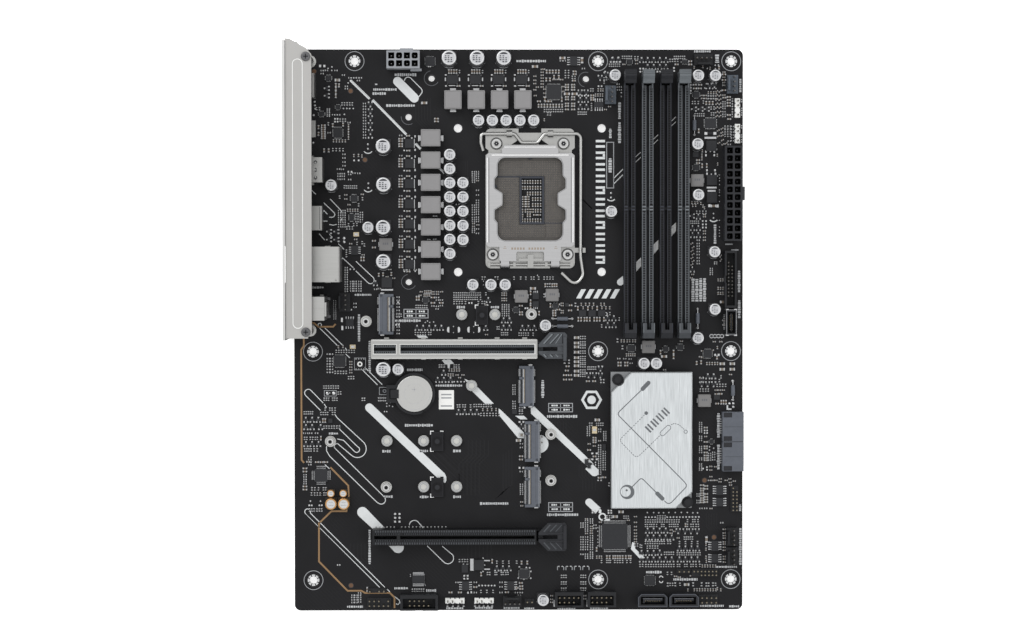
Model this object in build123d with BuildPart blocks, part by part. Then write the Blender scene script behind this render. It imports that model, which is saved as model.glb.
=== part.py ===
from build123d import *
import os

# Full-size ATX motherboard. Millimetres, +Z out of the component side.
# Origin: centre of the datum mounting hole (front-left hole) in the board's underside.
# +X runs away from the rear connectors, +Y from the edge headers to the CPU power socket.

os.makedirs("parts", exist_ok=True)

# ---------------------------------------------------------------- driving dimensions

BOARD_X = 243.84
BOARD_Y = 304.8
BOARD_T = 1.6
BOARD_CORNER = 3.2
LEFT_EDGE = -10.16
FRONT_EDGE = -16.51
REAR_EDGE = FRONT_EDGE + BOARD_Y
RIGHT_EDGE = LEFT_EDGE + BOARD_X
TOP = BOARD_T

ROW_MIDDLE = 124.46
ROW_BACK = 281.94
COLUMN_BACK_LEFT = 22.86
COLUMN_MIDDLE = 154.94
COLUMN_RIGHT = 227.33
STANDOFF_HOLE_R = 1.98

SOCKET_X = 117.9
SOCKET_Y = 206.6
COOLER_PITCH = 78.0
COOLER_HOLE_R = 2.2
SOCKET_SCREW_PLACES = [(99.7, 237.2), (136.1, 237.2), (97.7, 177.1), (138.3, 177.1)]
SOCKET_SCREW_R = 1.7
SOCKET_HOLE_R = 2.0

VRM_HOLE_R = 1.65
VRM_HOLES_BACK = [(64.6, 272.4), (148.4, 272.4)]
VRM_HOLES_LEFT = [(52.1, 251.6), (52.1, 162.0)]

FRAME_BOTTOM = 1.7
FRAME_TOP = 2.9
PLATE_BOTTOM = 5.3
PLATE_TOP = 6.5
PLATE_HINGE_Y = 171.7
PLATE_HINGE_Z = 4.2
KNUCKLE_X = (104.3, 131.5)
KNUCKLE_LENGTH = 4.6
KNUCKLE_R = 2.0
LEVER_Y = 242.5
LEVER_Z = 4.6
LEVER_R = 0.95
RUNNING_GAP = 0.1

DIMM_FIRST_X = 171.7
DIMM_PITCH = 9.74
DIMM_HALF = 3.1
DIMM_TOP = 9.4
DIMM_TOWER_TOP = 21.0
DIMM_LATCH_TOP = 22.0
DIMM_PIVOT_Y = 272.3
DIMM_PIVOT_Z = 5.0

PCIE_LEFT = 32.4
PCIE_RIGHT = 121.0
PCIE_TOP = 12.8
PCIE_1_Y = 126.1
PCIE_2_Y = 24.3
PCIE_PIVOT_X = 122.8
PCIE_PIVOT_Z = 3.7
PCIE_ROOT_LEFT = 122.2

IO_FACE = -12.4
COVER_TOP = 41.6
COVER_SHEET = 1.4
COVER_FRONT = 132.7
COVER_SCREWS = [(-1.3, 281.6), (-1.5, 136.1)]

HEATSINK_LEFT = 161.6
HEATSINK_RIGHT = 205.6
HEATSINK_FRONT = 39.4
HEATSINK_BACK = 113.4
HEATSINK_EAR_TOP = 5.6
HEATSINK_TOP = 10.4
PUSH_PIN_PLACES = [(165.4, 109.3), (203.2, 42.6)]
PUSH_PIN_HOLE_R = 1.6

BATTERY_X = 55.0
BATTERY_Y = 101.6

HEADER_PITCH = 2.54
HEADER_FLOOR = 2.6
PIN_WIDTH = 0.64
MINI_FIT_PITCH = 4.2
MINI_FIT_TOP = 14.4

STAND = (Align.CENTER, Align.CENTER, Align.MIN)


# ---------------------------------------------------------------- small helpers

def row(start, step, count):
    """Equally spaced (x, y) places along a line."""
    return [(start[0] + step[0] * i, start[1] + step[1] * i) for i in range(count)]


def boxes(places, size, z=TOP, mode=Mode.ADD):
    """Equal blocks standing at height z on each (x, y) place."""
    with Locations(*[(x, y, z) for x, y in places]):
        Box(*size, align=STAND, mode=mode)


def cylinders(places, radius, height, z=TOP, mode=Mode.ADD):
    """Equal upright cylinders standing at height z on each (x, y) place."""
    with Locations(*[(x, y, z) for x, y in places]):
        Cylinder(radius, height, align=STAND, mode=mode)


def span(x, y, z, mode=Mode.ADD):
    """One block given by its low and high limits along each axis."""
    with Locations(((x[0] + x[1]) / 2, (y[0] + y[1]) / 2, z[0])):
        Box(x[1] - x[0], y[1] - y[0], z[1] - z[0], align=STAND, mode=mode)


def rod_x(x, y, z, radius, mode=Mode.ADD):
    """A round bar along X between the two x limits."""
    with Locations(((x[0] + x[1]) / 2, y, z)):
        Cylinder(radius, x[1] - x[0], rotation=(0, 90, 0), mode=mode)


def rod_y(x, y, z, radius, mode=Mode.ADD):
    """A round bar along Y between the two y limits."""
    with Locations((x, (y[0] + y[1]) / 2, z)):
        Cylinder(radius, y[1] - y[0], rotation=(90, 0, 0), mode=mode)


def save(name, built):
    """Label a finished piece and write it as one STEP file."""
    built.part.label = name
    export_step(built.part, f"parts/{name}.step")


# ---------------------------------------------------------------- the board

STANDOFF_PLACES = [
    (COLUMN_BACK_LEFT, ROW_BACK), (COLUMN_MIDDLE, ROW_BACK), (COLUMN_RIGHT, ROW_BACK),
    (0, ROW_MIDDLE), (COLUMN_MIDDLE, ROW_MIDDLE), (COLUMN_RIGHT, ROW_MIDDLE),
    (0, 0), (COLUMN_MIDDLE, 0), (COLUMN_RIGHT, 0),
]

with BuildPart() as pcb:
    with BuildSketch():
        with Locations((LEFT_EDGE + BOARD_X / 2, FRONT_EDGE + BOARD_Y / 2)):
            RectangleRounded(BOARD_X, BOARD_Y, BOARD_CORNER)
        with Locations(*STANDOFF_PLACES):
            Circle(STANDOFF_HOLE_R, mode=Mode.SUBTRACT)
        with Locations((SOCKET_X, SOCKET_Y)):
            with GridLocations(COOLER_PITCH, COOLER_PITCH, 2, 2):
                Circle(COOLER_HOLE_R, mode=Mode.SUBTRACT)
        with Locations(*VRM_HOLES_BACK, *VRM_HOLES_LEFT):
            Circle(VRM_HOLE_R, mode=Mode.SUBTRACT)
        with Locations(*SOCKET_SCREW_PLACES):
            Circle(SOCKET_HOLE_R, mode=Mode.SUBTRACT)
        with Locations(*PUSH_PIN_PLACES):
            Circle(PUSH_PIN_HOLE_R, mode=Mode.SUBTRACT)
    extrude(amount=BOARD_T)
save("pcb", pcb)


# ---------------------------------------------------------------- CPU socket

with BuildPart() as socket_body:
    with BuildSketch(Plane.XY.offset(TOP)):
        with Locations((SOCKET_X, SOCKET_Y + 0.4)):
            RectangleRounded(40.6, 48.2, 1.5)
    extrude(amount=3.4)
    span((99.2, 136.6), (184.5, 229.5), (3.2, 5.0), Mode.SUBTRACT)
    span((112.3, 125.5), (193.6, 219.4), (TOP, 5.0), Mode.SUBTRACT)
    # finger notches in the rim and two alignment keys
    notches = [(x, y) for x in (98.3, 137.5) for y in (199.0, 215.0)]
    boxes(notches, (2.6, 6.5, 1.0), 4.0, Mode.SUBTRACT)
    boxes([(99.7, 207.2), (136.1, 207.2)], (1.4, 1.4, 1.4), 3.2)
save("socket_body", socket_body)

with BuildPart() as socket_contacts:
    # two interlocking L-shaped contact fields around the central cavity
    with BuildSketch(Plane.XY.offset(3.2)):
        with BuildLine():
            Polyline((100.6, 186.2), (125.9, 186.2), (125.9, 193.1), (111.8, 193.1),
                     (111.8, 219.2), (100.6, 219.2), close=True)
        make_face()
        with BuildLine():
            Polyline((100.6, 219.9), (126.0, 219.9), (126.0, 195.6), (135.1, 195.6),
                     (135.1, 227.9), (100.6, 227.9), close=True)
        make_face()
        with BuildLine():
            Polyline((126.6, 186.2), (135.1, 186.2), (135.1, 194.9), (126.6, 194.9), close=True)
        make_face()
    extrude(amount=0.3)
save("socket_contacts", socket_contacts)

with BuildPart() as socket_frame:
    with BuildSketch(Plane.XY.offset(FRAME_BOTTOM)):
        with Locations((118.0, 207.5)):
            RectangleRounded(48.4, 75.8, 3.0)
        with Locations((SOCKET_X, SOCKET_Y + 0.4)):
            Rectangle(41.4, 49.0, mode=Mode.SUBTRACT)
        # windows under the lever's crank, and a notch in the back edge between its bearings
        for side in (-1, 1):
            with BuildLine():
                Polyline((SOCKET_X + side * 4.6, 236.6), (SOCKET_X + side * 10.2, 236.6),
                         (SOCKET_X + side * 5.2, 240.0), close=True)
            make_face(mode=Mode.SUBTRACT)
            # the sides are nipped in beside the back screws
            with BuildLine():
                Polyline((118.0 + side * 24.4, 230.8), (118.0 + side * 24.4, 235.0),
                         (118.0 + side * 22.6, 233.6), (118.0 + side * 22.6, 232.2), close=True)
            make_face(mode=Mode.SUBTRACT)
        with Locations((SOCKET_X, 244.6)):
            Rectangle(12.4, 3.0, mode=Mode.SUBTRACT)
        with Locations(*SOCKET_SCREW_PLACES):
            Circle(SOCKET_HOLE_R, mode=Mode.SUBTRACT)
        # slots that the load plate's hinge knuckles turn in
        with Locations(*[(x, PLATE_HINGE_Y) for x in KNUCKLE_X]):
            Rectangle(KNUCKLE_LENGTH + 0.8, 4.8, mode=Mode.SUBTRACT)
    extrude(amount=FRAME_TOP - FRAME_BOTTOM)
    # hinge rod for the load plate, carried on four uprights
    rod_x((95.0, 141.0), PLATE_HINGE_Y, PLATE_HINGE_Z, 0.9)
    boxes([(95.6, PLATE_HINGE_Y), (109.4, PLATE_HINGE_Y), (126.7, PLATE_HINGE_Y), (140.4, PLATE_HINGE_Y)],
          (1.4, 2.2, 2.3), FRAME_TOP)
    # T-shaped stop in front of the load plate
    span((116.5, 119.7), (169.9, 170.8), (FRAME_TOP, 6.2))
    span((116.5, 119.7), (169.9, 177.0), (5.4, 6.2))
    span((111.6, 124.6), (173.5, 174.9), (5.4, 6.2))
    # bearings wrapped round the load lever
    rod_x((105.2, 108.2), LEVER_Y, LEVER_Z, 1.9)
    rod_x((127.5, 130.5), LEVER_Y, LEVER_Z, 1.9)
    boxes([(106.7, LEVER_Y), (129.0, LEVER_Y)], (3.0, 3.0, 1.2), FRAME_TOP)
    rod_x((105.0, 131.0), LEVER_Y, LEVER_Z, LEVER_R + RUNNING_GAP, Mode.SUBTRACT)
    # rivets at the back corners
    cylinders([(99.7, 243.6), (136.1, 243.6)], 1.1, 0.5, FRAME_TOP)
    # keeper for the lever's long leg
    span((141.6, 147.9), (178.1, 180.7), (FRAME_BOTTOM, FRAME_TOP))
    span((146.9, 147.9), (178.1, 180.7), (FRAME_TOP, 6.4))
    span((146.5, 147.9), (178.1, 180.7), (5.8, 6.4))
save("socket_frame", socket_frame)

WINDOW_CENTRE_Y = 207.1
WINDOW_HALF_X = 17.6
WINDOW_HALF_Y = 22.45
WINDOW_SIDE = [(WINDOW_HALF_X, -12.8), (19.2, -10.9), (19.2, -5.9), (14.9, -3.2),
               (14.9, 3.2), (19.2, 5.9), (19.2, 10.9), (WINDOW_HALF_X, 12.8)]

with BuildPart() as load_plate:
    with BuildSketch(Plane.XY.offset(PLATE_BOTTOM)):
        with Locations((SOCKET_X, 206.6)):
            RectangleRounded(47.8, 50.8, 2.2)
        with Locations((SOCKET_X, 231.5)):
            RectangleRounded(30.5, 9.4, 1.2)
        with Locations((SOCKET_X, 179.0)):
            RectangleRounded(33.4, 11.0, 1.2)
        with Locations((SOCKET_X, 174.8)):
            RectangleRounded(15.0, 7.6, 1.0, mode=Mode.SUBTRACT)
        with Locations(*SOCKET_SCREW_PLACES[:2]):
            Circle(4.3, mode=Mode.SUBTRACT)
    with BuildSketch(Plane((SOCKET_X, WINDOW_CENTRE_Y, PLATE_BOTTOM)), mode=Mode.PRIVATE) as window:
        with BuildLine():
            right = WINDOW_SIDE
            left = [(-x, -y) for x, y in WINDOW_SIDE]
            Polyline((WINDOW_HALF_X, -WINDOW_HALF_Y), *right, (WINDOW_HALF_X, WINDOW_HALF_Y),
                     (-WINDOW_HALF_X, WINDOW_HALF_Y), *left, (-WINDOW_HALF_X, -WINDOW_HALF_Y), close=True)
        make_face()
        waves = window.vertices().filter_by(lambda v: abs(v.Y) < WINDOW_HALF_Y - 0.1)
        fillet(waves, 1.2)
    extrude(amount=PLATE_TOP - PLATE_BOTTOM)
    extrude(to_extrude=window.sketch, amount=3.0, mode=Mode.SUBTRACT)
    # round the window's four outer corners
    rim = load_plate.edges().filter_by(Axis.Z).filter_by(
        lambda e: abs(abs(e.center().Y - WINDOW_CENTRE_Y) - WINDOW_HALF_Y) < 0.05
        and abs(abs(e.center().X - SOCKET_X) - WINDOW_HALF_X) < 0.05)
    fillet(rim, 4.4)
    # flanges bent down along both long sides
    span((94.0, 95.1), (186.0, 227.0), (3.4, PLATE_BOTTOM))
    span((140.7, 141.8), (186.0, 227.0), (3.4, PLATE_BOTTOM))
    # two knuckles round the frame's hinge rod
    for x in KNUCKLE_X:
        ends = (x - KNUCKLE_LENGTH / 2, x + KNUCKLE_LENGTH / 2)
        span(ends, (PLATE_HINGE_Y, 175.0), (5.1, 6.2))
        rod_x(ends, PLATE_HINGE_Y, PLATE_HINGE_Z, KNUCKLE_R)
    rod_x((101.0, 135.0), PLATE_HINGE_Y, PLATE_HINGE_Z, 0.9 + RUNNING_GAP, Mode.SUBTRACT)
    # finger tab at the opening end
    span((114.0, 121.8), (235.0, 236.2), (PLATE_BOTTOM - 1.0, PLATE_TOP))
save("load_plate", load_plate)

LEVER_POINTS = [(92.5, 233.2), (91.2, 237.5), (91.2, LEVER_Y), (109.6, LEVER_Y), (113.2, 237.7),
                (121.9, 237.7), (125.6, LEVER_Y), (145.4, LEVER_Y), (145.2, 176.0), (146.7, 166.0),
                (142.6, 159.8), (134.9, 167.2)]
LEVER_RADII = [4.0, 1.6, 2.0, 2.0, 2.0, 2.0, 2.6, 18.0, 4.5, 3.6]

with BuildPart() as load_lever:
    with BuildLine(Plane.XY.offset(LEVER_Z)) as lever_path:
        FilletPolyline(*LEVER_POINTS, radius=LEVER_RADII)
    with BuildSketch(Plane(lever_path.line @ 0, z_dir=lever_path.line % 0)):
        Circle(LEVER_R)
    sweep(path=lever_path.line)
save("load_lever", load_lever)

with BuildPart() as socket_screws:
    cylinders(SOCKET_SCREW_PLACES, 3.0, 1.5, FRAME_TOP)
    chamfer(socket_screws.faces().sort_by(Axis.Z)[-4:].edges(), 0.4)
    cylinders(SOCKET_SCREW_PLACES, SOCKET_SCREW_R, FRAME_TOP + 2.0, -2.0)
    # six-lobe drive recesses
    with BuildSketch(Plane.XY.offset(FRAME_TOP + 0.5)):
        with Locations(*SOCKET_SCREW_PLACES):
            RegularPolygon(1.35, 6)
    extrude(amount=2.0, mode=Mode.SUBTRACT)
save("socket_screws", socket_screws)

with BuildPart() as socket_backplate:
    with BuildSketch(Plane.XY.offset(-2.2)):
        with Locations((SOCKET_X, SOCKET_Y + 0.6)):
            RectangleRounded(54.0, 76.0, 6.0)
            RectangleRounded(30.0, 38.0, 5.0, mode=Mode.SUBTRACT)
        with Locations(*SOCKET_SCREW_PLACES):
            Circle(SOCKET_SCREW_R + RUNNING_GAP, mode=Mode.SUBTRACT)
    extrude(amount=2.1)
    # raised stiffening border
    with BuildSketch(Plane.XY.offset(-2.7)):
        with Locations((SOCKET_X, SOCKET_Y + 0.6)):
            RectangleRounded(36.0, 44.0, 6.0)
            RectangleRounded(33.0, 41.0, 5.5, mode=Mode.SUBTRACT)
    extrude(amount=0.5)
save("socket_backplate", socket_backplate)


# ---------------------------------------------------------------- memory slots

def dimm_slot(x):
    """Memory slot with one fixed tower and a forked end for the moving latch."""
    with BuildPart() as slot:
        span((x - DIMM_HALF, x + DIMM_HALF), (140.0, 268.4), (TOP, DIMM_TOP))
        span((x - DIMM_HALF - 0.3, x + DIMM_HALF + 0.3), (131.9, 140.2), (TOP, 12.0))
        span((x - DIMM_HALF, x + DIMM_HALF), (131.9, 140.2), (12.0, DIMM_TOWER_TOP))
        chamfer(slot.faces().sort_by(Axis.Z)[-1].edges().sort_by(Axis.Y)[0], 3.0)
        for side in (-1, 1):
            span((x + side * 2.65 - 0.45, x + side * 2.65 + 0.45), (267.0, 275.4), (TOP, DIMM_TOP))
        rod_x((x - 4, x + 4), DIMM_PIVOT_Y, DIMM_PIVOT_Z, 0.8 + RUNNING_GAP, Mode.SUBTRACT)
        # card groove, closed by the key
        span((x - 0.8, x + 0.8), (136.6, 268.4), (3.4, DIMM_TOWER_TOP), Mode.SUBTRACT)
        span((x - 0.8, x + 0.8), (201.2, 202.7), (3.4, 7.4))
        span((x - 1.2, x + 1.2), (136.6, 140.2), (DIMM_TOP, DIMM_TOWER_TOP), Mode.SUBTRACT)
        # contact channels either side of the groove
        for side in (-1, 1):
            boxes([(x + side * 1.75, 168.9), (x + side * 1.75, 235.4)], (0.9, 63.0, 0.7),
                  DIMM_TOP - 0.7, Mode.SUBTRACT)
        # side pockets of the tower
        for side in (-1, 1):
            boxes([(x + side * (DIMM_HALF + 0.1), 135.2)], (0.8, 2.0, 7.0), 13.0, Mode.SUBTRACT)
    return slot


def dimm_latch(x):
    """Moving latch: pivot pins, heel, tall arm with a nose and a finger rest."""
    with BuildPart() as latch:
        with BuildSketch(Plane.YZ.offset(x - 2.0)):
            with BuildLine():
                Polyline((270.2, 3.0), (274.6, 3.0), (274.9, 11.3), (269.4, 11.3), (269.4, 6.0),
                         (270.2, 5.2), close=True)
            make_face()
        extrude(amount=4.0)
        with BuildSketch(Plane.YZ.offset(x - DIMM_HALF)):
            with BuildLine():
                Polyline((269.4, 11.3), (274.9, 11.3), (276.3, 18.5), (276.3, DIMM_LATCH_TOP),
                         (272.9, DIMM_LATCH_TOP), (271.0, 20.2), (269.1, 19.0), (269.4, 17.2), close=True)
            make_face()
        extrude(amount=2 * DIMM_HALF)
        rod_x((x - 2.9, x + 2.9), DIMM_PIVOT_Y, DIMM_PIVOT_Z, 0.8)
        # groove for the card's edge
        span((x - 0.8, x + 0.8), (269.0, 270.6), (11.0, 18.2), Mode.SUBTRACT)
        # grip ribs on top
        boxes(row((x, 273.8), (0, 1.0), 3), (2 * DIMM_HALF, 0.35, 0.5), DIMM_LATCH_TOP - 0.5, Mode.SUBTRACT)
    return latch


for number in range(4):
    dimm_x = DIMM_FIRST_X + DIMM_PITCH * number
    save(f"dimm_slot_{number + 1}", dimm_slot(dimm_x))
    save(f"dimm_latch_{number + 1}", dimm_latch(dimm_x))


# ---------------------------------------------------------------- expansion slots

def pcie_slot(y, half_width):
    """Sixteen-lane slot: card groove with a key, contact pockets, cheeks for the latch."""
    with BuildPart() as slot:
        span((PCIE_LEFT, PCIE_RIGHT), (y - half_width, y + half_width), (TOP, PCIE_TOP))
        for side in (-1, 1):
            centre = y + side * 3.2
            span((PCIE_RIGHT - 1, PCIE_RIGHT + 4.2), (centre - 0.5, centre + 0.5), (TOP, 6.4))
        rod_y(PCIE_PIVOT_X, (y - 5, y + 5), PCIE_PIVOT_Z, 0.9 + RUNNING_GAP, Mode.SUBTRACT)
        span((PCIE_LEFT + 1.0, 45.6), (y - 0.9, y + 0.9), (3.6, PCIE_TOP), Mode.SUBTRACT)
        span((47.4, PCIE_RIGHT - 1.0), (y - 0.9, y + 0.9), (3.6, PCIE_TOP), Mode.SUBTRACT)
        # contact pockets at both sides of the groove
        pockets = [(PCIE_LEFT + 1.8 + i, y + side * 1.8) for i in range(86) for side in (-1, 1)
                   if not 12.4 < i < 14.9]
        with BuildSketch(Plane.XY.offset(PCIE_TOP)):
            with Locations(*pockets):
                Rectangle(0.55, 0.8)
        extrude(amount=-0.8, mode=Mode.SUBTRACT)
    return slot


def pcie_latch(y, wing):
    """Card retention latch: pivot pins, upright root and a winged top plate."""
    with BuildPart() as latch:
        rod_y(PCIE_PIVOT_X, (y - 3.6, y + 3.6), PCIE_PIVOT_Z, 0.9)
        rod_y(PCIE_PIVOT_X, (y - 2.4, y + 2.4), PCIE_PIVOT_Z, 1.5)
        span((PCIE_ROOT_LEFT, 124.8), (y - 2.4, y + 2.4), (PCIE_PIVOT_Z, 11.0))
        with BuildSketch(Plane.XY.offset(10.8)):
            with BuildLine():
                Polyline(*wing, close=True)
            make_face()
        extrude(amount=2.0)
        # card slot down the middle and the raised press pad at the far end
        span((121.5, 132.5), (y - 1.1, y + 1.1), (8.8, 12.8), Mode.SUBTRACT)
        span((135.6, 137.3), (y - 6.4, y + 6.4), (12.8, 14.0))
        for side in (-1, 1):
            span((127.0, 137.2), (y + side * 2.2 - 0.4, y + side * 2.2 + 0.4), (12.8, 13.5))
    return latch


save("pcie_slot_1", pcie_slot(PCIE_1_Y, 3.75))
save("pcie_slot_2", pcie_slot(PCIE_2_Y, 4.1))

WING_1 = [(PCIE_ROOT_LEFT, 123.9), (PCIE_ROOT_LEFT, 128.5), (128.2, 135.0), (136.4, 135.0), (137.6, 133.8),
          (137.6, 121.9), (136.4, 120.8), (126.2, 120.8)]
WING_2 = [(PCIE_ROOT_LEFT, 21.9), (PCIE_ROOT_LEFT, 26.7), (127.2, 31.9), (136.6, 31.9), (137.4, 30.6),
          (137.4, 18.0), (136.6, 16.8), (127.2, 16.8)]
save("pcie_latch_1", pcie_latch(PCIE_1_Y, WING_1))
save("pcie_latch_2", pcie_latch(PCIE_2_Y, WING_2))

with BuildPart() as pcie_shield:
    # metal shell clipped over the first slot
    with BuildSketch(Plane.XY.offset(TOP)):
        with Locations(((PCIE_LEFT + PCIE_RIGHT) / 2, PCIE_1_Y)):
            RectangleRounded(PCIE_RIGHT - PCIE_LEFT + 1.2, 10.5, 0.6)
            Rectangle(PCIE_RIGHT - PCIE_LEFT + 0.04, 7.54, mode=Mode.SUBTRACT)
    extrude(amount=PCIE_TOP + 0.5 - TOP)
    with BuildSketch(Plane.XY.offset(PCIE_TOP + 0.05)):
        with Locations(((PCIE_LEFT + PCIE_RIGHT) / 2, PCIE_1_Y)):
            Rectangle(PCIE_RIGHT - PCIE_LEFT + 1.0, 10.2)
            Rectangle(PCIE_RIGHT - PCIE_LEFT - 2.0, 5.0, mode=Mode.SUBTRACT)
        with Locations((46.5, PCIE_1_Y)):
            Rectangle(1.6, 5.2)
    extrude(amount=0.45)
    # the shell is open where the latch cheeks leave it
    span((PCIE_RIGHT - 0.1, PCIE_RIGHT + 2), (PCIE_1_Y - 3.9, PCIE_1_Y + 3.9), (TOP, 12.6), Mode.SUBTRACT)
    rod_y(PCIE_PIVOT_X, (PCIE_1_Y - 4, PCIE_1_Y + 4), PCIE_PIVOT_Z, 1.6, Mode.SUBTRACT)
    # solder feet along both sides
    feet = [(x, PCIE_1_Y + side * 5.5) for x in (40.0, 60.0, 80.0, 100.0, 115.0) for side in (-1, 1)]
    boxes(feet, (2.6, 1.0, 0.4))
save("pcie_shield", pcie_shield)


# ---------------------------------------------------------------- M.2 sockets and hardware

M2_LENGTH = 21.9
M2_TOP = 5.8


def m2_socket(x, y, mouth):
    """Card-edge socket; mouth is +1 when it opens towards +X and -1 towards -X."""
    with BuildPart() as socket:
        span((x - 4.0, x + 4.0), (y - M2_LENGTH / 2, y + M2_LENGTH / 2), (TOP, M2_TOP))
        front = x + mouth * 4.0
        inner = x - mouth * 1.0
        low, high = sorted((front + mouth, inner))
        span((low, high), (y - 10.1, y + 10.1), (3.3, 4.6), Mode.SUBTRACT)
        # upper lip is cut back from the lower one, with an open window over the contacts
        low, high = sorted((front + mouth, front - mouth * 1.4))
        span((low, high), (y - 9.6, y + 9.6), (4.6, M2_TOP), Mode.SUBTRACT)
        with Locations((x + mouth * 1.2, y, M2_TOP - 0.7)):
            Box(1.6, 18.8, 1.4, align=STAND, mode=Mode.SUBTRACT)
        boxes([(x - mouth * 2.6, y - 9.9), (x - mouth * 2.6, y + 9.9)], (1.4, 1.2, 0.8), M2_TOP - 0.8,
              Mode.SUBTRACT)
        # end tabs soldered to the board
        boxes([(x - mouth * 2.2, y - M2_LENGTH / 2 - 0.4), (x - mouth * 2.2, y + M2_LENGTH / 2 + 0.4)],
              (2.0, 0.8, 1.2))
    return socket


save("m2_socket_1", m2_socket(39.8, 144.8, 1))
save("m2_socket_2", m2_socket(119.0, 75.6, -1))
save("m2_socket_3", m2_socket(119.0, 50.8, -1))
save("m2_socket_wireless", m2_socket(115.9, 105.7, -1))

M2_STANDOFF_PLACES = [(28.9, 140.9), (118.6, 144.7), (9.4, 75.7), (39.7, 50.8), (129.2, 79.4), (129.2, 54.2)]
M2_STOP_PLACES = [(80.8, 144.5), (98.8, 144.5), (40.1, 75.9), (60.0, 75.9), (77.9, 75.9),
                  (60.0, 50.9), (77.9, 50.9), (86.1, 105.9)]
M2_PAD_PLACES = [(91.8, 144.2), (67.4, 75.6), (67.4, 50.6)]

with BuildPart() as m2_standoffs:
    cylinders(M2_STANDOFF_PLACES, 3.0, 0.8)
    cylinders(M2_STANDOFF_PLACES, 2.5, 5.4)
    cylinders(M2_STANDOFF_PLACES, 0.85, 5.4, TOP + 0.6, Mode.SUBTRACT)
save("m2_standoffs", m2_standoffs)

with BuildPart() as m2_stops:
    cylinders(M2_STOP_PLACES, 3.0, 0.5)
    cylinders(M2_STOP_PLACES, 2.1, 2.0)
    cylinders(M2_STOP_PLACES, 2.9, 0.7, TOP + 2.0)
save("m2_stops", m2_stops)

with BuildPart() as m2_pads:
    boxes(M2_PAD_PLACES, (6.7, 10.4, 1.6))
    cylinders(M2_PAD_PLACES, 2.4, 0.4, TOP + 1.6)
save("m2_pads", m2_pads)


# ---------------------------------------------------------------- battery

with BuildPart() as battery_holder:
    cylinders([(BATTERY_X, BATTERY_Y)], 11.3, 4.2)
    boxes([(BATTERY_X - 12.4, BATTERY_Y)], (5.4, 9.6, 4.2))
    cylinders([(BATTERY_X, BATTERY_Y)], 10.15, 4.0, TOP + 0.8, Mode.SUBTRACT)
    # openings in the rim for a fingertip and for the spring clip
    boxes([(BATTERY_X + 9.0, BATTERY_Y - 8.0)], (9.0, 7.0, 4.0), TOP + 0.8, Mode.SUBTRACT)
    boxes([(BATTERY_X - 11.2, BATTERY_Y)], (4.4, 5.4, 4.0), TOP + 0.8, Mode.SUBTRACT)
save("battery_holder", battery_holder)

with BuildPart() as battery:
    cylinders([(BATTERY_X, BATTERY_Y)], 8.9, 0.5, TOP + 0.9)
    cylinders([(BATTERY_X, BATTERY_Y)], 10.0, 2.7, TOP + 1.4)
    fillet(battery.edges().filter_by(GeomType.CIRCLE).sort_by(Axis.Z)[-1], 0.5)
save("battery", battery)

with BuildPart() as battery_clip:
    span((BATTERY_X - 12.9, BATTERY_X - 12.1), (BATTERY_Y - 2.4, BATTERY_Y + 2.4), (TOP + 0.8, 6.9))
    span((BATTERY_X - 12.9, BATTERY_X - 8.4), (BATTERY_Y - 2.4, BATTERY_Y + 2.4), (6.1, 6.9))
    span((BATTERY_X - 12.9, BATTERY_X - 11.0), (BATTERY_Y - 2.4, BATTERY_Y + 2.4), (TOP + 0.8, TOP + 1.2))
save("battery_clip", battery_clip)


# ---------------------------------------------------------------- chipset and its heatsink

CHIPSET_X = 183.6
CHIPSET_Y = 76.4

with BuildPart() as chipset:
    boxes([(CHIPSET_X, CHIPSET_Y)], (25.0, 24.0, 1.1))
    boxes([(CHIPSET_X, CHIPSET_Y)], (11.0, 10.0, 0.8), TOP + 1.1)
save("chipset", chipset)

HEATSINK_CUT_BACK = 11.0
HEATSINK_CUT_FRONT = 9.0

with BuildPart() as chipset_heatsink:
    span((HEATSINK_LEFT, HEATSINK_RIGHT), (HEATSINK_FRONT, HEATSINK_BACK), (3.8, HEATSINK_EAR_TOP))
    span((CHIPSET_X - 9, CHIPSET_X + 9), (CHIPSET_Y - 9, CHIPSET_Y + 9), (TOP + 1.95, 3.8))
    with BuildSketch(Plane.XY.offset(HEATSINK_EAR_TOP)):
        with BuildLine():
            Polyline((HEATSINK_LEFT, HEATSINK_FRONT), (HEATSINK_RIGHT - HEATSINK_CUT_FRONT, HEATSINK_FRONT),
                     (HEATSINK_RIGHT, HEATSINK_FRONT + HEATSINK_CUT_FRONT), (HEATSINK_RIGHT, HEATSINK_BACK),
                     (HEATSINK_LEFT + HEATSINK_CUT_BACK, HEATSINK_BACK),
                     (HEATSINK_LEFT, HEATSINK_BACK - HEATSINK_CUT_BACK), close=True)
        make_face()
    extrude(amount=HEATSINK_TOP - HEATSINK_EAR_TOP)
    chamfer(chipset_heatsink.faces().sort_by(Axis.Z)[-1].edges(), 0.5)
    cylinders(PUSH_PIN_PLACES, 1.8, 4.0, 3.0, Mode.SUBTRACT)
    cylinders(PUSH_PIN_PLACES, 3.5, 6.0, HEATSINK_EAR_TOP, Mode.SUBTRACT)
save("chipset_heatsink", chipset_heatsink)

with BuildPart() as heatsink_pins:
    cylinders(PUSH_PIN_PLACES, 3.1, 1.2, HEATSINK_EAR_TOP)
    cylinders(PUSH_PIN_PLACES, 1.9, 1.6, HEATSINK_EAR_TOP + 1.2)
    cylinders(PUSH_PIN_PLACES, 1.5, HEATSINK_EAR_TOP + 1.6, -1.6)
    with Locations(*[(x, y, -1.7) for x, y in PUSH_PIN_PLACES]):
        Cone(1.4, 1.9, 1.5, align=STAND)
    boxes(PUSH_PIN_PLACES, (0.5, 5.0, 3.4), -1.8, Mode.SUBTRACT)
save("heatsink_pins", heatsink_pins)


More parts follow.
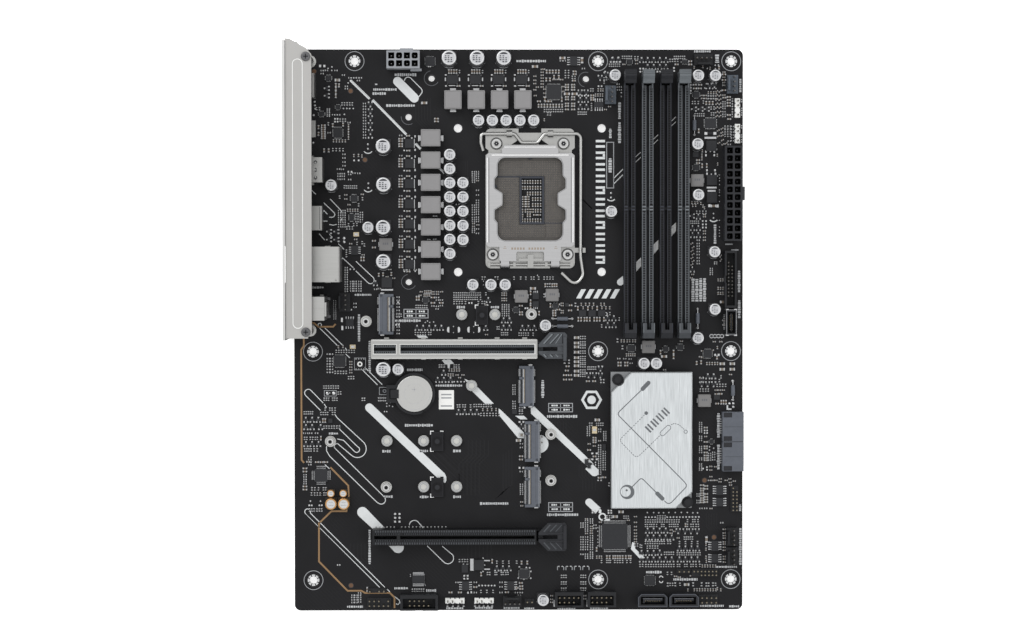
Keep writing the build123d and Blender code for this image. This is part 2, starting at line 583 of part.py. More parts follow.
# ---------------------------------------------------------------- rear connectors
# Each port is a shell whose mouth faces -X through the I/O shield.

SHELL = 0.5


def port_shell(y, z, back):
    """Hollow connector shell from the I/O face to x = back, open at its front."""
    span((IO_FACE, back), y, z)
    inner_y = (y[0] + SHELL, y[1] - SHELL)
    inner_z = (z[0] + SHELL, z[1] - SHELL)
    span((IO_FACE - 1, back - 3.0), inner_y, inner_z, Mode.SUBTRACT)


STACK_A_Y = (261.4, 274.4)
USB_C_Y = (240.6, 249.6)
DISPLAY_Y = (216.2, 228.8)
STACK_B_Y = (190.2, 203.2)
NETWORK_Y = (162.4, 181.3)
AUDIO_Y = (142.1, 154.7)

USB_STACKS = [(STACK_A_Y, 1.8), (STACK_B_Y, 5.8)]
STACK_TOP = 17.2

with BuildPart() as usb_ports:
    for depth, back in USB_STACKS:
        port_shell(depth, (TOP, STACK_TOP), back)
        # shelf between the two mouths, and a tongue inside each
        span((IO_FACE + 0.3, back - 2.0), depth, (8.6, 10.2))
        for floor in (4.6, 12.6):
            span((IO_FACE + 1.2, back - 2.0), (depth[0] + 1.2, depth[1] - 1.2), (floor, floor + 1.8))
    port_shell(USB_C_Y, (TOP, 5.4), 1.9)
    span((IO_FACE + 1.0, 0), (USB_C_Y[0] + 1.6, USB_C_Y[1] - 1.6), (3.1, 3.9))
save("usb_ports", usb_ports)

with BuildPart() as display_ports:
    port_shell((DISPLAY_Y[0] - 1.6, DISPLAY_Y[1] + 1.6), (TOP, 9.2), 1.0)
    span((IO_FACE, 6.2), (DISPLAY_Y[0] - 0.4, DISPLAY_Y[1] + 0.4), (9.2, 21.0))
    span((1.0, 6.2), DISPLAY_Y, (TOP, 9.2))
    span((IO_FACE - 1, 1.0), (DISPLAY_Y[0] + 0.3, DISPLAY_Y[1] - 0.3), (13.6, 19.6), Mode.SUBTRACT)
    span((IO_FACE + 1.2, 1.0), (DISPLAY_Y[0] + 2.0, DISPLAY_Y[1] - 2.0), (16.0, 17.2))
    span((IO_FACE + 1.2, -2.0), (DISPLAY_Y[0] + 1.0, DISPLAY_Y[1] - 1.0), (4.8, 6.0))
    # stamped keyholes in the shell's roof
    cylinders([(2.6, 218.2), (2.6, 226.6)], 0.95, 2.0, 20.0, Mode.SUBTRACT)
    boxes([(2.7, 222.4)], (1.0, 2.2, 2.0), 20.0, Mode.SUBTRACT)
save("display_ports", display_ports)

with BuildPart() as network_port:
    # jack for the network cable over two USB mouths, with a step at the back for its magnetics
    span((IO_FACE, 15.9), NETWORK_Y, (TOP, 29.0))
    chamfer(network_port.edges().filter_by(Axis.Y).group_by(Axis.Z)[-1].sort_by(Axis.X)[-1], 0.6)
    jack_y = (165.6, 178.0)
    span((IO_FACE - 1, 3.0), jack_y, (17.6, 26.0), Mode.SUBTRACT)
    span((IO_FACE - 1, 3.0), (168.8, 174.8), (15.4, 17.6), Mode.SUBTRACT)
    for floor in (3.0, 9.4):
        span((IO_FACE - 1, 1.0), (165.2, 178.4), (floor, floor + 5.4), Mode.SUBTRACT)
        span((IO_FACE + 1.2, 1.0), (166.4, 177.2), (floor + 1.6, floor + 3.4))
    cylinders([(13.8, 163.4)], 0.45, 3.0, 27.0, Mode.SUBTRACT)
save("network_port", network_port)

with BuildPart() as audio_jacks:
    # three stacked round jacks in one housing with a stepped back
    span((IO_FACE, 8.0), AUDIO_Y, (TOP, 36.8))
    span((8.0, 9.0), (AUDIO_Y[0] + 2.2, AUDIO_Y[1] - 3.0), (TOP, 36.0))
    span((IO_FACE, 8.0), (148.3, 148.6), (36.5, 36.8), Mode.SUBTRACT)
    for jack_z in (7.6, 19.4, 31.2):
        with Locations((IO_FACE - 0.75, 148.4, jack_z)):
            Cylinder(4.2, 1.5, rotation=(0, 90, 0))
        with Locations((IO_FACE + 5.0, 148.4, jack_z)):
            Cylinder(1.8, 14.0, rotation=(0, 90, 0), mode=Mode.SUBTRACT)
save("audio_jacks", audio_jacks)

with BuildPart() as io_shield:
    # perforated plate in front of the connectors, with a turned-in lip round its border
    span((IO_FACE - 1.4, IO_FACE - 0.9), (131.6, 290.4), (-1.9, 42.6))
    span((IO_FACE - 1.4, IO_FACE), (131.6, 132.1), (4.0, 42.6))
    span((IO_FACE - 1.4, IO_FACE), (289.9, 290.4), (4.0, 42.6))
    span((IO_FACE - 1.4, IO_FACE), (131.6, 290.4), (42.1, 42.6))
    gap = 0.3
    cut_x = (IO_FACE - 3, IO_FACE - 0.5)
    for (low, high), _ in USB_STACKS:
        span(cut_x, (low - gap, high + gap), (TOP, STACK_TOP + gap), Mode.SUBTRACT)
    span(cut_x, (USB_C_Y[0] - gap, USB_C_Y[1] + gap), (TOP, 5.7), Mode.SUBTRACT)
    span(cut_x, (DISPLAY_Y[0] - 1.9, DISPLAY_Y[1] + 1.9), (TOP, 21.3), Mode.SUBTRACT)
    span(cut_x, (NETWORK_Y[0] - gap, NETWORK_Y[1] + gap), (TOP, 29.3), Mode.SUBTRACT)
    for jack_z in (7.6, 19.4, 31.2):
        rod_x(cut_x, 148.4, jack_z, 4.5, Mode.SUBTRACT)
    # ventilation slots in the free upper field
    vents = [(y, 34.0) for y in range(166, 280, 6)]
    with Locations(*[(IO_FACE - 1.2, y, z) for y, z in vents]):
        Box(2.0, 2.0, 6.0, mode=Mode.SUBTRACT)
save("io_shield", io_shield)

COVER_LEFT = -12.2
COVER_RIGHT = 1.6

with BuildPart() as io_cover:
    # cap plate with a pointed back corner, clipped for the board's corner screw
    with BuildSketch(Plane.XY.offset(COVER_TOP - COVER_SHEET)):
        with BuildLine():
            Polyline((COVER_LEFT, COVER_FRONT), (COVER_RIGHT, COVER_FRONT), (COVER_RIGHT, 282.9),
                     (-1.2, 286.0), (-9.6, 290.8), (COVER_LEFT, 291.2), close=True)
        make_face()
        # the front right corner is notched beside the screw
        with Locations((1.4, COVER_FRONT)):
            Circle(1.8, mode=Mode.SUBTRACT)
    extrude(amount=COVER_SHEET)
    # walls at both ends and a short lip down the rear side
    span((COVER_LEFT, -4.6), (COVER_FRONT, COVER_FRONT + 1.2), (12.0, COVER_TOP - COVER_SHEET))
    span((COVER_LEFT, -6.0), (288.2, 289.4), (12.0, COVER_TOP - COVER_SHEET))
    span((COVER_LEFT, COVER_LEFT + 1.0), (COVER_FRONT, 289.4), (37.4, COVER_TOP - COVER_SHEET))
    # long rounded channel pressed into the top
    with BuildSketch(Plane.XY.offset(COVER_TOP)):
        with Locations((-5.7, 209.2)):
            SlotOverall(142.8, 5.9, rotation=90)
            SlotOverall(141.4, 4.5, rotation=90, mode=Mode.SUBTRACT)
    extrude(amount=-0.35, mode=Mode.SUBTRACT)
    cylinders(COVER_SCREWS, 1.6, COVER_SHEET, COVER_TOP - COVER_SHEET, Mode.SUBTRACT)
save("io_cover", io_cover)

with BuildPart() as io_posts:
    cylinders(COVER_SCREWS, 3.4, 1.0)
    cylinders(COVER_SCREWS, 2.4, COVER_TOP - COVER_SHEET - TOP)
    cylinders(COVER_SCREWS, 1.3, 8.0, COVER_TOP - COVER_SHEET - 8.0, Mode.SUBTRACT)
save("io_posts", io_posts)

with BuildPart() as io_screws:
    cylinders(COVER_SCREWS, 2.45, 1.1, COVER_TOP)
    fillet(io_screws.edges().filter_by(GeomType.CIRCLE).group_by(Axis.Z)[-1], 0.5)
    cylinders(COVER_SCREWS, 1.2, 6.4, COVER_TOP - 6.4)
    # cross drive
    boxes(COVER_SCREWS, (2.6, 0.6, 2.0), COVER_TOP + 0.3, Mode.SUBTRACT)
    boxes(COVER_SCREWS, (0.6, 2.6, 2.0), COVER_TOP + 0.3, Mode.SUBTRACT)
save("io_screws", io_screws)


# ---------------------------------------------------------------- power sockets

ATX_X = 227.6
ATX_FIRST_Y = 186.9
CPU_POWER_Y = 282.0
CPU_POWER_FIRST_X = 43.1
CELL = 3.3


def power_cells(cells, z=HEADER_FLOOR):
    """Square contact cells, every second one with its corners cut."""
    boxes(cells[::2], (CELL, CELL, MINI_FIT_TOP - z), z, Mode.SUBTRACT)
    with BuildSketch(Plane.XY.offset(z), mode=Mode.PRIVATE) as keyed:
        with Locations(*cells[1::2]):
            RectangleRounded(CELL, CELL, 1.0)
    extrude(to_extrude=keyed.sketch, amount=MINI_FIT_TOP - z, mode=Mode.SUBTRACT)


ATX_CELLS = [(ATX_X + side * MINI_FIT_PITCH / 2, ATX_FIRST_Y + MINI_FIT_PITCH * i)
             for i in range(12) for side in ((-1, 1) if i % 2 else (1, -1))]
CPU_CELLS = [(CPU_POWER_FIRST_X + MINI_FIT_PITCH * i, CPU_POWER_Y + side * MINI_FIT_PITCH / 2)
             for i in range(4) for side in ((-1, 1) if i % 2 else (1, -1))]

with BuildPart() as atx_power_socket:
    span((222.8, 232.4), (184.4, 235.6), (TOP, MINI_FIT_TOP))
    power_cells(ATX_CELLS)
    # latch ramp and side rib
    span((232.4, 233.6), (206.4, 213.6), (7.4, MINI_FIT_TOP))
    span((232.4, 233.0), (204.0, 216.0), (TOP, 7.4))
    chamfer(atx_power_socket.edges().filter_by(Axis.Y).group_by(Axis.X)[-1].sort_by(Axis.Z)[-1], 0.8)
save("atx_power_socket", atx_power_socket)

with BuildPart() as cpu_power_socket:
    span((40.5, 58.3), (277.2, 286.8), (TOP, MINI_FIT_TOP))
    power_cells(CPU_CELLS)
    span((47.6, 54.8), (286.8, 288.0), (7.4, MINI_FIT_TOP))
    span((45.5, 57.0), (286.8, 287.4), (TOP, 7.4))
    span((53.4, 59.3), (276.0, 277.2), (5.0, MINI_FIT_TOP - 2.0))
save("cpu_power_socket", cpu_power_socket)


# ---------------------------------------------------------------- edge sockets and headers

USB3_X = 226.4
USB3_Y = 163.6
USBC_X = 226.8
USBC_Y = 140.3

with BuildPart() as usb3_header:
    # shrouded twenty-position header with a side key
    span((USB3_X - 3.2, USB3_X + 3.2), (USB3_Y - 15.4, USB3_Y + 15.4), (TOP, 10.4))
    span((USB3_X - 2.2, USB3_X + 2.2), (USB3_Y - 14.2, USB3_Y + 14.2), (HEADER_FLOOR, 10.4), Mode.SUBTRACT)
    span((USB3_X - 3.2, USB3_X - 2.2), (USB3_Y - 2.0, USB3_Y + 2.0), (6.0, 10.4), Mode.SUBTRACT)
save("usb3_header", usb3_header)

with BuildPart() as usb_c_header:
    # metal-shrouded front panel port with a card tongue
    span((USBC_X - 2.7, USBC_X + 2.7), (USBC_Y - 6.8, USBC_Y + 6.8), (TOP, 10.0))
    span((USBC_X - 2.1, USBC_X + 2.1), (USBC_Y - 5.9, USBC_Y + 5.9), (HEADER_FLOOR, 10.0), Mode.SUBTRACT)
    span((USBC_X - 0.5, USBC_X + 0.5), (USBC_Y - 4.8, USBC_Y + 4.8), (HEADER_FLOOR, 8.6))
    boxes([(USBC_X, USBC_Y - 7.1), (USBC_X, USBC_Y + 7.1)], (3.0, 0.6, 1.4))
save("usb_c_header", usb_c_header)

SATA_EDGE_LEFT = 222.2
SATA_EDGE_RIGHT = 233.6


def sata_edge(y):
    """Flat drive port opening through the board's right edge."""
    span((SATA_EDGE_LEFT, SATA_EDGE_RIGHT), (y - 7.95, y + 7.95), (TOP, 8.8))
    span((SATA_EDGE_LEFT + 3.0, SATA_EDGE_RIGHT + 1), (y - 6.6, y + 6.6), (3.4, 6.8), Mode.SUBTRACT)
    span((SATA_EDGE_LEFT + 3.0, SATA_EDGE_RIGHT - 1), (y - 5.0, y + 5.0), (4.4, 5.4))
    span((SATA_EDGE_LEFT + 3.0, SATA_EDGE_RIGHT - 1), (y - 5.0, y - 4.0), (4.4, 6.4))
    # latch windows in the roof
    windows = [(SATA_EDGE_LEFT + 2.8, y + side * 6.4) for side in (-1, 1)]
    boxes(windows, (4.6, 2.6, 0.5), 8.3, Mode.SUBTRACT)


def sata_top(x, y):
    """Upright drive port with an L-shaped tongue."""
    with BuildSketch(Plane.XY.offset(TOP), mode=Mode.PRIVATE) as outline:
        with Locations((x, y)):
            Rectangle(16.0, 7.0)
        chamfer(outline.vertices().group_by(Axis.Y)[-1], 1.8)
    extrude(to_extrude=outline.sketch, amount=8.6)
    span((x - 6.6, x + 6.6), (y - 2.3, y + 2.1), (HEADER_FLOOR, 10.2), Mode.SUBTRACT)
    span((x - 5.2, x + 5.2), (y - 0.2, y + 1.0), (HEADER_FLOOR, 9.6))
    span((x - 5.2, x - 4.3), (y - 1.4, y - 0.2), (HEADER_FLOOR, 9.6))


with BuildPart() as sata_edge_ports:
    sata_edge(83.6)
    sata_edge(67.4)
save("sata_edge_ports", sata_edge_ports)

with BuildPart() as sata_top_ports:
    sata_top(184.2, -10.6)
    sata_top(201.2, -10.6)
save("sata_top_ports", sata_top_ports)

BOX_TOP = 10.4
BOX_HEADERS = [(57.5, -11.5, 20.4, 8.4), (138.9, -10.0, 15.4, 8.2), (156.6, -10.0, 15.4, 8.2)]
BOX_PIN_SHIFT = 0.5
OPEN_STRIPS = [(35.7, -12.1, 12.9, 5.1), (34.6, -5.6, 10.4, 2.5), (215.0, -10.8, 10.4, 5.1),
               (117.5, -11.6, 5.1, 2.5), (229.2, 44.0, 4.2, 14.2), (213.0, 3.7, 14.2, 4.2),
               (201.5, 4.6, 7.6, 2.5)]

with BuildPart() as box_headers:
    for x, y, length, width in BOX_HEADERS:
        boxes([(x, y)], (length, width, BOX_TOP - TOP))
        boxes([(x, y - BOX_PIN_SHIFT)], (length - 2.4, width - 2.6, BOX_TOP - HEADER_FLOOR), HEADER_FLOOR,
              Mode.SUBTRACT)
        # polarising gap in the wall that faces the board's edge
        boxes([(x, y - width / 2 + 0.5)], (4.2, 2.4, BOX_TOP - 5.0), 5.0, Mode.SUBTRACT)
    # low strips under the open pin rows
    for x, y, length, width in OPEN_STRIPS:
        boxes([(x, y)], (length, width, HEADER_FLOOR - TOP))
save("box_headers", box_headers)

# Four-pin fan headers: (x, y, side of the guide wall), with the pins in a row along Y or along X.
FAN_WALL_TOP = 12.6
FAN_BODY = (6.0, 10.0)
FAN_PIN_SHIFT = 0.6
FANS_ALONG_Y = [(161.6, 263.6, -1), (227.8, 269.3, -1), (227.8, 23.4, -1), (227.8, 12.7, -1),
                (17.4, 151.3, -1)]
FANS_ALONG_X = [(212.0, 282.6, -1), (108.1, -11.6, 1)]

with BuildPart() as fan_headers:
    for x, y, wall_side in FANS_ALONG_Y:
        boxes([(x, y)], (*FAN_BODY, 3.2))
        boxes([(x + wall_side * 2.5, y)], (1.0, 7.0, FAN_WALL_TOP - TOP))
    for x, y, wall_side in FANS_ALONG_X:
        boxes([(x, y)], (FAN_BODY[1], FAN_BODY[0], 3.2))
        boxes([(x, y + wall_side * 2.5)], (7.0, 1.0, FAN_WALL_TOP - TOP))
save("fan_headers", fan_headers)

RGB_ALONG_Y = [(230.5, 256.5), (230.5, 242.6)]
RGB_ALONG_X = [(76.9, -11.1), (92.8, -11.1)]

with BuildPart() as rgb_headers:
    boxes(RGB_ALONG_Y, (2.8, 10.4, 2.8))
    boxes(RGB_ALONG_X, (10.4, 2.8, 2.8))
save("rgb_headers", rgb_headers)


def grid_pins(x, y, pitch, columns, rows, levels, missing=()):
    """Pins of one block centred on (x, y), leaving out the (column, row) pairs in missing."""
    return [(x + pitch * (i - (columns - 1) / 2), y + pitch * (j - (rows - 1) / 2), *levels)
            for i in range(columns) for j in range(rows) if (i, j) not in missing]


def pin_places():
    """Every square header pin as (x, y, foot height, tip height)."""
    on_fan = (4.8, 11.0)
    on_rgb = (4.4, 10.4)
    in_box = (HEADER_FLOOR, 8.6)
    fine = (HEADER_FLOOR, 6.6)
    pins = []
    for x, y, wall_side in FANS_ALONG_Y:
        pins += grid_pins(x - wall_side * FAN_PIN_SHIFT, y, HEADER_PITCH, 1, 4, on_fan)
    for x, y, wall_side in FANS_ALONG_X:
        pins += grid_pins(x, y - wall_side * FAN_PIN_SHIFT, HEADER_PITCH, 4, 1, on_fan)
    for x, y in RGB_ALONG_Y:
        pins += grid_pins(x, y, HEADER_PITCH, 1, 4, on_rgb, [(0, 1)])
    for x, y in RGB_ALONG_X:
        pins += grid_pins(x, y, HEADER_PITCH, 4, 1, on_rgb, [(2, 0)])
    for (x, y, _, _), missing in zip(BOX_HEADERS, [(4, 1), (4, 0), (4, 0)]):
        pins += grid_pins(x, y - BOX_PIN_SHIFT, HEADER_PITCH, 5, 2, in_box, [missing])
    audio, digital, panel, clear, trust, debug, serial = [strip[:2] for strip in OPEN_STRIPS]
    pins += grid_pins(*audio, HEADER_PITCH, 5, 2, in_box, [(3, 1)])
    pins += grid_pins(*digital, HEADER_PITCH, 4, 1, in_box, [(1, 0)])
    pins += grid_pins(*panel, HEADER_PITCH, 4, 2, in_box)
    pins += grid_pins(*clear, HEADER_PITCH, 2, 1, in_box)
    pins += grid_pins(*trust, 2.0, 2, 7, fine, [(1, 6)])
    pins += grid_pins(*debug, 2.0, 7, 2, fine, [(0, 0), (1, 0)])
    pins += grid_pins(*serial, HEADER_PITCH, 3, 1, fine)
    pins += grid_pins(USB3_X, USB3_Y, 2.0, 2, 10, (HEADER_FLOOR, 8.0), [(1, 9)])
    pins += [(x, y, HEADER_FLOOR, 10.6) for x, y in ATX_CELLS + CPU_CELLS]
    return pins


with BuildPart() as header_pins:
    heights = sorted({(foot, tip) for _, _, foot, tip in pin_places()})
    for foot, tip in heights:
        group = [(x, y) for x, y, low, high in pin_places() if (low, high) == (foot, tip)]
        boxes(group, (PIN_WIDTH, PIN_WIDTH, tip - foot), foot)
save("header_pins", header_pins)


# ---------------------------------------------------------------- capacitors

LARGE_CAPS = [(74.1, 283.0), (89.2, 283.0), (103.6, 283.0), (38.4, 235.6), (38.6, 214.8), (38.4, 191.8),
              (38.5, 173.4), (38.4, 115.2)]
SMALL_CAPS = (
    row((90.0, 249.6), (7.45, 0), 5) + row((74.4, 231.1), (0, -7.63), 8) + row((81.5, 215.9), (0, -7.68), 5)
    + [(10.3, 214.6), (30.2, 191.8), (163.9, 274.0), (208.9, 273.9), (218.1, 273.8), (208.6, 236.9),
       (209.0, 209.4), (217.8, 178.5), (161.8, 200.4), (46.3, 115.1), (86.8, 160.8), (96.6, 160.8),
       (104.3, 160.8), (126.1, 138.7), (179.5, 118.1), (186.2, 118.1), (218.0, 147.4), (208.8, 131.9),
       (124.8, -10.3)]
)
AUDIO_CAPS_LARGE = [(9.8, 42.0), (16.7, 42.0)]
AUDIO_CAPS_SMALL = [(9.7, 47.6), (16.4, 47.6)]


def can(radius, height, base):
    """Surface-mount electrolytic can on a square plastic base with two cut corners."""
    with BuildPart() as capacitor:
        with BuildSketch():
            Rectangle(base, base)
            chamfer(vertices().group_by(Axis.Y)[0], base * 0.16)
        extrude(amount=0.9)
        with BuildSketch(Plane.XY.offset(0.9)):
            Circle(radius)
        extrude(amount=height - 0.9)
        fillet(capacitor.edges().filter_by(GeomType.CIRCLE).sort_by(Axis.Z)[-1], radius * 0.12)
        # rolled groove round the foot of the can
        with Locations((0, 0, 2.1)):
            Torus(radius + 0.25, 0.45, mode=Mode.SUBTRACT)
    return capacitor.part


with BuildPart() as capacitors_large:
    with Locations(*[(x, y, TOP) for x, y in LARGE_CAPS]):
        add(can(4.0, 11.0, 8.3))
save("capacitors_large", capacitors_large)

with BuildPart() as capacitors_small:
    with Locations(*[(x, y, TOP) for x, y in SMALL_CAPS]):
        add(can(3.15, 7.8, 6.6))
save("capacitors_small", capacitors_small)

with BuildPart() as audio_capacitors:
    with Locations(*[(x, y, TOP) for x, y in AUDIO_CAPS_LARGE]):
        add(can(3.15, 6.6, 6.6))
    with Locations(*[(x, y, TOP) for x, y in AUDIO_CAPS_SMALL]):
        add(can(2.0, 5.4, 4.2))
save("audio_capacitors", audio_capacitors)


# ---------------------------------------------------------------- chokes and chips

CHOKES_LEFT = row((64.1, 240.2), (0, -12.05), 7)
CHOKES_BACK = row((76.2, 260.8), (12.6, 0), 4)
CHOKES_SMALL = [(39.6, 182.6), (208.6, 217.2), (182.2, 126.9), (113.1, 154.4), (129.9, 155.1), (212.6, 97.6)]

with BuildPart() as chokes:
    boxes(CHOKES_LEFT, (10.6, 9.2, 6.6), TOP + 0.2)
    boxes(CHOKES_BACK, (9.4, 10.0, 6.6), TOP + 0.2)
    boxes(CHOKES_SMALL, (7.0, 6.8, 3.8), TOP + 0.1)
    chamfer(chokes.edges().filter_by(Axis.Z), 0.35)
    chamfer(chokes.faces().filter_by(Axis.Z).filter_by(lambda f: f.center().Z > 4.0).edges(), 0.25)
    # solder tabs
    boxes([(x + side * 5.75, y) for x, y in CHOKES_LEFT for side in (-1, 1)], (0.9, 3.0, 1.6))
    boxes([(x, y + side * 5.4) for x, y in CHOKES_BACK for side in (-1, 1)], (3.2, 0.8, 1.6))
    boxes([(x + side * 3.6, y) for x, y in CHOKES_SMALL for side in (-1, 1)], (0.6, 2.6, 1.2))
save("chokes", chokes)

with BuildPart() as power_stages:
    boxes(row((52.5, 237.4), (0, -10.93), 7), (4.8, 4.8, 0.9))
    boxes(row((75.9, 272.1), (12.5, 0), 4), (6.0, 5.0, 0.9))
    # three-terminal regulators with tall plastic bodies
    boxes([(216.4, 236.0), (216.7, 217.5), (216.7, 208.0), (40.2, 162.0), (89.9, 8.3)], (5.6, 5.6, 2.2))
    # three small regulators in a row
    boxes(row((146.4, 145.1), (5.25, 0), 3), (3.9, 3.4, 1.1))
save("power_stages", power_stages)

QUAD_FLAT = [(164.0, 23.6, 14.0), (4.3, 57.2, 7.0)]
CHIP_BODIES = [
    (63.7, 281.8, 5.3, 5.0), (141.7, 282.0, 4.0, 5.0), (130.9, 265.3, 8.0, 8.0), (155.3, 258.4, 5.0, 3.2),
    (13.8, 243.2, 5.0, 5.5), (8.8, 272.7, 3.0, 3.0), (22.5, 207.6, 3.8, 3.8), (21.1, 197.3, 2.6, 4.0),
    (22.8, 179.5, 4.0, 5.0), (216.0, 248.3, 6.2, 5.4), (14.5, 119.3, 6.2, 6.4), (20.0, 140.2, 4.2, 4.0),
    (61.2, 152.4, 3.2, 3.2), (121.0, 154.6, 3.4, 3.4), (120.9, 150.1, 3.4, 3.2), (131.8, 149.1, 3.0, 3.2),
    (214.6, 123.1, 4.6, 4.6), (199.6, 126.6, 3.6, 3.2), (191.7, 125.6, 3.0, 3.0), (57.0, 0.4, 6.6, 4.4),
    (82.3, 6.2, 3.4, 4.2), (82.7, -3.2, 3.9, 4.9), (107.3, -3.2, 3.9, 4.9), (114.6, 3.2, 5.6, 5.0),
    (218.6, 18.3, 3.9, 5.6), (218.6, 11.5, 3.9, 4.6), (221.2, 48.8, 3.9, 5.4), (221.2, 42.2, 3.9, 4.6),
    (183.2, -0.6, 5.8, 5.4), (219.6, 99.4, 3.4, 2.8), (148.6, 64.0, 2.0, 3.4), (110.3, 147.0, 3.4, 2.8),
    (9.4, 86.9, 2.2, 2.4), (173.0, 126.1, 4.4, 3.6),
]

with BuildPart() as chips:
    for x, y, side in QUAD_FLAT:
        boxes([(x, y)], (side, side, 1.4), TOP + 0.1)
        lead_count = int(side / 0.5) - 4
        lead_row = [0.5 * (i - (lead_count - 1) / 2) for i in range(lead_count)]
        reach = side / 2 + 0.6
        boxes([(x + offset, y + end * reach) for offset in lead_row for end in (-1, 1)], (0.24, 1.2, 0.3))
        boxes([(x + end * reach, y + offset) for offset in lead_row for end in (-1, 1)], (1.2, 0.24, 0.3))
    for x, y, size_x, size_y in CHIP_BODIES:
        boxes([(x, y)], (size_x, size_y, 1.1))
save("chips", chips)
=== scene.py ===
# Looks for a full-size motherboard. Metres in Blender; the helpers below take millimetres.
import math
import random

import bpy
from mathutils import Matrix, Vector


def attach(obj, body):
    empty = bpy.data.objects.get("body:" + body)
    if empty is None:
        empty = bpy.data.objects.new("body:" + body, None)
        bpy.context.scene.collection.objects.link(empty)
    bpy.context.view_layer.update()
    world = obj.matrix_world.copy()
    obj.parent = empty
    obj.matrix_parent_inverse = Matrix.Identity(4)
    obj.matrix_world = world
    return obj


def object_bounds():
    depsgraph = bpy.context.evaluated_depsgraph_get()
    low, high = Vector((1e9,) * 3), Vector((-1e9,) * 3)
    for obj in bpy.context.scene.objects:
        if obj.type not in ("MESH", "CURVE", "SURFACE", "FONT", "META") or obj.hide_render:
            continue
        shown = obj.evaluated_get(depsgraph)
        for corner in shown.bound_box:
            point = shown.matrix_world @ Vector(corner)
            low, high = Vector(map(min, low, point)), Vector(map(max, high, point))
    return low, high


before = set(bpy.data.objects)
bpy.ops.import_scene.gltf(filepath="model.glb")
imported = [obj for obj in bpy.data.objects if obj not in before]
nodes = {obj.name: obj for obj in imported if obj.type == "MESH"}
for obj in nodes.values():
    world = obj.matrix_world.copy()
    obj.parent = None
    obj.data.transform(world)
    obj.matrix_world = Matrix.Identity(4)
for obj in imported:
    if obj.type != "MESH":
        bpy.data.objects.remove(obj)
cad_low, cad_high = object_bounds()

MM = 0.001
BOARD = 1.6                 # the board's upper face
SUNK = BOARD - 0.02         # where print and feet start, just inside the board
INK_TOP = BOARD + 0.03
SIDES = (-1, 1)


# ---------------------------------------------------------------- materials

def linear(value):
    """One sRGB channel, 0 to 255, as a linear number."""
    value = value / 255
    return value / 12.92 if value <= 0.04045 else ((value + 0.055) / 1.055) ** 2.4


def rgb(r, g, b):
    return (linear(r), linear(g), linear(b), 1)


def shade(colour, factor):
    return tuple(min(1, c * factor) for c in colour[:3]) + (1,)


def feed(tree, node, inputs):
    """Each input takes another node's output or a plain value."""
    for name, value in inputs.items():
        if isinstance(value, bpy.types.NodeSocket):
            tree.links.new(value, node.inputs[name])
        else:
            node.inputs[name].default_value = value


def add(tree, kind, inputs, **settings):
    node = tree.nodes.new("ShaderNode" + kind)
    for name, value in settings.items():
        setattr(node, name, value)
    feed(tree, node, inputs)
    return node


def new_material(name):
    """An empty node material with its shader, and the object coordinates that its patterns use."""
    made = bpy.data.materials.new(name)
    made.use_nodes = True
    tree = made.node_tree
    return made, tree, tree.nodes["Principled BSDF"], add(tree, "TexCoord", {}).outputs["Object"]


def noise(tree, vector, scale, detail=4, rough=0.55):
    inputs = {"Scale": scale, "Detail": detail, "Roughness": rough, "Vector": vector}
    return add(tree, "TexNoise", inputs).outputs["Fac"]


def ramp(tree, fac, *stops):
    """A colour ramp with (position, colour) stops."""
    node = add(tree, "ValToRGB", {"Fac": fac})
    for element, (position, colour) in zip(node.color_ramp.elements, stops):
        element.position = position
        element.color = colour
    return node.outputs["Color"]


def mottle(tree, fac, colour, vary):
    return ramp(tree, fac, (0.25, shade(colour, 1 - vary)), (0.75, shade(colour, 1 + vary)))


def mix(tree, factor, a, b):
    return add(tree, "Mix", {"Factor": factor, "A": a, "B": b}, data_type="RGBA").outputs["Result"]


def to_range(tree, fac, low, high):
    return add(tree, "MapRange", {"To Min": low, "To Max": high, "Value": fac}).outputs["Result"]


def bump(tree, shader, height, distance, strength=0.5):
    inputs = {"Strength": strength, "Distance": distance, "Height": height}
    feed(tree, shader, {"Normal": add(tree, "Bump", inputs).outputs["Normal"]})


def stretched(tree, plain, stretch):
    """Object coordinates scaled differently along each axis."""
    return add(tree, "Mapping", {"Scale": stretch, "Vector": plain}).outputs["Vector"]


def above(tree, plain, level):
    """1 above a level in millimetres and 0 below it."""
    height = add(tree, "SeparateXYZ", {"Vector": plain}).outputs["Z"]
    return add(tree, "Math", {0: height, 1: level * MM}, operation="GREATER_THAN").outputs["Value"]


def finish(name, colour, rough=0.5, metallic=0, vary=0.12, scale=350, grain=2600, grain_depth=0.00002,
           stretch=(1, 1, 1), rough_vary=0.08, gloss=0.25):
    """Base colour with slow mottling, fine surface grain and uneven roughness."""
    made, tree, shader, plain = new_material(name)
    vector = stretched(tree, plain, stretch)
    slow = noise(tree, vector, scale)
    fine = noise(tree, vector, grain, 6)
    feed(tree, shader, {
        "Base Color": mottle(tree, slow, colour if len(colour) == 4 else rgb(*colour), vary),
        "Roughness": to_range(tree, fine, max(0.02, rough - rough_vary), rough + rough_vary),
        "Metallic": metallic, "Specular IOR Level": 0.5 if metallic > 0.3 else gloss})
    if grain_depth:
        bump(tree, shader, fine, grain_depth)
    return made


def print_ink(name, colour, vary=0.06):
    return finish(name, colour, 0.6, 0, vary, 260, 2600, 0.000008)


def brushed(name, colour, rough, along, depth=0.00001):
    """Metal with fine scratches that run along one axis."""
    stretch = {"X": (1, 40, 40), "Y": (40, 1, 40)}[along]
    return finish(name, colour, rough, 1, 0.06, 90, 160, depth, stretch, 0.09)


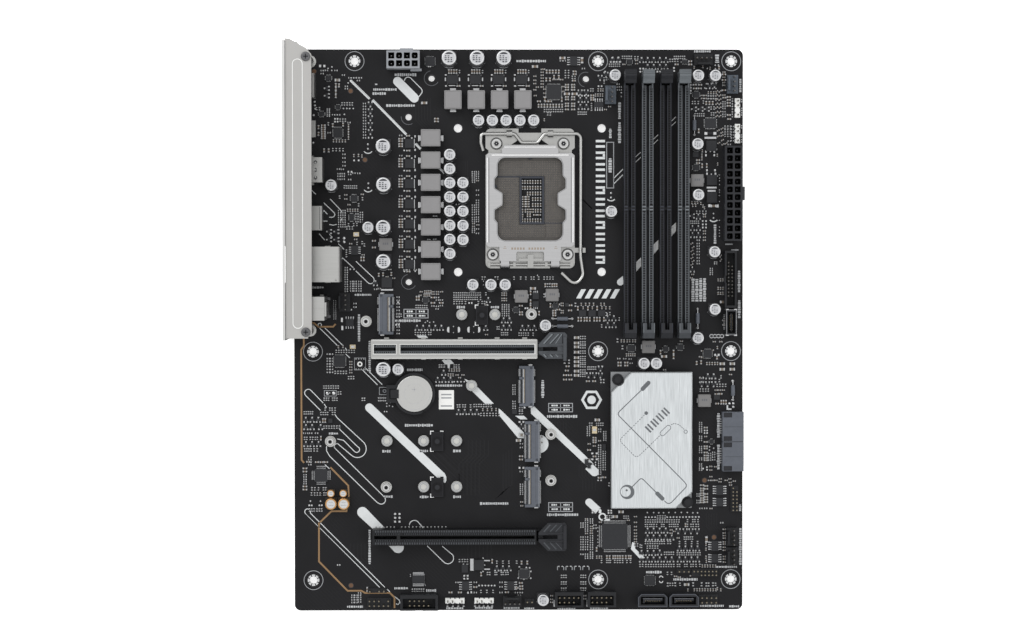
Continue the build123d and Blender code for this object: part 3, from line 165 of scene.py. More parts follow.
def solder_mask():
    """Charcoal coating with faint copper tracks showing through, and bare laminate on the edges."""
    made, tree, shader, plain = new_material("solder_mask")
    base = rgb(26, 26, 28)
    black, white = (0, 0, 0, 1), (1, 1, 1, 1)
    mottled = ramp(tree, noise(tree, plain, 45, 5), (0.3, shade(base, 0.86)), (0.7, shade(base, 1.12)))
    # tracks: a block pattern turned by 45 degrees and squeezed into thin lines
    turned = add(tree, "Mapping", {"Rotation": (0, 0, math.radians(45)), "Vector": plain})
    tracks = add(tree, "TexBrick", {
        "Scale": 70, "Mortar Size": 0.016, "Mortar Smooth": 0.3, "Brick Width": 1.9, "Row Height": 0.11,
        "Color1": white, "Color2": white, "Mortar": black, "Vector": turned.outputs["Vector"]})
    where = ramp(tree, noise(tree, plain, 26, 3), (0.5, black), (0.56, white))
    lines = add(tree, "Math", {0: tracks.outputs["Fac"], 1: where}, operation="MULTIPLY").outputs["Value"]
    tint = mix(tree, to_range(tree, lines, 0, 0.55), mottled, shade(base, 1.45))
    # the cut edges show the laminate
    normal = add(tree, "NewGeometry", {}).outputs["True Normal"]
    level = add(tree, "SeparateXYZ", {"Vector": normal}).outputs["Z"]
    flat = add(tree, "Math", {0: level}, operation="ABSOLUTE").outputs["Value"]
    feed(tree, shader, {
        "Base Color": mix(tree, flat, rgb(58, 52, 42), tint), "Specular IOR Level": 0.14,
        "Roughness": to_range(tree, noise(tree, plain, 1800, 5), 0.38, 0.52)})
    bump(tree, shader, lines, 0.00003, 0.35)
    return made


def by_height(name, level, low, high, rough=(0.5, 0.3), metallic=(0, 0.9), vary=0.06):
    """One look below a level in millimetres and another above it, each a little uneven."""
    made, tree, shader, plain = new_material(name)
    raised = above(tree, plain, level)
    slow = noise(tree, plain, 300)
    tones = [mottle(tree, slow, rgb(*tone), vary) for tone in (low, high)]
    feed(tree, shader, {
        "Base Color": mix(tree, raised, *tones), "Metallic": to_range(tree, raised, *metallic),
        "Roughness": to_range(tree, raised, *rough), "Specular IOR Level": 0.3})
    bump(tree, shader, noise(tree, plain, 2400, 6), 0.000008)
    return made


def heatsink_metal():
    """Brushed aluminium with plain streaks along Y, darker on the low corner ears."""
    made, tree, shader, plain = new_material("heatsink_brushed")
    streaks = noise(tree, stretched(tree, plain, (40, 1.2, 40)), 60, 5, 0.65)
    face = ramp(tree, streaks, (0.3, rgb(176, 180, 182)), (0.7, rgb(216, 220, 222)))
    feed(tree, shader, {
        "Base Color": mix(tree, above(tree, plain, 7), rgb(128, 130, 132), face),
        "Roughness": to_range(tree, streaks, 0.34, 0.5), "Metallic": 0.7})
    bump(tree, shader, streaks, 0.00001)
    return made


MASK = solder_mask()
BLACK = finish("black_plastic", (28, 29, 32), 0.5, 0, 0.14)
DARK = finish("dark_grey_plastic", (37, 38, 42), 0.48, 0, 0.12)
GREY = finish("grey_plastic", (68, 71, 75), 0.46, 0, 0.1)
BLUE_GREY = finish("blue_grey_plastic", (88, 92, 100), 0.42, 0, 0.08)
EPS_GREY = finish("pale_grey_plastic", (138, 141, 146), 0.4, 0, 0.07)
WHITE = finish("white_plastic", (226, 227, 225), 0.4, 0, 0.04)
NATURAL = finish("natural_plastic", (186, 186, 182), 0.32, 0, 0.06)
TONGUE_BLUE = finish("port_tongue_plastic", (40, 92, 170), 0.4, 0, 0.08)
SOCKET_PLASTIC = finish("socket_plastic", (86, 83, 80), 0.45, 0, 0.1)
COVER = finish("cover_paint", (172, 171, 169), 0.5, 0.3, 0.03, 60, 3000, 0.000012)
SHIELD = finish("shield_steel", (200, 200, 199), 0.38, 0.6, 0.04, 60, 2400, 0.000012)
STEEL = brushed("stamped_steel", (166, 166, 164), 0.34, "Y")
NICKEL = finish("nickel_plate", (182, 182, 180), 0.24, 1, 0.05, 120, 2200, 0.000006)
PLATE = brushed("load_plate_steel", (176, 176, 177), 0.36, "X", 0.000008)
PORT_STEEL = brushed("port_shell_steel", (170, 170, 168), 0.36, "X", 0.000008)
SINK = heatsink_metal()
CAN_ON_BASE = by_height("can_on_base", 2.52, (30, 30, 33), (190, 191, 194))
GOLD_CAN_ON_BASE = by_height("gold_can_on_base", 2.52, (40, 36, 30), (184, 142, 94))
LATCH_GREY = finish("latch_grey_plastic", (102, 107, 111), 0.42, 0, 0.07)
RAIL_LINE = finish("rail_bead", (112, 117, 121), 0.42, 0, 0.07)
CAN_INK = finish("can_ink", (52, 53, 58), 0.5, 0, 0.08)
FERRITE = by_height("pressed_ferrite", 6, (118, 117, 117), (134, 133, 134), (0.6, 0.62), (0, 0), 0.025)
FERRITE_DARK = finish("pressed_ferrite_dark", (112, 111, 111), 0.6, 0, 0.1, 900, 3200, 0.00004)
PAD_RUBBER = finish("thermal_rubber", (22, 22, 25), 0.7, 0, 0.14, 500, 1800, 0.00005)
GOLD = finish("gold_plate", (216, 200, 164), 0.22, 1, 0.05, 300, 2600, 0.000004)
SOLDER = finish("solder", (196, 197, 198), 0.3, 0.85, 0.08, 700, 2400, 0.00002)
TIN = finish("tinned_lead", (182, 183, 185), 0.34, 0.9, 0.08, 700, 2400, 0.00001)
EPOXY = finish("chip_epoxy", (40, 41, 44), 0.55, 0, 0.08, 600, 3200, 0.00003)
RESIN = finish("resistor_glass", (30, 30, 34), 0.3, 0, 0.1, 900)
CERAMIC = finish("capacitor_ceramic", (112, 101, 90), 0.5, 0, 0.12, 900)
CERAMIC_GREY = finish("capacitor_grey", (122, 116, 108), 0.5, 0, 0.12, 900)
BEIGE = finish("crystal_can", (196, 182, 152), 0.35, 0.5, 0.06, 600)
INK = print_ink("white_ink", (206, 209, 210), 0.05)
INK_SOFT = print_ink("grey_ink", (150, 152, 155))
INK_LABEL = print_ink("label_ink", (180, 182, 184))
INK_DARK = print_ink("dark_ink", (96, 98, 102))
COPPER = finish("bare_trace", (140, 112, 80), 0.42, 0.55, 0.08, 200, 2600, 0.000008)
COPPER_DIM = finish("test_land", (98, 72, 52), 0.45, 0.4, 0.1, 300)
STICKER = finish("sticker_paper", (228, 228, 226), 0.55, 0, 0.03, 120, 2600, 0.00001)
SINK_LINE = finish("heatsink_print", (98, 101, 104), 0.5, 0.2, 0.06)
SCREW_GREY = finish("blackened_screw", (96, 96, 98), 0.36, 0.8, 0.08, 300)
SOCKET_RIM = finish("socket_rim_plastic", (50, 53, 61), 0.45, 0, 0.08)
PLATE_MARK = finish("load_plate_mark", (150, 138, 126), 0.45, 0.8, 0.06)
TONGUE_RED = finish("port_tongue_red", (150, 40, 44), 0.4, 0, 0.08)
LAMP_GREEN = finish("lamp_green", (96, 150, 90), 0.25, 0, 0.06)
LAMP_AMBER = finish("lamp_amber", (206, 150, 60), 0.25, 0, 0.06)
JACK_PINK = finish("jack_pink", (214, 120, 142), 0.4, 0, 0.06)
JACK_GREEN = finish("jack_green", (120, 172, 96), 0.4, 0, 0.06)
JACK_BLUE = finish("jack_blue", (96, 146, 196), 0.4, 0, 0.06)
CELL_STEEL = finish("cell_steel", (184, 184, 182), 0.3, 1, 0.015, 90, 2600, 0.000002)
# a brighter copy of the white ink; on the slashes between the memory slots it is painted light that lifts
# them out of the slots' shade
INK_BRIGHT = print_ink("bright_ink", (0.95, 0.96, 0.96, 1), 0.03)
# painted shade for the grooves between the card latches' ribs
RIB_SHADE = finish("painted_latch_groove_shade", (40, 42, 46), 0.5, 0, 0.08)
FAN_BLUE = finish("fan_header_plastic", (78, 85, 94), 0.42, 0, 0.08)
# painted shade and painted highlight for the load plate's edges
PLATE_PAINTED_SHADE = finish("load_plate_painted_shade", (128, 128, 130), 0.3, 0.9, 0.05)
PLATE_PAINTED_HIGHLIGHT = finish("load_plate_painted_highlight", (232, 232, 232), 0.22, 0.9, 0.03)
BRONZE = finish("contact_bronze", (140, 132, 120), 0.4, 0.6, 0.08)
SLOT_BLACK = finish("slot_black_plastic", (20, 21, 24), 0.5, 0, 0.12)
# near-black painted shade for the insides of pockets, holes and grooves
PAINTED_DEPTH_SHADE = finish("painted_depth_shade", (10, 10, 12), 0.7, 0, 0.1)
TRACK = finish("coated_track", (34, 34, 36), 0.42, 0, 0.08, gloss=0.12)
PIN = finish("pin_plate", (134, 126, 110), 0.3, 0.9, 0.06, 300)
VIA = finish("via_ring", (70, 70, 73), 0.35, 0.3, 0.1)


def paint(name, made):
    """Gives a CAD node one material."""
    node = nodes[name]
    if node.material_slots:
        for place in node.material_slots:
            place.material = made
    else:
        node.data.materials.append(made)


CAD_LOOKS = {
    "pcb": MASK, "socket_body": SOCKET_PLASTIC, "socket_contacts": SOCKET_PLASTIC, "socket_frame": STEEL,
    "load_plate": PLATE, "load_lever": NICKEL, "socket_screws": NICKEL, "socket_backplate": STEEL,
    "pcie_slot_1": GREY, "pcie_slot_2": SLOT_BLACK, "pcie_latch_1": GREY, "pcie_latch_2": DARK,
    "pcie_shield": PORT_STEEL, "m2_socket_1": BLUE_GREY, "m2_socket_2": BLUE_GREY,
    "m2_socket_3": BLUE_GREY, "m2_socket_wireless": BLUE_GREY, "m2_standoffs": NICKEL,
    "m2_stops": NATURAL, "m2_pads": PAD_RUBBER, "battery_holder": BLACK, "battery": CELL_STEEL,
    "battery_clip": BLACK, "chipset": EPOXY, "chipset_heatsink": SINK, "heatsink_pins": BLACK,
    "usb_ports": PORT_STEEL, "display_ports": PORT_STEEL, "network_port": PORT_STEEL,
    "audio_jacks": PORT_STEEL, "io_shield": SHIELD, "io_cover": COVER, "io_posts": NICKEL,
    "io_screws": SCREW_GREY, "atx_power_socket": DARK, "cpu_power_socket": EPS_GREY,
    "usb3_header": BLACK, "usb_c_header": DARK, "sata_edge_ports": BLUE_GREY,
    "sata_top_ports": DARK, "box_headers": BLACK, "fan_headers": BLACK, "rgb_headers": WHITE,
    "header_pins": PIN, "capacitors_large": CAN_ON_BASE, "capacitors_small": CAN_ON_BASE,
    "audio_capacitors": GOLD_CAN_ON_BASE,
    "chokes": FERRITE, "power_stages": EPOXY, "chips": EPOXY,
}
for number in range(1, 5):
    CAD_LOOKS[f"dimm_slot_{number}"] = DARK if number % 2 else GREY
    CAD_LOOKS[f"dimm_latch_{number}"] = DARK if number % 2 else LATCH_GREY
for name, made in CAD_LOOKS.items():
    paint(name, made)


# ---------------------------------------------------------------- mesh helpers

class Pile:
    """Gathers small closed solids, given in millimetres, into one piece."""

    def __init__(self):
        self.points = []
        self.faces = []
        self.looks = []
        self.materials = []

    def look(self, made):
        if made not in self.materials:
            self.materials.append(made)
        return self.materials.index(made)

    def solid(self, points, faces, made):
        start = len(self.points)
        self.points += points
        self.faces += [[start + i for i in face] for face in faces]
        self.looks += [self.look(made)] * len(faces)

    def rings(self, rings, made):
        """A closed solid through equal-length rings of points, each anticlockwise seen from its far end."""
        count = len(rings[0])
        points = [p for ring in rings for p in ring]
        faces = [list(range(count))[::-1]]
        for level in range(len(rings) - 1):
            low = level * count
            for i in range(count):
                j = (i + 1) % count
                faces.append([low + i, low + j, low + count + j, low + count + i])
        faces.append([(len(rings) - 1) * count + i for i in range(count)])
        self.solid(points, faces, made)

    def prism(self, outline, low, high, made, inset=0):
        """An upright solid on an anticlockwise outline; inset bevels its top edge."""
        levels = [[(x, y, low) for x, y in outline]]
        if inset:
            cx = sum(x for x, y in outline) / len(outline)
            cy = sum(y for x, y in outline) / len(outline)
            far = max(max(abs(x - cx), abs(y - cy)) for x, y in outline)
            keep = 1 - inset / far
            levels.append([(x, y, high - inset) for x, y in outline])
            levels.append([(cx + (x - cx) * keep, cy + (y - cy) * keep, high) for x, y in outline])
        else:
            levels.append([(x, y, high) for x, y in outline])
        self.rings(levels, made)

    def block(self, x, y, size_x, size_y, low, high, made, bevel=0.05, turn=0):
        """A box with a bevelled top, turned in degrees about its own centre."""
        c, s = math.cos(math.radians(turn)), math.sin(math.radians(turn))
        levels = []
        steps = [(0, low), (0, high - bevel), (bevel, high)] if bevel else [(0, low), (0, high)]
        for inset, z in steps:
            a, b = size_x / 2 - inset, size_y / 2 - inset
            corners = [(-a, -b), (a, -b), (a, b), (-a, b)]
            levels.append([(x + c * p - s * q, y + s * p + c * q, z) for p, q in corners])
        self.rings(levels, made)

    def disc(self, x, y, radius, low, high, made, sides=24, bevel=0):
        outline = [(x + radius * math.cos(2 * math.pi * i / sides),
            y + radius * math.sin(2 * math.pi * i / sides)) for i in range(sides)]
        self.prism(outline, low, high, made, bevel)

    def dome(self, x, y, radius, base, height, made, sides=10, steps=3):
        """A rounded heap; a negative height hangs below its base."""
        levels = []
        for step in range(steps + 1):
            a = math.pi / 2 * step / steps
            r = max(radius * math.cos(a), radius * 0.08)
            ring = [(x + r * math.cos(2 * math.pi * i / sides), y + r * math.sin(2 * math.pi * i / sides),
                     base + height * math.sin(a)) for i in range(sides)]
            levels.append(ring if height > 0 else ring[::-1])
        self.rings(levels, made)

    def band(self, x, y, radius, width, low, high, made, start=0, end=360, sides=48):
        """A flat ring, or an arc of one between two angles in degrees."""
        whole = abs(end - start) >= 360
        count = max(3, int(sides * abs(end - start) / 360))
        angles = [math.radians(start + (end - start) * i / count) for i in range(count + (not whole))]
        sections = [[(x + r * math.cos(a), y + r * math.sin(a), z)
                     for r, z in ((radius - width / 2, low), (radius + width / 2, low),
                                  (radius + width / 2, high), (radius - width / 2, high))] for a in angles]
        self.loft(sections, made, whole)

    def loft(self, sections, made, closed=False):
        """Joins four-sided or many-sided sections in order, capping the ends unless closed."""
        count = len(sections[0])
        points = [p for section in sections for p in section]
        faces = []
        spans = len(sections) if closed else len(sections) - 1
        for k in range(spans):
            a, b = k * count, ((k + 1) % len(sections)) * count
            for i in range(count):
                j = (i + 1) % count
                faces.append([a + i, b + i, b + j, a + j])
        if not closed:
            faces.append(list(range(count)))
            faces.append([(len(sections) - 1) * count + i for i in range(count)][::-1])
        self.solid(points, faces, made)

    def ribbon(self, route, width, made, low=SUNK, high=INK_TOP, closed=False):
        """A flat line of constant width with mitred corners."""
        count = len(route)
        sections = []
        for i, (x, y) in enumerate(route):
            before = route[i - 1] if (closed or i > 0) else None
            after = route[(i + 1) % count] if (closed or i < count - 1) else None
            ways = []
            if before:
                ways.append(unit(x - before[0], y - before[1]))
            if after:
                ways.append(unit(after[0] - x, after[1] - y))
            tx = sum(w[0] for w in ways)
            ty = sum(w[1] for w in ways)
            tx, ty = unit(tx, ty)
            nx, ny = -ty, tx
            reach = width / 2 / max(0.35, abs(ways[0][0] * tx + ways[0][1] * ty))
            sections.append([(x - nx * reach, y - ny * reach, low), (x - nx * reach, y - ny * reach, high),
                             (x + nx * reach, y + ny * reach, high), (x + nx * reach, y + ny * reach, low)])
        self.loft(sections, made, closed)

    def tube(self, route, radius, made, sides=8):
        """A round wire through three-dimensional points."""
        sections = []
        for i, p in enumerate(route):
            a = Vector(route[max(0, i - 1)])
            b = Vector(route[min(len(route) - 1, i + 1)])
            way = (b - a).normalized()
            side = way.cross(Vector((0, 0, 1)))
            if side.length < 0.01:
                side = way.cross(Vector((0, 1, 0)))
            side.normalize()
            up = side.cross(way)
            sections.append([tuple(Vector(p) + radius * (math.cos(t) * side + math.sin(t) * up))
                             for t in [2 * math.pi * k / sides for k in range(sides)]])
        self.loft(sections, made)

    def make(self, name, body="board", smooth_angle=None):
        """Turns the pile into one Blender piece that rides on a body."""
        mesh = bpy.data.meshes.new(name)
        mesh.from_pydata([(x * MM, y * MM, z * MM) for x, y, z in self.points], [], self.faces)
        for made in self.materials:
            mesh.materials.append(made)
        mesh.polygons.foreach_set("material_index", self.looks)
        mesh.update()
        if smooth_angle:
            mesh.shade_smooth()
            mesh.set_sharp_from_angle(angle=math.radians(smooth_angle))
        piece = bpy.data.objects.new(name, mesh)
        bpy.context.scene.collection.objects.link(piece)
        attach(piece, body)
        return piece


def unit(x, y):
    size = math.hypot(x, y) or 1
    return x / size, y / size


def arc(x, y, radius, start, end, count=10):
    """Points on an arc, angles in degrees."""
    return [(x + radius * math.cos(math.radians(start + (end - start) * i / count)),
        y + radius * math.sin(math.radians(start + (end - start) * i / count))) for i in range(count + 1)]


def row(start, step, count):
    return [(start[0] + step[0] * i, start[1] + step[1] * i) for i in range(count)]


# ---------------------------------------------------------------- small surface parts

# length, width, height and look of each kind of two-terminal chip
SIZES = { "r": (1.6, 0.8, 0.45, RESIN), "s": (1.15, 0.6, 0.38, RESIN), "c": (1.7, 0.9, 0.8, CERAMIC),
    "k": (1.15, 0.62, 0.55, CERAMIC), "g": (1.7, 0.85, 0.7, CERAMIC_GREY),
    "h": (1.15, 0.6, 0.5, CERAMIC_GREY), "w": (3, 1.4, 1.2, CERAMIC), "m": (2.1, 0.85, 0.9, CERAMIC),
    "v": (2.6, 1.5, 1.3, CERAMIC_GREY), }
smd = Pile()


def line(x0, y0, x1, y1, count):
    """Evenly spaced places from one end to the other."""
    return [(x0 + (x1 - x0) * i / max(1, count - 1),
        y0 + (y1 - y0) * i / max(1, count - 1)) for i in range(count)]


def across(y, x0, x1, count):
    return line(x0, y, x1, y, count)


def down(x, y0, y1, count):
    return line(x, y0, x, y1, count)


def at_y(y, *places):
    return [(x, y) for x in places]


def at_x(x, *places):
    return [(x, y) for y in places]


def pitched(x, y, count):
    """Transistors side by side."""
    return [(x + 3.3 * i, y) for i in range(count)]


def spread(items):
    """Single places and lists of places, as one list."""
    return [place for item in items for place in (item if isinstance(item, list) else [item])]


def turned(x, y, u, v, turn):
    c, s = math.cos(math.radians(turn)), math.sin(math.radians(turn))
    return x + c * u - s * v, y + s * u + c * v


def wedge(x, y, size_x, size_y, low, high, inset, made, turn=0):
    """A heap of solder with sloping sides."""
    levels = []
    for step, z in ((0, low), (inset * 0.75, low + (high - low) * 0.35), (inset, high)):
        a, b = size_x / 2 - step, size_y / 2 - step
        levels.append([turned(x, y, p, q, turn) + (z,) for p, q in ((-a, -b), (a, -b), (a, b), (-a, b))])
    smd.rings(levels, made)


def part(kind, turn, *items):
    """Two-terminal chips: a body, metal ends and sloping solder on the lands."""
    long, wide, tall, look = SIZES[kind]
    end = long * 0.24
    for x, y in spread(items):
        smd.block(x, y, long - end * 2, wide * 0.94, BOARD + 0.04, BOARD + tall * 0.95, look, 0.04, turn)
        for way in SIDES:
            u, v = turned(x, y, way * (long - end) / 2, 0, turn)
            smd.block(u, v, end, wide, BOARD + 0.03, BOARD + tall, TIN, 0.06, turn)
            u, v = turned(x, y, way * (long / 2 + 0.04), 0, turn)
            wedge(u, v, 0.56, wide + 0.24, BOARD - 0.01, BOARD + tall * 0.62, 0.2, SOLDER, turn)


def lands(size_x, size_y, *items, made=SOLDER):
    for x, y in spread(items):
        wedge(x, y, size_x, size_y, BOARD - 0.01, BOARD + 0.16, 0.14, made)


def dots(radius, *items):
    """Round solder joints on ringed lands."""
    for x, y in spread(items):
        smd.disc(x, y, radius + 0.12, BOARD - 0.01, BOARD + 0.035, VIA, 14)
        smd.dome(x, y, radius, BOARD + 0.02, 0.3, SOLDER, 12)


def sot(turn, *items):
    """Small transistors with one lead above and two below."""
    for x, y in spread(items):
        smd.block(x, y, 2.7, 1.3, BOARD + 0.08, BOARD + 1, EPOXY, 0.14, turn)
        for u, v in ((0, 1.15), (-0.95, -1.15), (0.95, -1.15)):
            way = 1 if v > 0 else -1
            p, q = turned(x, y, u, v - way * 0.32, turn)
            smd.block(p, q, 0.42, 0.5, BOARD + 0.1, BOARD + 0.5, TIN, 0.05, turn)
            p, q = turned(x, y, u, v, turn)
            wedge(p, q, 0.86, 0.95, BOARD - 0.01, BOARD + 0.28, 0.22, SOLDER, turn)


def low_box(x, y, size_x, size_y, tall, made, bevel):
    """A part or metal tab that stands on the board."""
    smd.block(x, y, size_x, size_y, BOARD, BOARD + tall, made, bevel)


def leads(x, y, count, pitch, turn, reach=1, width=0.4, tall=0.75):
    """A row of bent leads that step down from a body edge; turn is the way they point, from +X."""
    for i in range(count):
        v = (i - (count - 1) / 2) * pitch
        sections = []
        for u, z in ((-0.15, tall), (reach * 0.3, tall), (reach * 0.5, 0.16), (reach, 0.1)):
            a, b = turned(x, y, u, v - width / 2, turn), turned(x, y, u, v + width / 2, turn)
            sections.append([a + (BOARD + z,), b + (BOARD + z,), b + (BOARD + z + 0.13,),
                a + (BOARD + z + 0.13,)])
        smd.loft(sections, TIN)
        p, q = turned(x, y, reach * 0.85, v, turn)
        wedge(p, q, reach * 0.7, width + 0.12, BOARD - 0.01, BOARD + 0.17, 0.09, SOLDER, turn)


def two_rows(x, y, half, turn, *lead):
    """The leads on two opposite sides of a chip."""
    for way, side in ((1, turn), (-1, turn + 180 if turn == 0 else -turn)):
        u, v = (way * half, 0) if turn == 0 else (0, way * half)
        leads(x + u, y + v, *lead[:2], side, *lead[2:])


def ring_of_lands(x, y, half_x, half_y, pitch=0.65, size=0.75):
    """Solder feet along the four sides of a leadless chip."""
    for way in SIDES:
        many = max(2, int((2 * half_x - 0.6) / pitch))
        for i in range(many):
            wedge(x + (i - (many - 1) / 2) * pitch, y + way * (half_y + 0.1), pitch * 0.55, size,
                  BOARD - 0.01, BOARD + 0.2, 0.1, SOLDER)
        many = max(2, int((2 * half_y - 0.6) / pitch))
        for i in range(many):
            wedge(x + way * (half_x + 0.1), y + (i - (many - 1) / 2) * pitch, size, pitch * 0.55,
                  BOARD - 0.01, BOARD + 0.2, 0.1, SOLDER)


# left edge, bottom to top
lands(0.9, 0.9, at_y(40.8, -2.3, -0.9, 3.3, 4.6))
dots(0.45, at_y(43.1, -1.6, 3.9), at_y(8.3, 13.1, 14.3))
part("s", 90, across(38.3, -2.1, 0.4, 3), across(38.3, 1.9, 4.5, 3))
part("s", 0, [(x, y) for y in (-8.3, -9.5, -10.8, -12.2) for x in (21.4, 23)], down(25, -7, -12, 5))
part("m", 90, (29.2, -5))
part("s", 90, across(91.2, -4.8, -0.4, 5))
sot(0, at_y(87.4, -4, -0.6, 2.8), at_y(83.4, -4, -0.6, 4), at_y(74.2, -4, -0.6, 2.9))
part("s", 0, at_y(80.1, -4.7, -3.6, -1.4, 1.8))
part("s", 90, at_y(77.3, -4.7, -3.5, -1.6, -0.3, 1.2, 2.3))
part("m", 90, (4.2, 77.4))
part("s", 90, across(71, -4.6, -1.2, 4), at_y(71, 0.5, 2.2), across(105.2, 5.8, 13.6, 7))
dots(0.9, at_y(101.8, 7.8, 11.2))
part("s", 90, (13.6, 101.9), (14.9, 102), at_y(98.5, 26.7, 27.9), at_y(98.6, 6, 7.2, 8.4, 10.6, 11.7, 12.9),
    at_y(93.2, 6.5, 9, 10.3, 11.9), at_y(90.8, 4.2, 5.5, 6.7, 7.8, 10.5, 11.8))
part("m", 90, at_y(87, 5.3, 6.6))
part("s", 90, across(83.4, 5.8, 14.2, 7))
part("c", 0, (-2.7, 64.6), at_y(64.4, 2, 4.6, 7))
part("m", 0, at_x(-4.5, 61, 59.3, 51.2, 49.5))
part("s", 0, at_x(-4.5, 57.5, 56.3, 55, 53.8, 52.6), down(-1.9, 67, 63, 4))
part("s", 90, at_y(49.8, -0.8, 0.8, 2.8, 5.5, 6.7), at_y(47, -1, 0.7, 2.2, 3.7, 5.8, 6.9))
part("r", 90, across(98.5, 35.7, 41.6, 6))
dots(0.42, (40, 96.3), (42, 96.8), (40, 94.7), (41.4, 95), (43.2, 94.6), at_y(91.8, 38.8, 40))
lands(0.5, 0.5, down(11.3, 152, 142.2, 10), down(12.4, 152, 142.2, 10), made=TIN)
part("s", 0, down(18.1, 170, 157.2, 11), down(21, 162.5, 157.4, 5), down(22.9, 162.5, 157.4, 5),
    down(25.5, 162.5, 157.4, 5))
dots(0.5, at_y(169.2, 20.3, 22.3), (20.8, 147.2))
sot(0, (34, 161.6))
part("s", 0, (34, 158.3), (36, 158.6), at_x(22.8, 150.6, 148.6), (8.4, 102))
part("c", 90, (38.1, 166.4), (42.6, 166.6), (35.8, 166.2))
part("k", 0, (40.3, 165.1), (43.9, 164.3), (41.8, 169))
two_rows(20, 140.2, 2, 90, 4, 1.3, 1.1)
lands(1.1, 2.4, (15.7, 141.7), (15.9, 137.3))
part("s", 0, down(46.2, 154, 134.2, 12))
lands(1, 1, at_y(139, 45.2, 46.6), (46.2, 151.2))
part("k", 90, (13.8, 127.1), (16.3, 127.2))
part("s", 90, across(124.6, 12.6, 22.4, 8))
part("s", 0, [(x, y) for y in (123.1, 120.7, 119.3, 117.8, 116.4, 114.8, 113.2) for x in (8.3, 10)])
ring_of_lands(14.5, 119.3, 3.1, 3.2)
part("s", 90, across(113.2, 12, 18, 5), across(110.3, 19.3, 22, 3))
part("k", 0, down(20.5, 119, 113, 5))
dots(0.75, at_x(1.6, 227, 219), at_x(17, 186, 184))
part("c", 90, at_y(233.6, 6.3, 8.8))
part("s", 90, across(234, 11, 16.5, 4))
part("s", 0, at_x(17, 231.5, 229.5, 227.3, 225.3), (14, 223.5), (16.1, 223.4))
part("k", 90, (24.9, 230.9), (22.4, 230.8), (26.8, 230.6))
lands(0.9, 1, at_y(228.2, 22.5, 25), at_y(222, 19.4, 21.1))
part("s", 0, (20.1, 220.6), (22.4, 221.3), (25, 221.2), (20.1, 217.8), [(x, y) for y in (221, 219.6, 218)
    for x in (14.3, 16.6)])
part("s", 90, across(213.8, 18.3, 23.8, 6), (17.2, 213.9))
part("k", 0, (18, 209.5), (26.9, 209.8), (19.7, 204.2), (18, 207.3))
part("s", 90, (27, 207.4), (14.6, 208.3), (24.9, 204.1))
part("k", 90, across(201.2, 19, 24.4, 5))
part("s", 0, down(24, 199.2, 195, 4), down(26.4, 200, 194.8, 5), down(14.6, 201, 192.2, 8),
    down(17, 201, 192.2, 8))
part("s", 90, (19.4, 193.3), (22.2, 193.4), (24, 193.5), across(191.6, 18.5, 21.5, 3))
part("k", 0, (23.3, 185.4), (20.6, 183), (27.3, 177))
part("s", 90, (26.8, 183.6), (28, 182.4), (24, 183.2), down(18.2, 179, 176.6, 2))
part("m", 90, at_y(174.8, 26.3, 27.7))
sot(90, at_y(189.6, 8.8, 12.8), at_y(185.2, 8.8, 12.8))
part("c", 0, at_x(33.2, 184.6, 181))
ring_of_lands(22.5, 207.6, 1.9, 1.9)
ring_of_lands(21.1, 197.3, 1.3, 2)
leads(20.8, 179.5, 4, 1.1, 180, 1)
leads(24.8, 179.5, 4, 1.1, 0, 1)

# top left corner
ring_of_lands(8.8, 272.7, 1.5, 1.5, 0.6)
lands(1.2, 1.4, at_y(279.3, 4.2, 6.5))
part("s", 0, at_x(5.3, 276.8, 275.2), (7.6, 276.9), (24.9, 271.4), (12.8, 276.9))
dots(0.42, (8.5, 278), (10.6, 278.8), (10.5, 276.9), (19.4, 270.1))
part("v", 0, (13.6, 271.6))
part("s", 0, across(272.9, 20.3, 26, 5), at_x(18.4, 268.3, 267), (16.8, 274.4))
part("g", 90, down(12.7, 269, 263, 4), (14.4, 268.8))
sot(90, at_x(7.8, 267.2, 263.2))
ring_of_lands(13.8, 257, 1.3, 1.3, 0.5, 0.5)
low_box(13.8, 257, 2.4, 2.4, 0.8, EPOXY, 0.1)
part("s", 90, across(258.8, 16, 21.6, 5))
dots(0.45, at_y(256.3, 16.8, 18.6, 20.2, 22.1), (17.3, 253.1))
part("s", 0, down(8.6, 256, 252.2, 5), across(252.9, 11.4, 14.2, 3))
ring_of_lands(5, 253.3, 1.6, 1.3, 0.6)
low_box(5, 253.3, 3, 2.6, 0.9, EPOXY, 0.1)
lands(0.9, 0.9, at_y(250.7, 12.2, 13.6), at_y(249.2, 12.2, 13.6))
part("s", 90, across(250, 15, 17.8, 3), (8.6, 248))
part("s", 0, (19.8, 248.7), (9, 243.2))
ring_of_lands(13.8, 243.2, 2.5, 2.75, 0.62)
part("m", 0, down(5.9, 247.2, 240.2, 7))
part("k", 90, down(19.5, 247.2, 240.2, 6))
part("c", 90, at_x(3.3, 246.2, 242.6), (11, 247.2), (16.6, 247.6))
part("k", 90, across(238.8, 11.4, 17.8, 5))
part("s", 0, down(28.2, 259, 240.4, 13))
sot(180, [(31.35, 258.5 - 3.75 * i) for i in range(5)])
lands(0.8, 1, at_y(240.5, 30.4, 32.3))
dots(0.55, at_x(162, 210.5, 208), at_x(30, 236.9, 234.5), at_x(30.2, 215.8, 213.3), (1.2, 260), (1.3, 258),
    (1.5, 256.2), (0.6, 252.7), (0.4, 237.8))
part("s", 90, across(256.2, 2.2, 3.8, 2))
ring_of_lands(63.8, 281.8, 2.65, 2.5, 0.6, 0.5)
lands(0.7, 0.7, at_y(279, 62.9, 63.9))

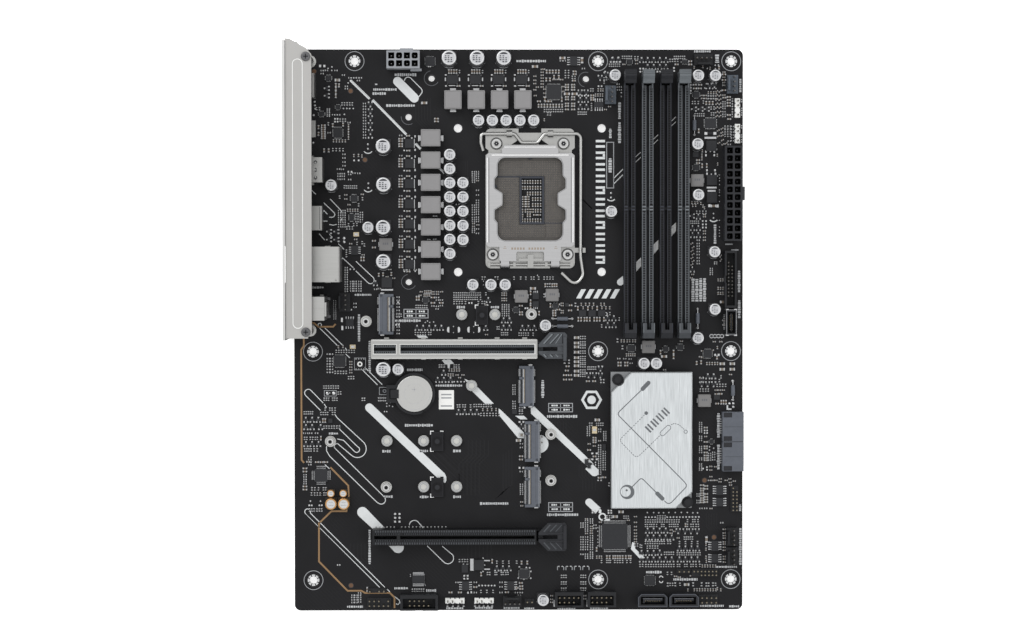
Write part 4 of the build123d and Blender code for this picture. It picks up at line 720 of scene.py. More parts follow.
# power stages and the small capacitors beside them
for i in range(7):
    y = 237.4 - 10.93 * i
    part("m", 0, at_x(47.8, y + 2.5, y + 1.2, y - 0.3, y - 1.6))
    part("s", 0, (47.8, y + 4.3))
    part("g", 0, (51.8, y + 4.1), (51.9, y - 3.9))
    lands(0.9, 0.8, (49.9, y + 2.9), (49.7, y - 3.8), (53.8, y + 2.9))
    lands(0.9, 1.3, at_x(55.6, y + 3.8, y - 3.5), made=TIN)
    low_box(55.2, y, 0.45, 5, 0.25, TIN, 0.05)
for i in range(4):
    x = 75.9 + 12.5 * i
    part("m", 90, [(x + u, 276.3) for u in (-1.9, -0.55, 0.85, 2.2)])
    part("s", 90, (x + 3.8, 276.3))
    lands(1.1, 0.8, (x - 3.6, 274.5), (x + 2.6, 274.3), (x - 3.5, 268.5))
    lands(0.8, 2, at_y(272.1, x - 3.8, x + 3.8), made=TIN)
    lands(0.6, 1.6, at_y(270.2, x - 2.7, x + 2.6), made=TIN)
    part("g", 0, (x + 3.3, 268.5))
    low_box(x - 0.2, 268.7, 3.6, 0.45, 0.2, TIN, 0.05)
part("w", 0, (60.6, 259.3), (120.7, 279))
part("m", 0, at_x(67.2, 250.8, 249.3))
dots(0.4, at_y(204.3, 77.9, 79.3))
part("s", 0, down(87.2, 222, 216.4, 6), down(89.4, 222, 218.4, 4), down(87.2, 203.9, 198.8, 5),
    down(89.4, 206.5, 199, 7), down(87.2, 197.2, 195, 3), down(89.4, 197.4, 195, 3),
    down(87.2, 191.3, 189.2, 3), down(89.4, 212, 209.4, 2), at_x(89.4, 191, 188.6))
part("k", 0, (89.4, 217.2), at_x(87.2, 193.9, 192.4), (89.6, 193.2))

# between the socket and the first expansion slot
part("s", 0, at_y(168.8, 50, 51.8, 55.6))
part("k", 90, across(156.9, 60.8, 64, 4), across(155.1, 60.4, 63.4, 4))
part("k", 0, (58.8, 156.9), (58.2, 155), at_y(156.9, 65.2, 67.6, 69.8), at_y(155.6, 65.2, 67.6))
part("m", 0, at_x(65.1, 153.8, 150.9), (69.7, 150.9))
part("m", 90, at_y(153.4, 56.3, 57.6))
part("s", 0, at_x(67.6, 153.8, 152.4), (69.7, 152.4), (65.1, 149.2), (67.6, 149), (69.7, 149.4),
    (67.4, 147.6))
part("s", 90, across(148.9, 56, 61.8, 6))
ring_of_lands(61.2, 152.4, 1.6, 1.6, 0.55, 0.55)
sot(0, pitched(56.5, 137.3, 5))
part("s", 90, across(134.2, 55.6, 61, 5), at_y(134.2, 62.8, 63.9))
dots(0.4, (62.2, 141), at_y(140.2, 61, 63.4), (65.5, 140.5))
part("s", 90, across(144.2, 45.5, 47.8, 3), across(155.7, 76.6, 90.8, 13), across(153.3, 76.6, 89.2, 12),
    (91, 153.3), across(151, 76.6, 81, 4), at_y(151, 82.8, 89.8, 91.9, 93.2))
lands(0.8, 1, at_y(150.8, 84.8, 86.2))
part("s", 90, (93.9, 155.8))
sot(0, (95.2, 152.4), (93.8, 137.2))
part("k", 0, (93.9, 139.6), (94, 149.9), (94.2, 133.6), [(x, y) for y in (156.2, 155, 153.3, 152.1)
    for x in (103.2, 104.6)])
part("s", 0, [(x, y) for y in (149.8, 148.6, 147.4, 146.2, 145, 143.8) for x in (103.4, 105.8)])
sot(0, [(103.5 + 3.2 * i, y) for y in (141.3, 137.3) for i in range(2)])
part("s", 90, across(134, 102.5, 105.6, 4), at_y(137.2, 100.1, 101.1))
ring_of_lands(110.3, 147, 1.7, 1.4, 0.6, 0.6)
lands(1.2, 0.45, across(120, 47, 110, 16), made=VIA)
half_moons = [73.5, 79.2, 84.5, 90.2]
for x in half_moons:
    bulge = 1 if x in (79.2, 90.2) else -1
    outline = [(x - bulge * 0.55, 137.9), (x - bulge * 0.55, 134.7)]
    outline += [(x + bulge * 0.75 * math.cos(math.radians(a)), 136.3 + 1.6 * math.sin(math.radians(a)))
                for a in (-65, -35, 0, 35, 65)]
    if bulge < 0:
        outline = outline[::-1]
    smd.prism(outline, BOARD - 0.01, BOARD + 0.1, SOLDER, 0.05)
dots(0.35, at_x(76.3, 138, 134.7), at_x(87.3, 138, 134.7))
part("s", 90, at_y(116.6, 68.6, 69.8, 71.2, 76.6, 77.8, 79.2))
part("k", 90, across(114.4, 74, 79.4, 5), across(111.7, 73.5, 76, 3))
part("k", 0, at_y(111.7, 78.2, 81.4), (79.6, 110.2))
sot(0, (70.9, 112.9), at_y(109, 67.6, 71, 74.6))
dots(0.5, across(108, 76.6, 82.2, 4))

# below the first slot
part("s", 90, at_y(94.8, 78.4, 79.6, 81.3, 82.6, 85.5), across(95, 87.4, 96.6, 8))
sot(0, pitched(79, 91.5, 4))
part("k", 90, at_y(92.8, 92.2, 94.7, 97, 99.4))
part("s", 90, across(90.1, 91.1, 101, 7))
part("s", 0, [(x, y) for y in (106, 104.8, 103.6, 102.4, 101.2, 97.2, 96, 94.6, 93.4) for x in (109.2,)])
low_box(109.4, 91.6, 2.8, 2.4, 0.8, EPOXY, 0.1)
part("v", 0, (111.6, 76), (113.3, 79))
lands(1.1, 1.1, at_y(86, 112.2, 114.3), at_y(61, 112.2, 114.3), (114.9, 93.9))
sot(0, (113.2, 83.6))
part("c", 0, at_x(113, 65.6, 67.4))
part("s", 0, at_x(113.2, 74.2, 72.1), (113.1, 59), down(113.2, 52, 46.6, 6))
part("s", 90, at_y(93.2, 112.2, 113.6), at_y(91.2, 112.2, 113.6))
part("k", 0, at_x(124.2, 77.8, 74.8), (113.3, 42.4), (113.4, 40.3))

# bottom strip
lands(0.95, 0.95, across(27.8, 48.2, 70.2, 12), (71.6, 27.8))
lands(1.1, 1.1, [(x, y) for x in (44.4, 46.8) for y in (36, 33.9, 31.8)])
two_rows(57, 0.4, 2.3, 90, 12, 0.5, 1.3, 0.26)
part("s", 90, across(-5.6, 53.8, 59.8, 6))
dots(0.3, at_x(52.7, 3, 2))
part("s", 90, at_y(10.5, 79.4, 81, 82.3, 83.7), (81.6, 8), (83.6, 7.9))
lands(0.95, 0.95, at_y(2.2, 82, 83.8), at_y(0.6, 82, 83.8))
low_box(86.2, 8.3, 2.1, 6.7, 0.5, TIN, 0.15)
for y in (10.5, 5.8):
    low_box(94.4, y, 3.4, 0.85, 0.35, TIN, 0.12)
dots(0.5, (93, 8.1), at_x(92.2, 11.8, 4.6))
part("m", 90, (91.2, 3.2), (97.2, 10.2))
part("s", 90, at_y(3.4, 94.6, 95.8, 98.8, 99.6, 102.2, 103.2, 104.6, 105.8),
    at_y(9.6, 99.7, 103, 106.3, 110.5))
sot(0, at_y(6.2, 99.7, 103, 106.3))
for x in (82.7, 107.3):
    two_rows(x, -3.2, 1.95, 0, 4, 1.27, 1.3, 0.45)
part("s", 0, at_y(-1.4, 78, 88), (88, -7), at_x(102, -1.4, -3.9, -7))
part("c", 0, (88, -3.9))
dots(0.5, across(-3.2, 90.1, 98.6, 6))
part("s", 90, at_y(-6.4, 91, 94.3, 97.7))
part("c", 0, at_y(-6.8, 74.5, 79.6, 105.2))
lands(0.9, 1.2, (84, -7), (85.8, -6.8))
part("r", 90, across(-13.6, 72.8, 81.6, 4), across(-13.6, 87.8, 97.2, 5))
part("c", 90, at_y(9.4, 113.2, 116.3))
dots(0.5, (112, 7), (115.8, 6.6), (117.6, 6.4), (118.2, 4.5), (111.5, 0.9), (114.5, 0.3), (118.2, 0.8))
ring_of_lands(114.6, 3.2, 2.8, 2.5, 0.65, 0.6)
part("c", 0, (112.8, -1.7), (113, -3.5), (113.1, -5), (110.5, -4.4))
part("s", 0, at_y(-7.1, 110.4, 113), (112, -8.7))
lands(0.8, 0.8, (111.6, -12.2))
for x in (136.2, 146.8):
    for y in (1.7, -1.9, -5.3):
        part("s", 90, at_y(y, x - 1.2, x, x + 1.2))
part("k", 0, at_x(129.6, -8.8, -10.8, -12.4), at_x(147.7, -8.9, -10.5))
for x in (131, 149):
    low_box(x, -12.9, 0.8, 3.6, 0.5, TIN, 0.1)
for x in (132.8, 137.4, 142, 146.6):
    lands(0.9, 0.6, at_y(7.2, x + 0.7, x + 2.6))

# round the debug chip at the bottom
part("s", 0, down(146.1, 30.8, 28.6, 3), down(146.1, 23.2, 16.4, 6), (146.1, 13.8),
    down(148.6, 32.2, 26.4, 6), down(148.6, 23.2, 16.4, 6), down(148.6, 13.8, 11.6, 3),
    down(151.3, 33, 30.8, 3), down(151.3, 23.9, 16.4, 7), down(151.3, 14.9, 11.6, 4))
part("k", 0, at_x(148.6, 33.1, 25.2), (151.3, 25.3), down(151.3, 29, 26.6, 3))
dots(0.35, at_x(154.8, 28.3, 26.3, 24, 22, 20.3, 18.4))
part("m", 90, (154.1, 16.5))
part("k", 90, at_y(12.2, 154.2, 155.6, 156.8))
part("c", 90, at_y(12.2, 159.7, 161.2, 163.1, 164.3, 165.6, 166.9, 168.3, 170, 171.6, 172.7))
part("s", 90, at_y(9.8, 156.8, 159.7, 160.7, 161.6, 164, 165.5, 166.8, 168.3, 170.6, 172.6))
lands(0.9, 0.9, at_y(37.6, 160.6, 162.1), at_y(36.3, 160.6, 162.1), at_y(37.6, 151.9, 153.4),
    at_y(36.5, 151.9, 153.4))
part("v", 0, (167.4, 37), (164.2, 34.4))
part("s", 90, at_y(34.2, 159.8, 161.2, 162.4), at_y(34, 169, 170.2, 171.4))
part("k", 0, at_x(175.3, 34.3, 31.2), (171.4, 32.3), (156.2, 31.3),
    at_x(175.3, 28.8, 27, 25.2, 23.6, 22, 20.6))
part("s", 90, at_y(18.8, 175, 176.4), (177.9, 18.2))
for x, y, half in ((164, 23.6, 7), (4.3, 57.2, 3.5)):
    for way in range(4):
        u, v = turned(x, y, half - 0.02, 0, way * 90)
        leads(u, v, int(half * 2 / 0.5) - 4, 0.5, way * 90, 1.35, 0.27, 0.45)
part("s", 0, down(153.2, 29.6, 28, 2))

# beside the M.2 sockets
part("v", 0, (154.5, 87.1))
part("s", 90, across(84.7, 154.2, 157.6, 4), across(84.7, 150.4, 151.6, 2))
part("s", 0, down(149.7, 83.2, 78.6, 5), down(155.8, 82, 80.7, 2))
low_box(153, 81.6, 2.9, 4, 0.9, BEIGE, 0.2)
part("c", 0, at_x(153, 77.4, 76.1, 74.9), (150, 70.7), (153, 67.2))
part("k", 0, (155.8, 75.7), (150.1, 74), (152.9, 72.9), (149.9, 65.6))
lands(1.2, 1, at_y(68.8, 151.8, 154.2), at_y(65.6, 151.8, 154.2))
dots(0.45, at_x(153.6, 63.9, 62.5), (152, 63.2), at_y(54.1, 155, 156.6), at_x(161, 52.6, 51.2))
low_box(150, 62.3, 1.8, 3.2, 0.9, EPOXY, 0.1)
part("s", 0, down(155.8, 73.2, 57.4, 14), down(158.6, 80.6, 76, 5), down(158.3, 70, 60, 9))
low_box(158.2, 72.3, 2, 3.4, 0.9, EPOXY, 0.1)
part("c", 0, (155.8, 55.6), (158.3, 55.8))

# between the first slot and the socket
part("s", 90, at_y(164.3, 112.8, 115.6, 118.6, 120, 122.6), across(164.3, 125.6, 130.4, 4),
    at_y(164.3, 92, 93.4, 99, 100.4, 109.2))
dots(0.35, (122, 165.8), at_x(92.6, 162.6, 160.6))
part("c", 90, at_y(160.4, 126.2, 130, 131.2, 132.4))
part("r", 90, at_y(160.4, 127.4, 128.6), (125.7, 154.8))
part("m", 90, at_x(118.2, 156.3, 151.5, 148.7), (129, 149.5), (122.8, 145.2))
part("w", 0, (119.5, 158.7))
part("c", 0, (112.9, 149.3), at_x(113, 145.8, 144.5), at_x(133.3, 150, 147.2))
lands(0.9, 1.1, at_y(147.9, 115.4, 116.6))
ring_of_lands(131.8, 149.1, 1.5, 1.6, 0.6, 0.5)
part("k", 0, at_x(135.4, 150.6, 149.3, 146.6, 145.4))
low_box(138, 149.8, 2.2, 2.2, 0.9, EPOXY, 0.1)
part("c", 0, (139.9, 149.5), (139.7, 146.7), at_x(131.1, 146.6, 145.3, 144))
sot(0, [(113.8 + 3.25 * i, 137.2) for i in range(3)])
part("s", 90, across(133.8, 112, 115.6, 4), at_y(133.8, 117, 119.6))
leads(121, 156.3, 3, 0.95, 90, 0.9)
leads(120.9, 148.5, 3, 0.95, -90, 0.9)
for y in (131.9, 129, 126.9, 124, 121, 118.8, 116.6, 113.7, 111.4):
    part("v", 0, (143.2, y))
    part("s", 90, at_y(y, 145.4, 146.6, 147.8))
part("r", 90, at_y(118.8, 136.7, 139.1))
part("c", 0, (138.3, 116.3), (137.9, 114), at_y(111.5, 136.9, 139.6), at_y(109.1, 136.9, 139.9))
part("s", 90, across(115.3, 149.4, 153.6, 5))
sot(180, at_x(156.2, 115, 111.2), at_y(111.4, 149.7, 153))
part("c", 0, at_y(108.2, 149.4, 152.8))
part("r", 90, at_y(108.2, 156.5, 158))
sot(0, at_y(142.4, 160.1, 163.6), at_y(138.7, 160.2, 163.7))
part("s", 90, (156.9, 138.2), (161.4, 144.9), (166.5, 142))
part("r", 90, (142.6, 149.8))
part("k", 90, at_y(150, 145.8, 148.2, 150.2, 152.5, 156.5, 158.3))
part("m", 90, at_y(147.9, 143.9, 149.4, 154.4))
part("k", 90, at_y(148.1, 146.8, 151.8, 157, 159.2, 161.3))
part("m", 90, at_y(141.9, 144.2, 145.7, 147.5, 148.8, 150.4, 152.8, 154.3, 155.8, 158.1))
smd.band(159, 144.7, 0.9, 0.4, BOARD, BOARD + 0.3, TIN, -90, 90)
part("r", 90, (165.5, 130.3), (168.2, 126.6))
part("k", 90, at_y(130.1, 167.6, 169.1, 170.8, 172.1, 173.8, 175.2))
ring_of_lands(173, 126.1, 2.2, 1.8, 0.7, 0.6)
part("k", 90, across(122.5, 170.4, 175, 5))
part("c", 0, at_x(166.6, 118.3, 116.7), at_x(170.3, 118.3, 116.7))
part("s", 0, at_y(120.4, 166.2, 169.5), (172.4, 120.2), (173, 117.9))

# between the memory slots and the power socket, top
for x in (162.6, 165.8):
    lands(0.9, 1, (x, 283.7), at_y(281.6, x - 0.8, x + 0.8))
sot(0, pitched(178.6, 282.6, 5), pitched(181.9, 278.9, 4),
    at_y(282.8, 162.9, 166.1))
part("s", 90, across(279.8, 161.2, 166.6, 6), across(284, 168.2, 173, 5), across(283.8, 175, 176.6, 2))
ring_of_lands(172, 281.6, 1.5, 1.5, 0.6, 0.5)
low_box(172, 281.6, 2.6, 2.6, 0.8, EPOXY, 0.1)
part("k", 0, (169, 280.2), at_x(175.8, 282.3, 280.6))
lands(1, 1, at_y(277.9, 177.8, 179.5), at_y(276.3, 177.9, 179.5, 187.2, 188.7), (196.2, 278.3),
    (196.3, 276.7))
part("s", 90, across(282.4, 194, 198.2, 4), across(284, 196.4, 202, 6))
ring_of_lands(202, 281.6, 1.8, 1.1, 0.6, 0.5)
low_box(202, 281.6, 3.2, 1.8, 0.8, EPOXY, 0.1)
part("c", 0, at_x(205, 281.9, 280.2), (197.6, 280.2))
dots(0.45, (207.8, 280.2), at_x(218.6, 279.8, 277.9), (220.4, 279.8), (214.3, 278.1))
part("k", 90, (207.2, 278.6), (211.8, 279), (215.8, 278.2))
part("c", 90, (220.6, 278.4))

# the M.2 regulator row and the fan controller, top
leads(139.7, 282, 4, 1.27, 180, 1.3, 0.45)
leads(143.7, 282, 4, 1.27, 0, 1.3, 0.45)
part("w", 0, (135.6, 283.6))
part("w", 90, (146.2, 282.4))
part("s", 0, at_y(282.2, 135, 136.6), (147, 278))
ring_of_lands(130.9, 265.3, 4, 4, 0.7, 0.8)
part("k", 0, at_x(120.6, 273.8, 271.6, 269.8, 266.4), (120.8, 263.3), (121.9, 267.9),
    down(124.6, 277.5, 268, 7))
part("c", 90, across(276.3, 127, 133.6, 5), at_y(272, 126.8, 128.8), at_y(273.4, 131, 133.6))
part("k", 0, at_y(272, 131, 133.2, 135.2), at_x(135.9, 265.6, 268.2))
part("m", 90, (126, 261.4), (135.2, 261.2))
part("c", 0, at_y(260.2, 122.8, 127, 128.8))
part("g", 90, across(257.8, 122.6, 135.4, 9))
part("s", 90, across(255.2, 125.8, 135.6, 9), across(253.4, 127.6, 129, 2))
part("k", 0, at_x(126, 266.8, 264.6, 262.6), (125.4, 277.6))
part("g", 0, [(x, y) for x in (138, 141.4) for y in (269.2, 267.8, 266.4, 262.6, 261.2, 259, 257.6, 255.8)])
part("w", 0, at_y(264.2, 138, 142.2))
part("s", 90, at_y(276.3, 137.2, 138.9), at_y(273.6, 137.2, 138.9), at_y(273.2, 141, 142.4))
part("c", 0, at_x(142.2, 276.4, 274.9), (141.8, 271.4))
sot(180, pitched(145.2, 265, 2))
lands(0.85, 1.05, at_y(263.3, 144.4, 146.2, 147.7, 149.6))
sot(0, pitched(145.3, 261, 2), pitched(145.3, 257.2, 2))
part("s", 90, across(253.8, 144.2, 148.4, 5), at_y(266.4, 151, 152.2), at_x(151.4, 258.4, 256))
part("c", 0, at_x(151.8, 263.4, 262.1, 261))
two_rows(155.3, 258.4, 1.6, 90, 4, 1.27, 1.5, 0.5)
part("k", 90, across(263.6, 153.6, 157.4, 4), at_y(266.4, 155, 156.4, 157.6))
part("k", 0, (159, 255.8), (161.2, 257.4))
sot(180, (156.1, 272.9), (159.3, 274.6))
lands(0.9, 0.9, at_y(268.4, 155.2, 156.9), (158.8, 276.3))
part("s", 90, at_y(272.4, 158.2, 159.6), (158.3, 270.6))
part("s", 0, at_x(165.9, 269.6, 268, 266.4))
dots(0.42, at_x(167.6, 268, 266.4, 264.8, 262.9))
part("k", 90, (125.7, 250.2))

# right of the memory slots, top half
part("s", 90, at_x(205.3, 270, 268.4, 266.8, 265.2))
part("g", 0, at_y(267.2, 207.6, 210.2), at_y(269.2, 207.4, 210.4))
low_box(208.2, 263.8, 3.6, 3.4, 1.1, EPOXY, 0.12)
ring_of_lands(208.2, 263.8, 1.8, 1.7, 0.65, 0.6)
part("k", 0, at_y(263.4, 211.4, 213.2), at_y(261.8, 211.6, 213.4))
part("s", 90, at_y(259.6, 207.6, 209.4, 206.2), (212.2, 259.8))
dots(0.42, (213.8, 269.8), (213, 267.4), across(267.2, 213.8, 219, 4))
sot(180, (215.6, 268.6), (218.2, 269))
part("r", 90, across(262.4, 214.9, 219, 4))
part("k", 90, across(264.9, 214.8, 219.2, 4))
part("c", 90, across(259.3, 213.7, 217.2, 3))
part("k", 35, [(x, y) for x in (219.4, 221.2) for y in (265.6, 263.4, 261.2, 258.9, 256.8, 254.4, 252.2)])
part("k", 0, at_x(223.3, 276, 273.3, 270.4, 268.9, 263.6))
part("m", 0, at_x(223.3, 274.8, 271.8, 266.2))
sot(90, at_y(256, 207, 210.6, 214))
part("s", 90, across(252.9, 207.6, 212.4, 5), at_y(256.6, 216.4, 218), at_y(253.4, 216.6, 217.8))
part("s", 0, [(x, y) for x in (223.4,) for y in (260, 258.8, 257.6, 256.4, 254.6, 253.2, 252)])
part("g", 0, (223.6, 262.2), at_x(226, 262.6, 261, 259.4, 257.8, 252.8), (226.2, 250.6))
part("s", 90, down(228, 261, 252.4, 7))
ring_of_lands(216, 248.3, 3.1, 2.7, 0.8, 0.9)
part("m", 90, (209.6, 244.2))
for x in (213.6, 218.4):
    lands(1.8, 1.6, (x, 242.8))
low_box(216, 240.4, 6.6, 1.3, 0.5, TIN, 0.12)
low_box(216, 242.9, 3, 1.6, 0.9, RESIN, 0.12)
part("k", 30, (220.3, 244.4), (222.4, 245.4), (222.2, 243.2), (222.4, 241.6), (220.4, 241.3), (220.5, 237.6),
    (222.6, 239.2), (222.8, 236.8), (224.6, 237.4))
part("s", 90, across(246.2, 224, 227, 3), across(244.2, 224, 227, 3), across(241.8, 224, 227, 3))
part("s", 0, down(228, 246.6, 238.8, 6), at_x(226.3, 238.6, 236.8))
part("s", 90, at_x(233, 260.6, 255.8, 253.4, 246.4, 241.4, 238.8))
part("k", 90, (211.6, 233.4), at_x(211.4, 231, 229))
low_box(207.9, 231.3, 3.4, 3, 1, EPOXY, 0.12)
low_box(208.2, 224.3, 3.6, 3.2, 1, EPOXY, 0.12)
ring_of_lands(208.2, 224.3, 1.8, 1.6, 0.65, 0.6)
part("c", 0, at_x(209.3, 228.3, 226.7))
part("m", 90, (211.5, 225.3), (214, 225.4))
lands(1, 1.3, at_x(213.6, 233, 231), at_x(218.2, 233, 231), at_x(214.2, 222.8, 220.9), (218.6, 222.8),
    (218.8, 220.9))
dots(0.5, (216, 233.1), (216.6, 220.6), (219.4, 234.1), (219.9, 219.5), at_x(217.8, 199.3, 196.9))
part("k", 90, (219.8, 231), (220, 226.2))
for y in (213.4, 211.6):
    low_box(216.7, y, 5.6 if y > 212 else 4.6, 1.1, 0.35, TIN, 0.12)
dots(0.35, at_x(221, 220.2, 218.5, 217.1, 215, 212.1, 210.8, 209, 205.9, 195.5, 192, 190.2, 188.6, 187))
part("w", 0, (217.7, 203.4))
lands(1.6, 1.7, (215.6, 203.6), (219.9, 203.4))

# column between the memory slots and the power socket, bottom half
part("k", 90, at_y(205.3, 205.9, 207.6, 209), at_y(203.8, 206.4, 208), (210.8, 204.8), (212, 203.4),
    (212.8, 202.4))
sot(90, (206, 198))
sot(0, (209.5, 197.6), at_y(191.4, 206.3, 209.5), at_y(187.6, 206.3, 209.5))
part("s", 90, across(200, 208.6, 213.6, 4), across(194.6, 205.4, 209.6, 5))
part("k", 0, at_x(212.8, 198.8, 197.6, 189.8, 188.4, 186.4, 184.8))
lands(0.9, 0.95, [(x, y) for x in (211.9, 213.7) for y in (195.2, 193.4, 191.7)])
part("k", 35, (205.9, 183), (206.6, 181), (206, 179), (206.6, 177.2), (206, 175.2), (206.6, 173.4),
    (206, 171.6))
part("s", 0, at_x(209.4, 184.8, 183, 181.6, 180.2, 178.6, 177, 175.2, 173.6, 172.1))
sot(0, (206.2, 168.9))
part("k", 0, (206.4, 166.2), (205.7, 164.4))
part("s", 0, down(216.6, 169.4, 166.2, 4), down(219, 173, 172, 2))
part("k", 60, (221.6, 176.2), (221.8, 174))
part("k", 90, across(163.2, 220.3, 222.9, 3), across(158.6, 220.3, 222.9, 3), across(155.9, 220.3, 222.9, 3))
part("w", 0, (222.9, 151.2))
part("k", 0, at_x(223.4, 141.2, 138.8), (200.3, 129.9))
ring_of_lands(199.6, 126.6, 1.8, 1.6, 0.7, 0.6)
ring_of_lands(191.7, 125.6, 1.5, 1.5, 0.7, 0.6)
part("m", 90, (188.9, 123.9), at_x(196, 124, 121.4))
part("w", 0, (190.8, 121.6))
part("k", 0, (191.2, 114.3))
ring_of_lands(214.6, 123.1, 2.3, 2.3, 0.7, 0.7)
part("k", 0, (211.8, 124.6), (210.6, 121.4), (211.8, 121), (217.2, 125))
lands(1.1, 1.2, at_y(122.4, 218.7, 220.6))
part("c", 90, (219.7, 121), (208.6, 118), (211, 118.4))
part("k", 90, across(117.7, 214.2, 220, 5), (219.9, 126.4))
part("v", 0, at_x(222.5, 117.6, 114.6), at_x(228, 117.6, 114.6))
part("k", 0, at_y(129.6, 218.2, 221.8))
for x in (216.7, 218.6, 220.5, 222.4):
    smd.band(x, 132.6, 0.95, 0.35, BOARD, BOARD + 0.25, TIN, sides=16)
    smd.band(x, 132.6, 0.3, 0.3, BOARD, BOARD + 0.12, VIA, sides=12)
sot(0, at_y(110.7, 214.7, 217.9))
sot(180, (211.3, 108.8), at_y(106.4, 214.6, 217.9, 211.3))
part("s", 90, across(103.2, 210.6, 215, 4), across(105.8, 219.8, 224.4, 4), (221.9, 110.4), (221, 108.4))
part("k", 0, (210.8, 109.6), at_y(103.2, 219.2, 221, 223.2), (227.1, 111.7))
part("m", 90, across(96.6, 222, 224.6, 3))
part("c", 0, (219.8, 95.9), (219.4, 101), (221.6, 101.2))
dots(0.65, at_y(95.9, 226.5, 228.6), (228.6, 94))

# beside the edge sockets
part("s", 0, at_x(210.8, 85.5, 84.4, 83.3, 82.2, 81.3, 80.4, 78, 77, 75.8, 72.4, 71.4, 70.4, 69.2, 66.2, 65.2,
    62.9, 61.8, 60.7, 59.6))
part("g", 0, at_x(213.6, 75, 72.6, 71.4, 69.2, 67.6, 66.2, 65), (213.6, 82.8))
lands(0.9, 0.9, [(x, y) for x in (213, 214.4) for y in (81.2, 79.8)], (212.2, 60.4), at_x(214.3, 59.8, 61.2))
part("k", 0, (213.6, 77.9), at_x(216.4, 61.6, 59.6), (219, 61.4))
ring_of_lands(216.8, 75.2, 1.3, 1.3, 0.6, 0.5)
low_box(216.8, 75.2, 2.4, 2.4, 0.9, EPOXY, 0.1)
dots(0.45, at_x(215.7, 72.3, 70.5), (218, 71.5))
part("s", 0, at_x(215.8, 68.6, 67.4, 66.2, 65), at_x(218, 69.2, 68, 66.6, 65.2))
part("k", 0, (216.4, 56), at_y(54, 215.6, 217.6, 219.2), (221.6, 54.8), (221.4, 53.2), (224.8, 54),
    (226.8, 54.8), (227, 52.8), (227.2, 51.4), (229.2, 53.6))
for y, many in ((48.8, 4), (42.2, 4)):
    two_rows(221.2, y, 1.95, 0, many, 1.27, 1.5, 0.5)
for y in (18.3, 11.5):
    two_rows(218.6, y, 1.95, 0, 4, 1.27, 1.4, 0.5)
part("g", 0, at_x(211.6, 51.4, 49.6, 48.4, 47, 45.8, 44.4, 43.2, 42),
    at_x(213.8, 51, 49.4, 46.6, 45, 43.6, 42.2))
part("s", 0, at_x(209.4, 46.6, 45.4, 43, 41.8), at_y(38.7, 211, 213.6))
part("k", 0, (216.5, 38.6))
part("s", 0, (222.4, 30.8))
part("w", 90, (214, 21.8))
part("k", 90, at_x(213.8, 19, 16.4, 12), (214, 9.8))
part("k", 0, at_x(223.8, 27.2, 25.2, 23.8, 22.4, 20.4, 19.2, 17.4, 15.8, 12.4, 11, 9.4))
dots(0.42, at_x(225.7, 27.4, 16.6))

# the dense field under the heatsink
dots(0.45, at_y(36.5, 181.8, 185.2), at_y(36.4, 188, 190.6), at_y(36.5, 193.5, 197, 200.3, 203.6),
    at_y(36.3, 206.6, 209.2))
dots(0.5, across(34, 180.9, 186, 4), across(34, 192.6, 209.9, 11))
part("s", 90, across(34.1, 187.4, 191.4, 4), across(31.9, 180.8, 199, 15),
    at_y(32, 203.7, 206.6, 207.7, 209.4), at_y(29.4, 180.8, 181.8, 183.2, 184.2, 185.4, 186.8, 189.6, 190.8,
    193.9, 195, 196.2, 197.2, 198.4, 203.7, 205.6, 206.8, 208.4, 209.6))
part("c", 90, (202.6, 29.6))
sot(0, pitched(181.9, 26.6, 4), pitched(181.9, 22.8, 5))
sot(180, (198.6, 26.3), at_y(26.2, 205.6, 209, 202.4))
part("k", 0, at_x(194.8, 27, 25.2), (196.6, 26.2), (198.6, 22.6))
part("s", 90, across(20.1, 180.8, 191, 9), across(20.1, 193, 194.4, 2), across(22.5, 202, 206.4, 5),
    across(17.6, 181.8, 187.4, 5), (178.6, 18))
sot(0, at_y(14.4, 178.6, 181.9, 185.2), (188.5, 14.6), (178.6, 10.8),
    pitched(181.9, 10.8, 5), pitched(199.3, 16.8, 4),
    pitched(199.3, 10.8, 4))
part("s", 90, across(14.2, 191.2, 196, 5), across(13.9, 198.2, 210.6, 11), at_y(20, 199.3, 202.6, 206, 209.2),
    across(7.6, 177.8, 179.2, 2), across(7.5, 181, 196.2, 12),
    at_y(7.5, 198.3, 199.4, 202.2, 203.4, 205.6, 206.8, 208.4, 210.4))
part("k", 90, across(7.2, 211.8, 219, 6))
ring_of_lands(183.2, -0.6, 2.9, 2.7, 0.8, 0.5)
part("r", 90, (192.9, -2.9), at_y(-2.8, 197, 206.8, 211.4), at_y(-2.9, 214, 215.2), (217.6, -2.8))
part("s", 90, at_y(-2.8, 194.2, 195.6, 199.6, 219), at_y(3.2, 192.8, 195))
part("v", 0, (203.2, -2.8))
part("k", 90, across(-5.8, 207.4, 219.2, 9), (203.9, -5.9), (221.9, -5.8), (220, -5.2))
part("k", 0, (197.2, 1.6), (205.8, 1.9), (199.2, 1.2))

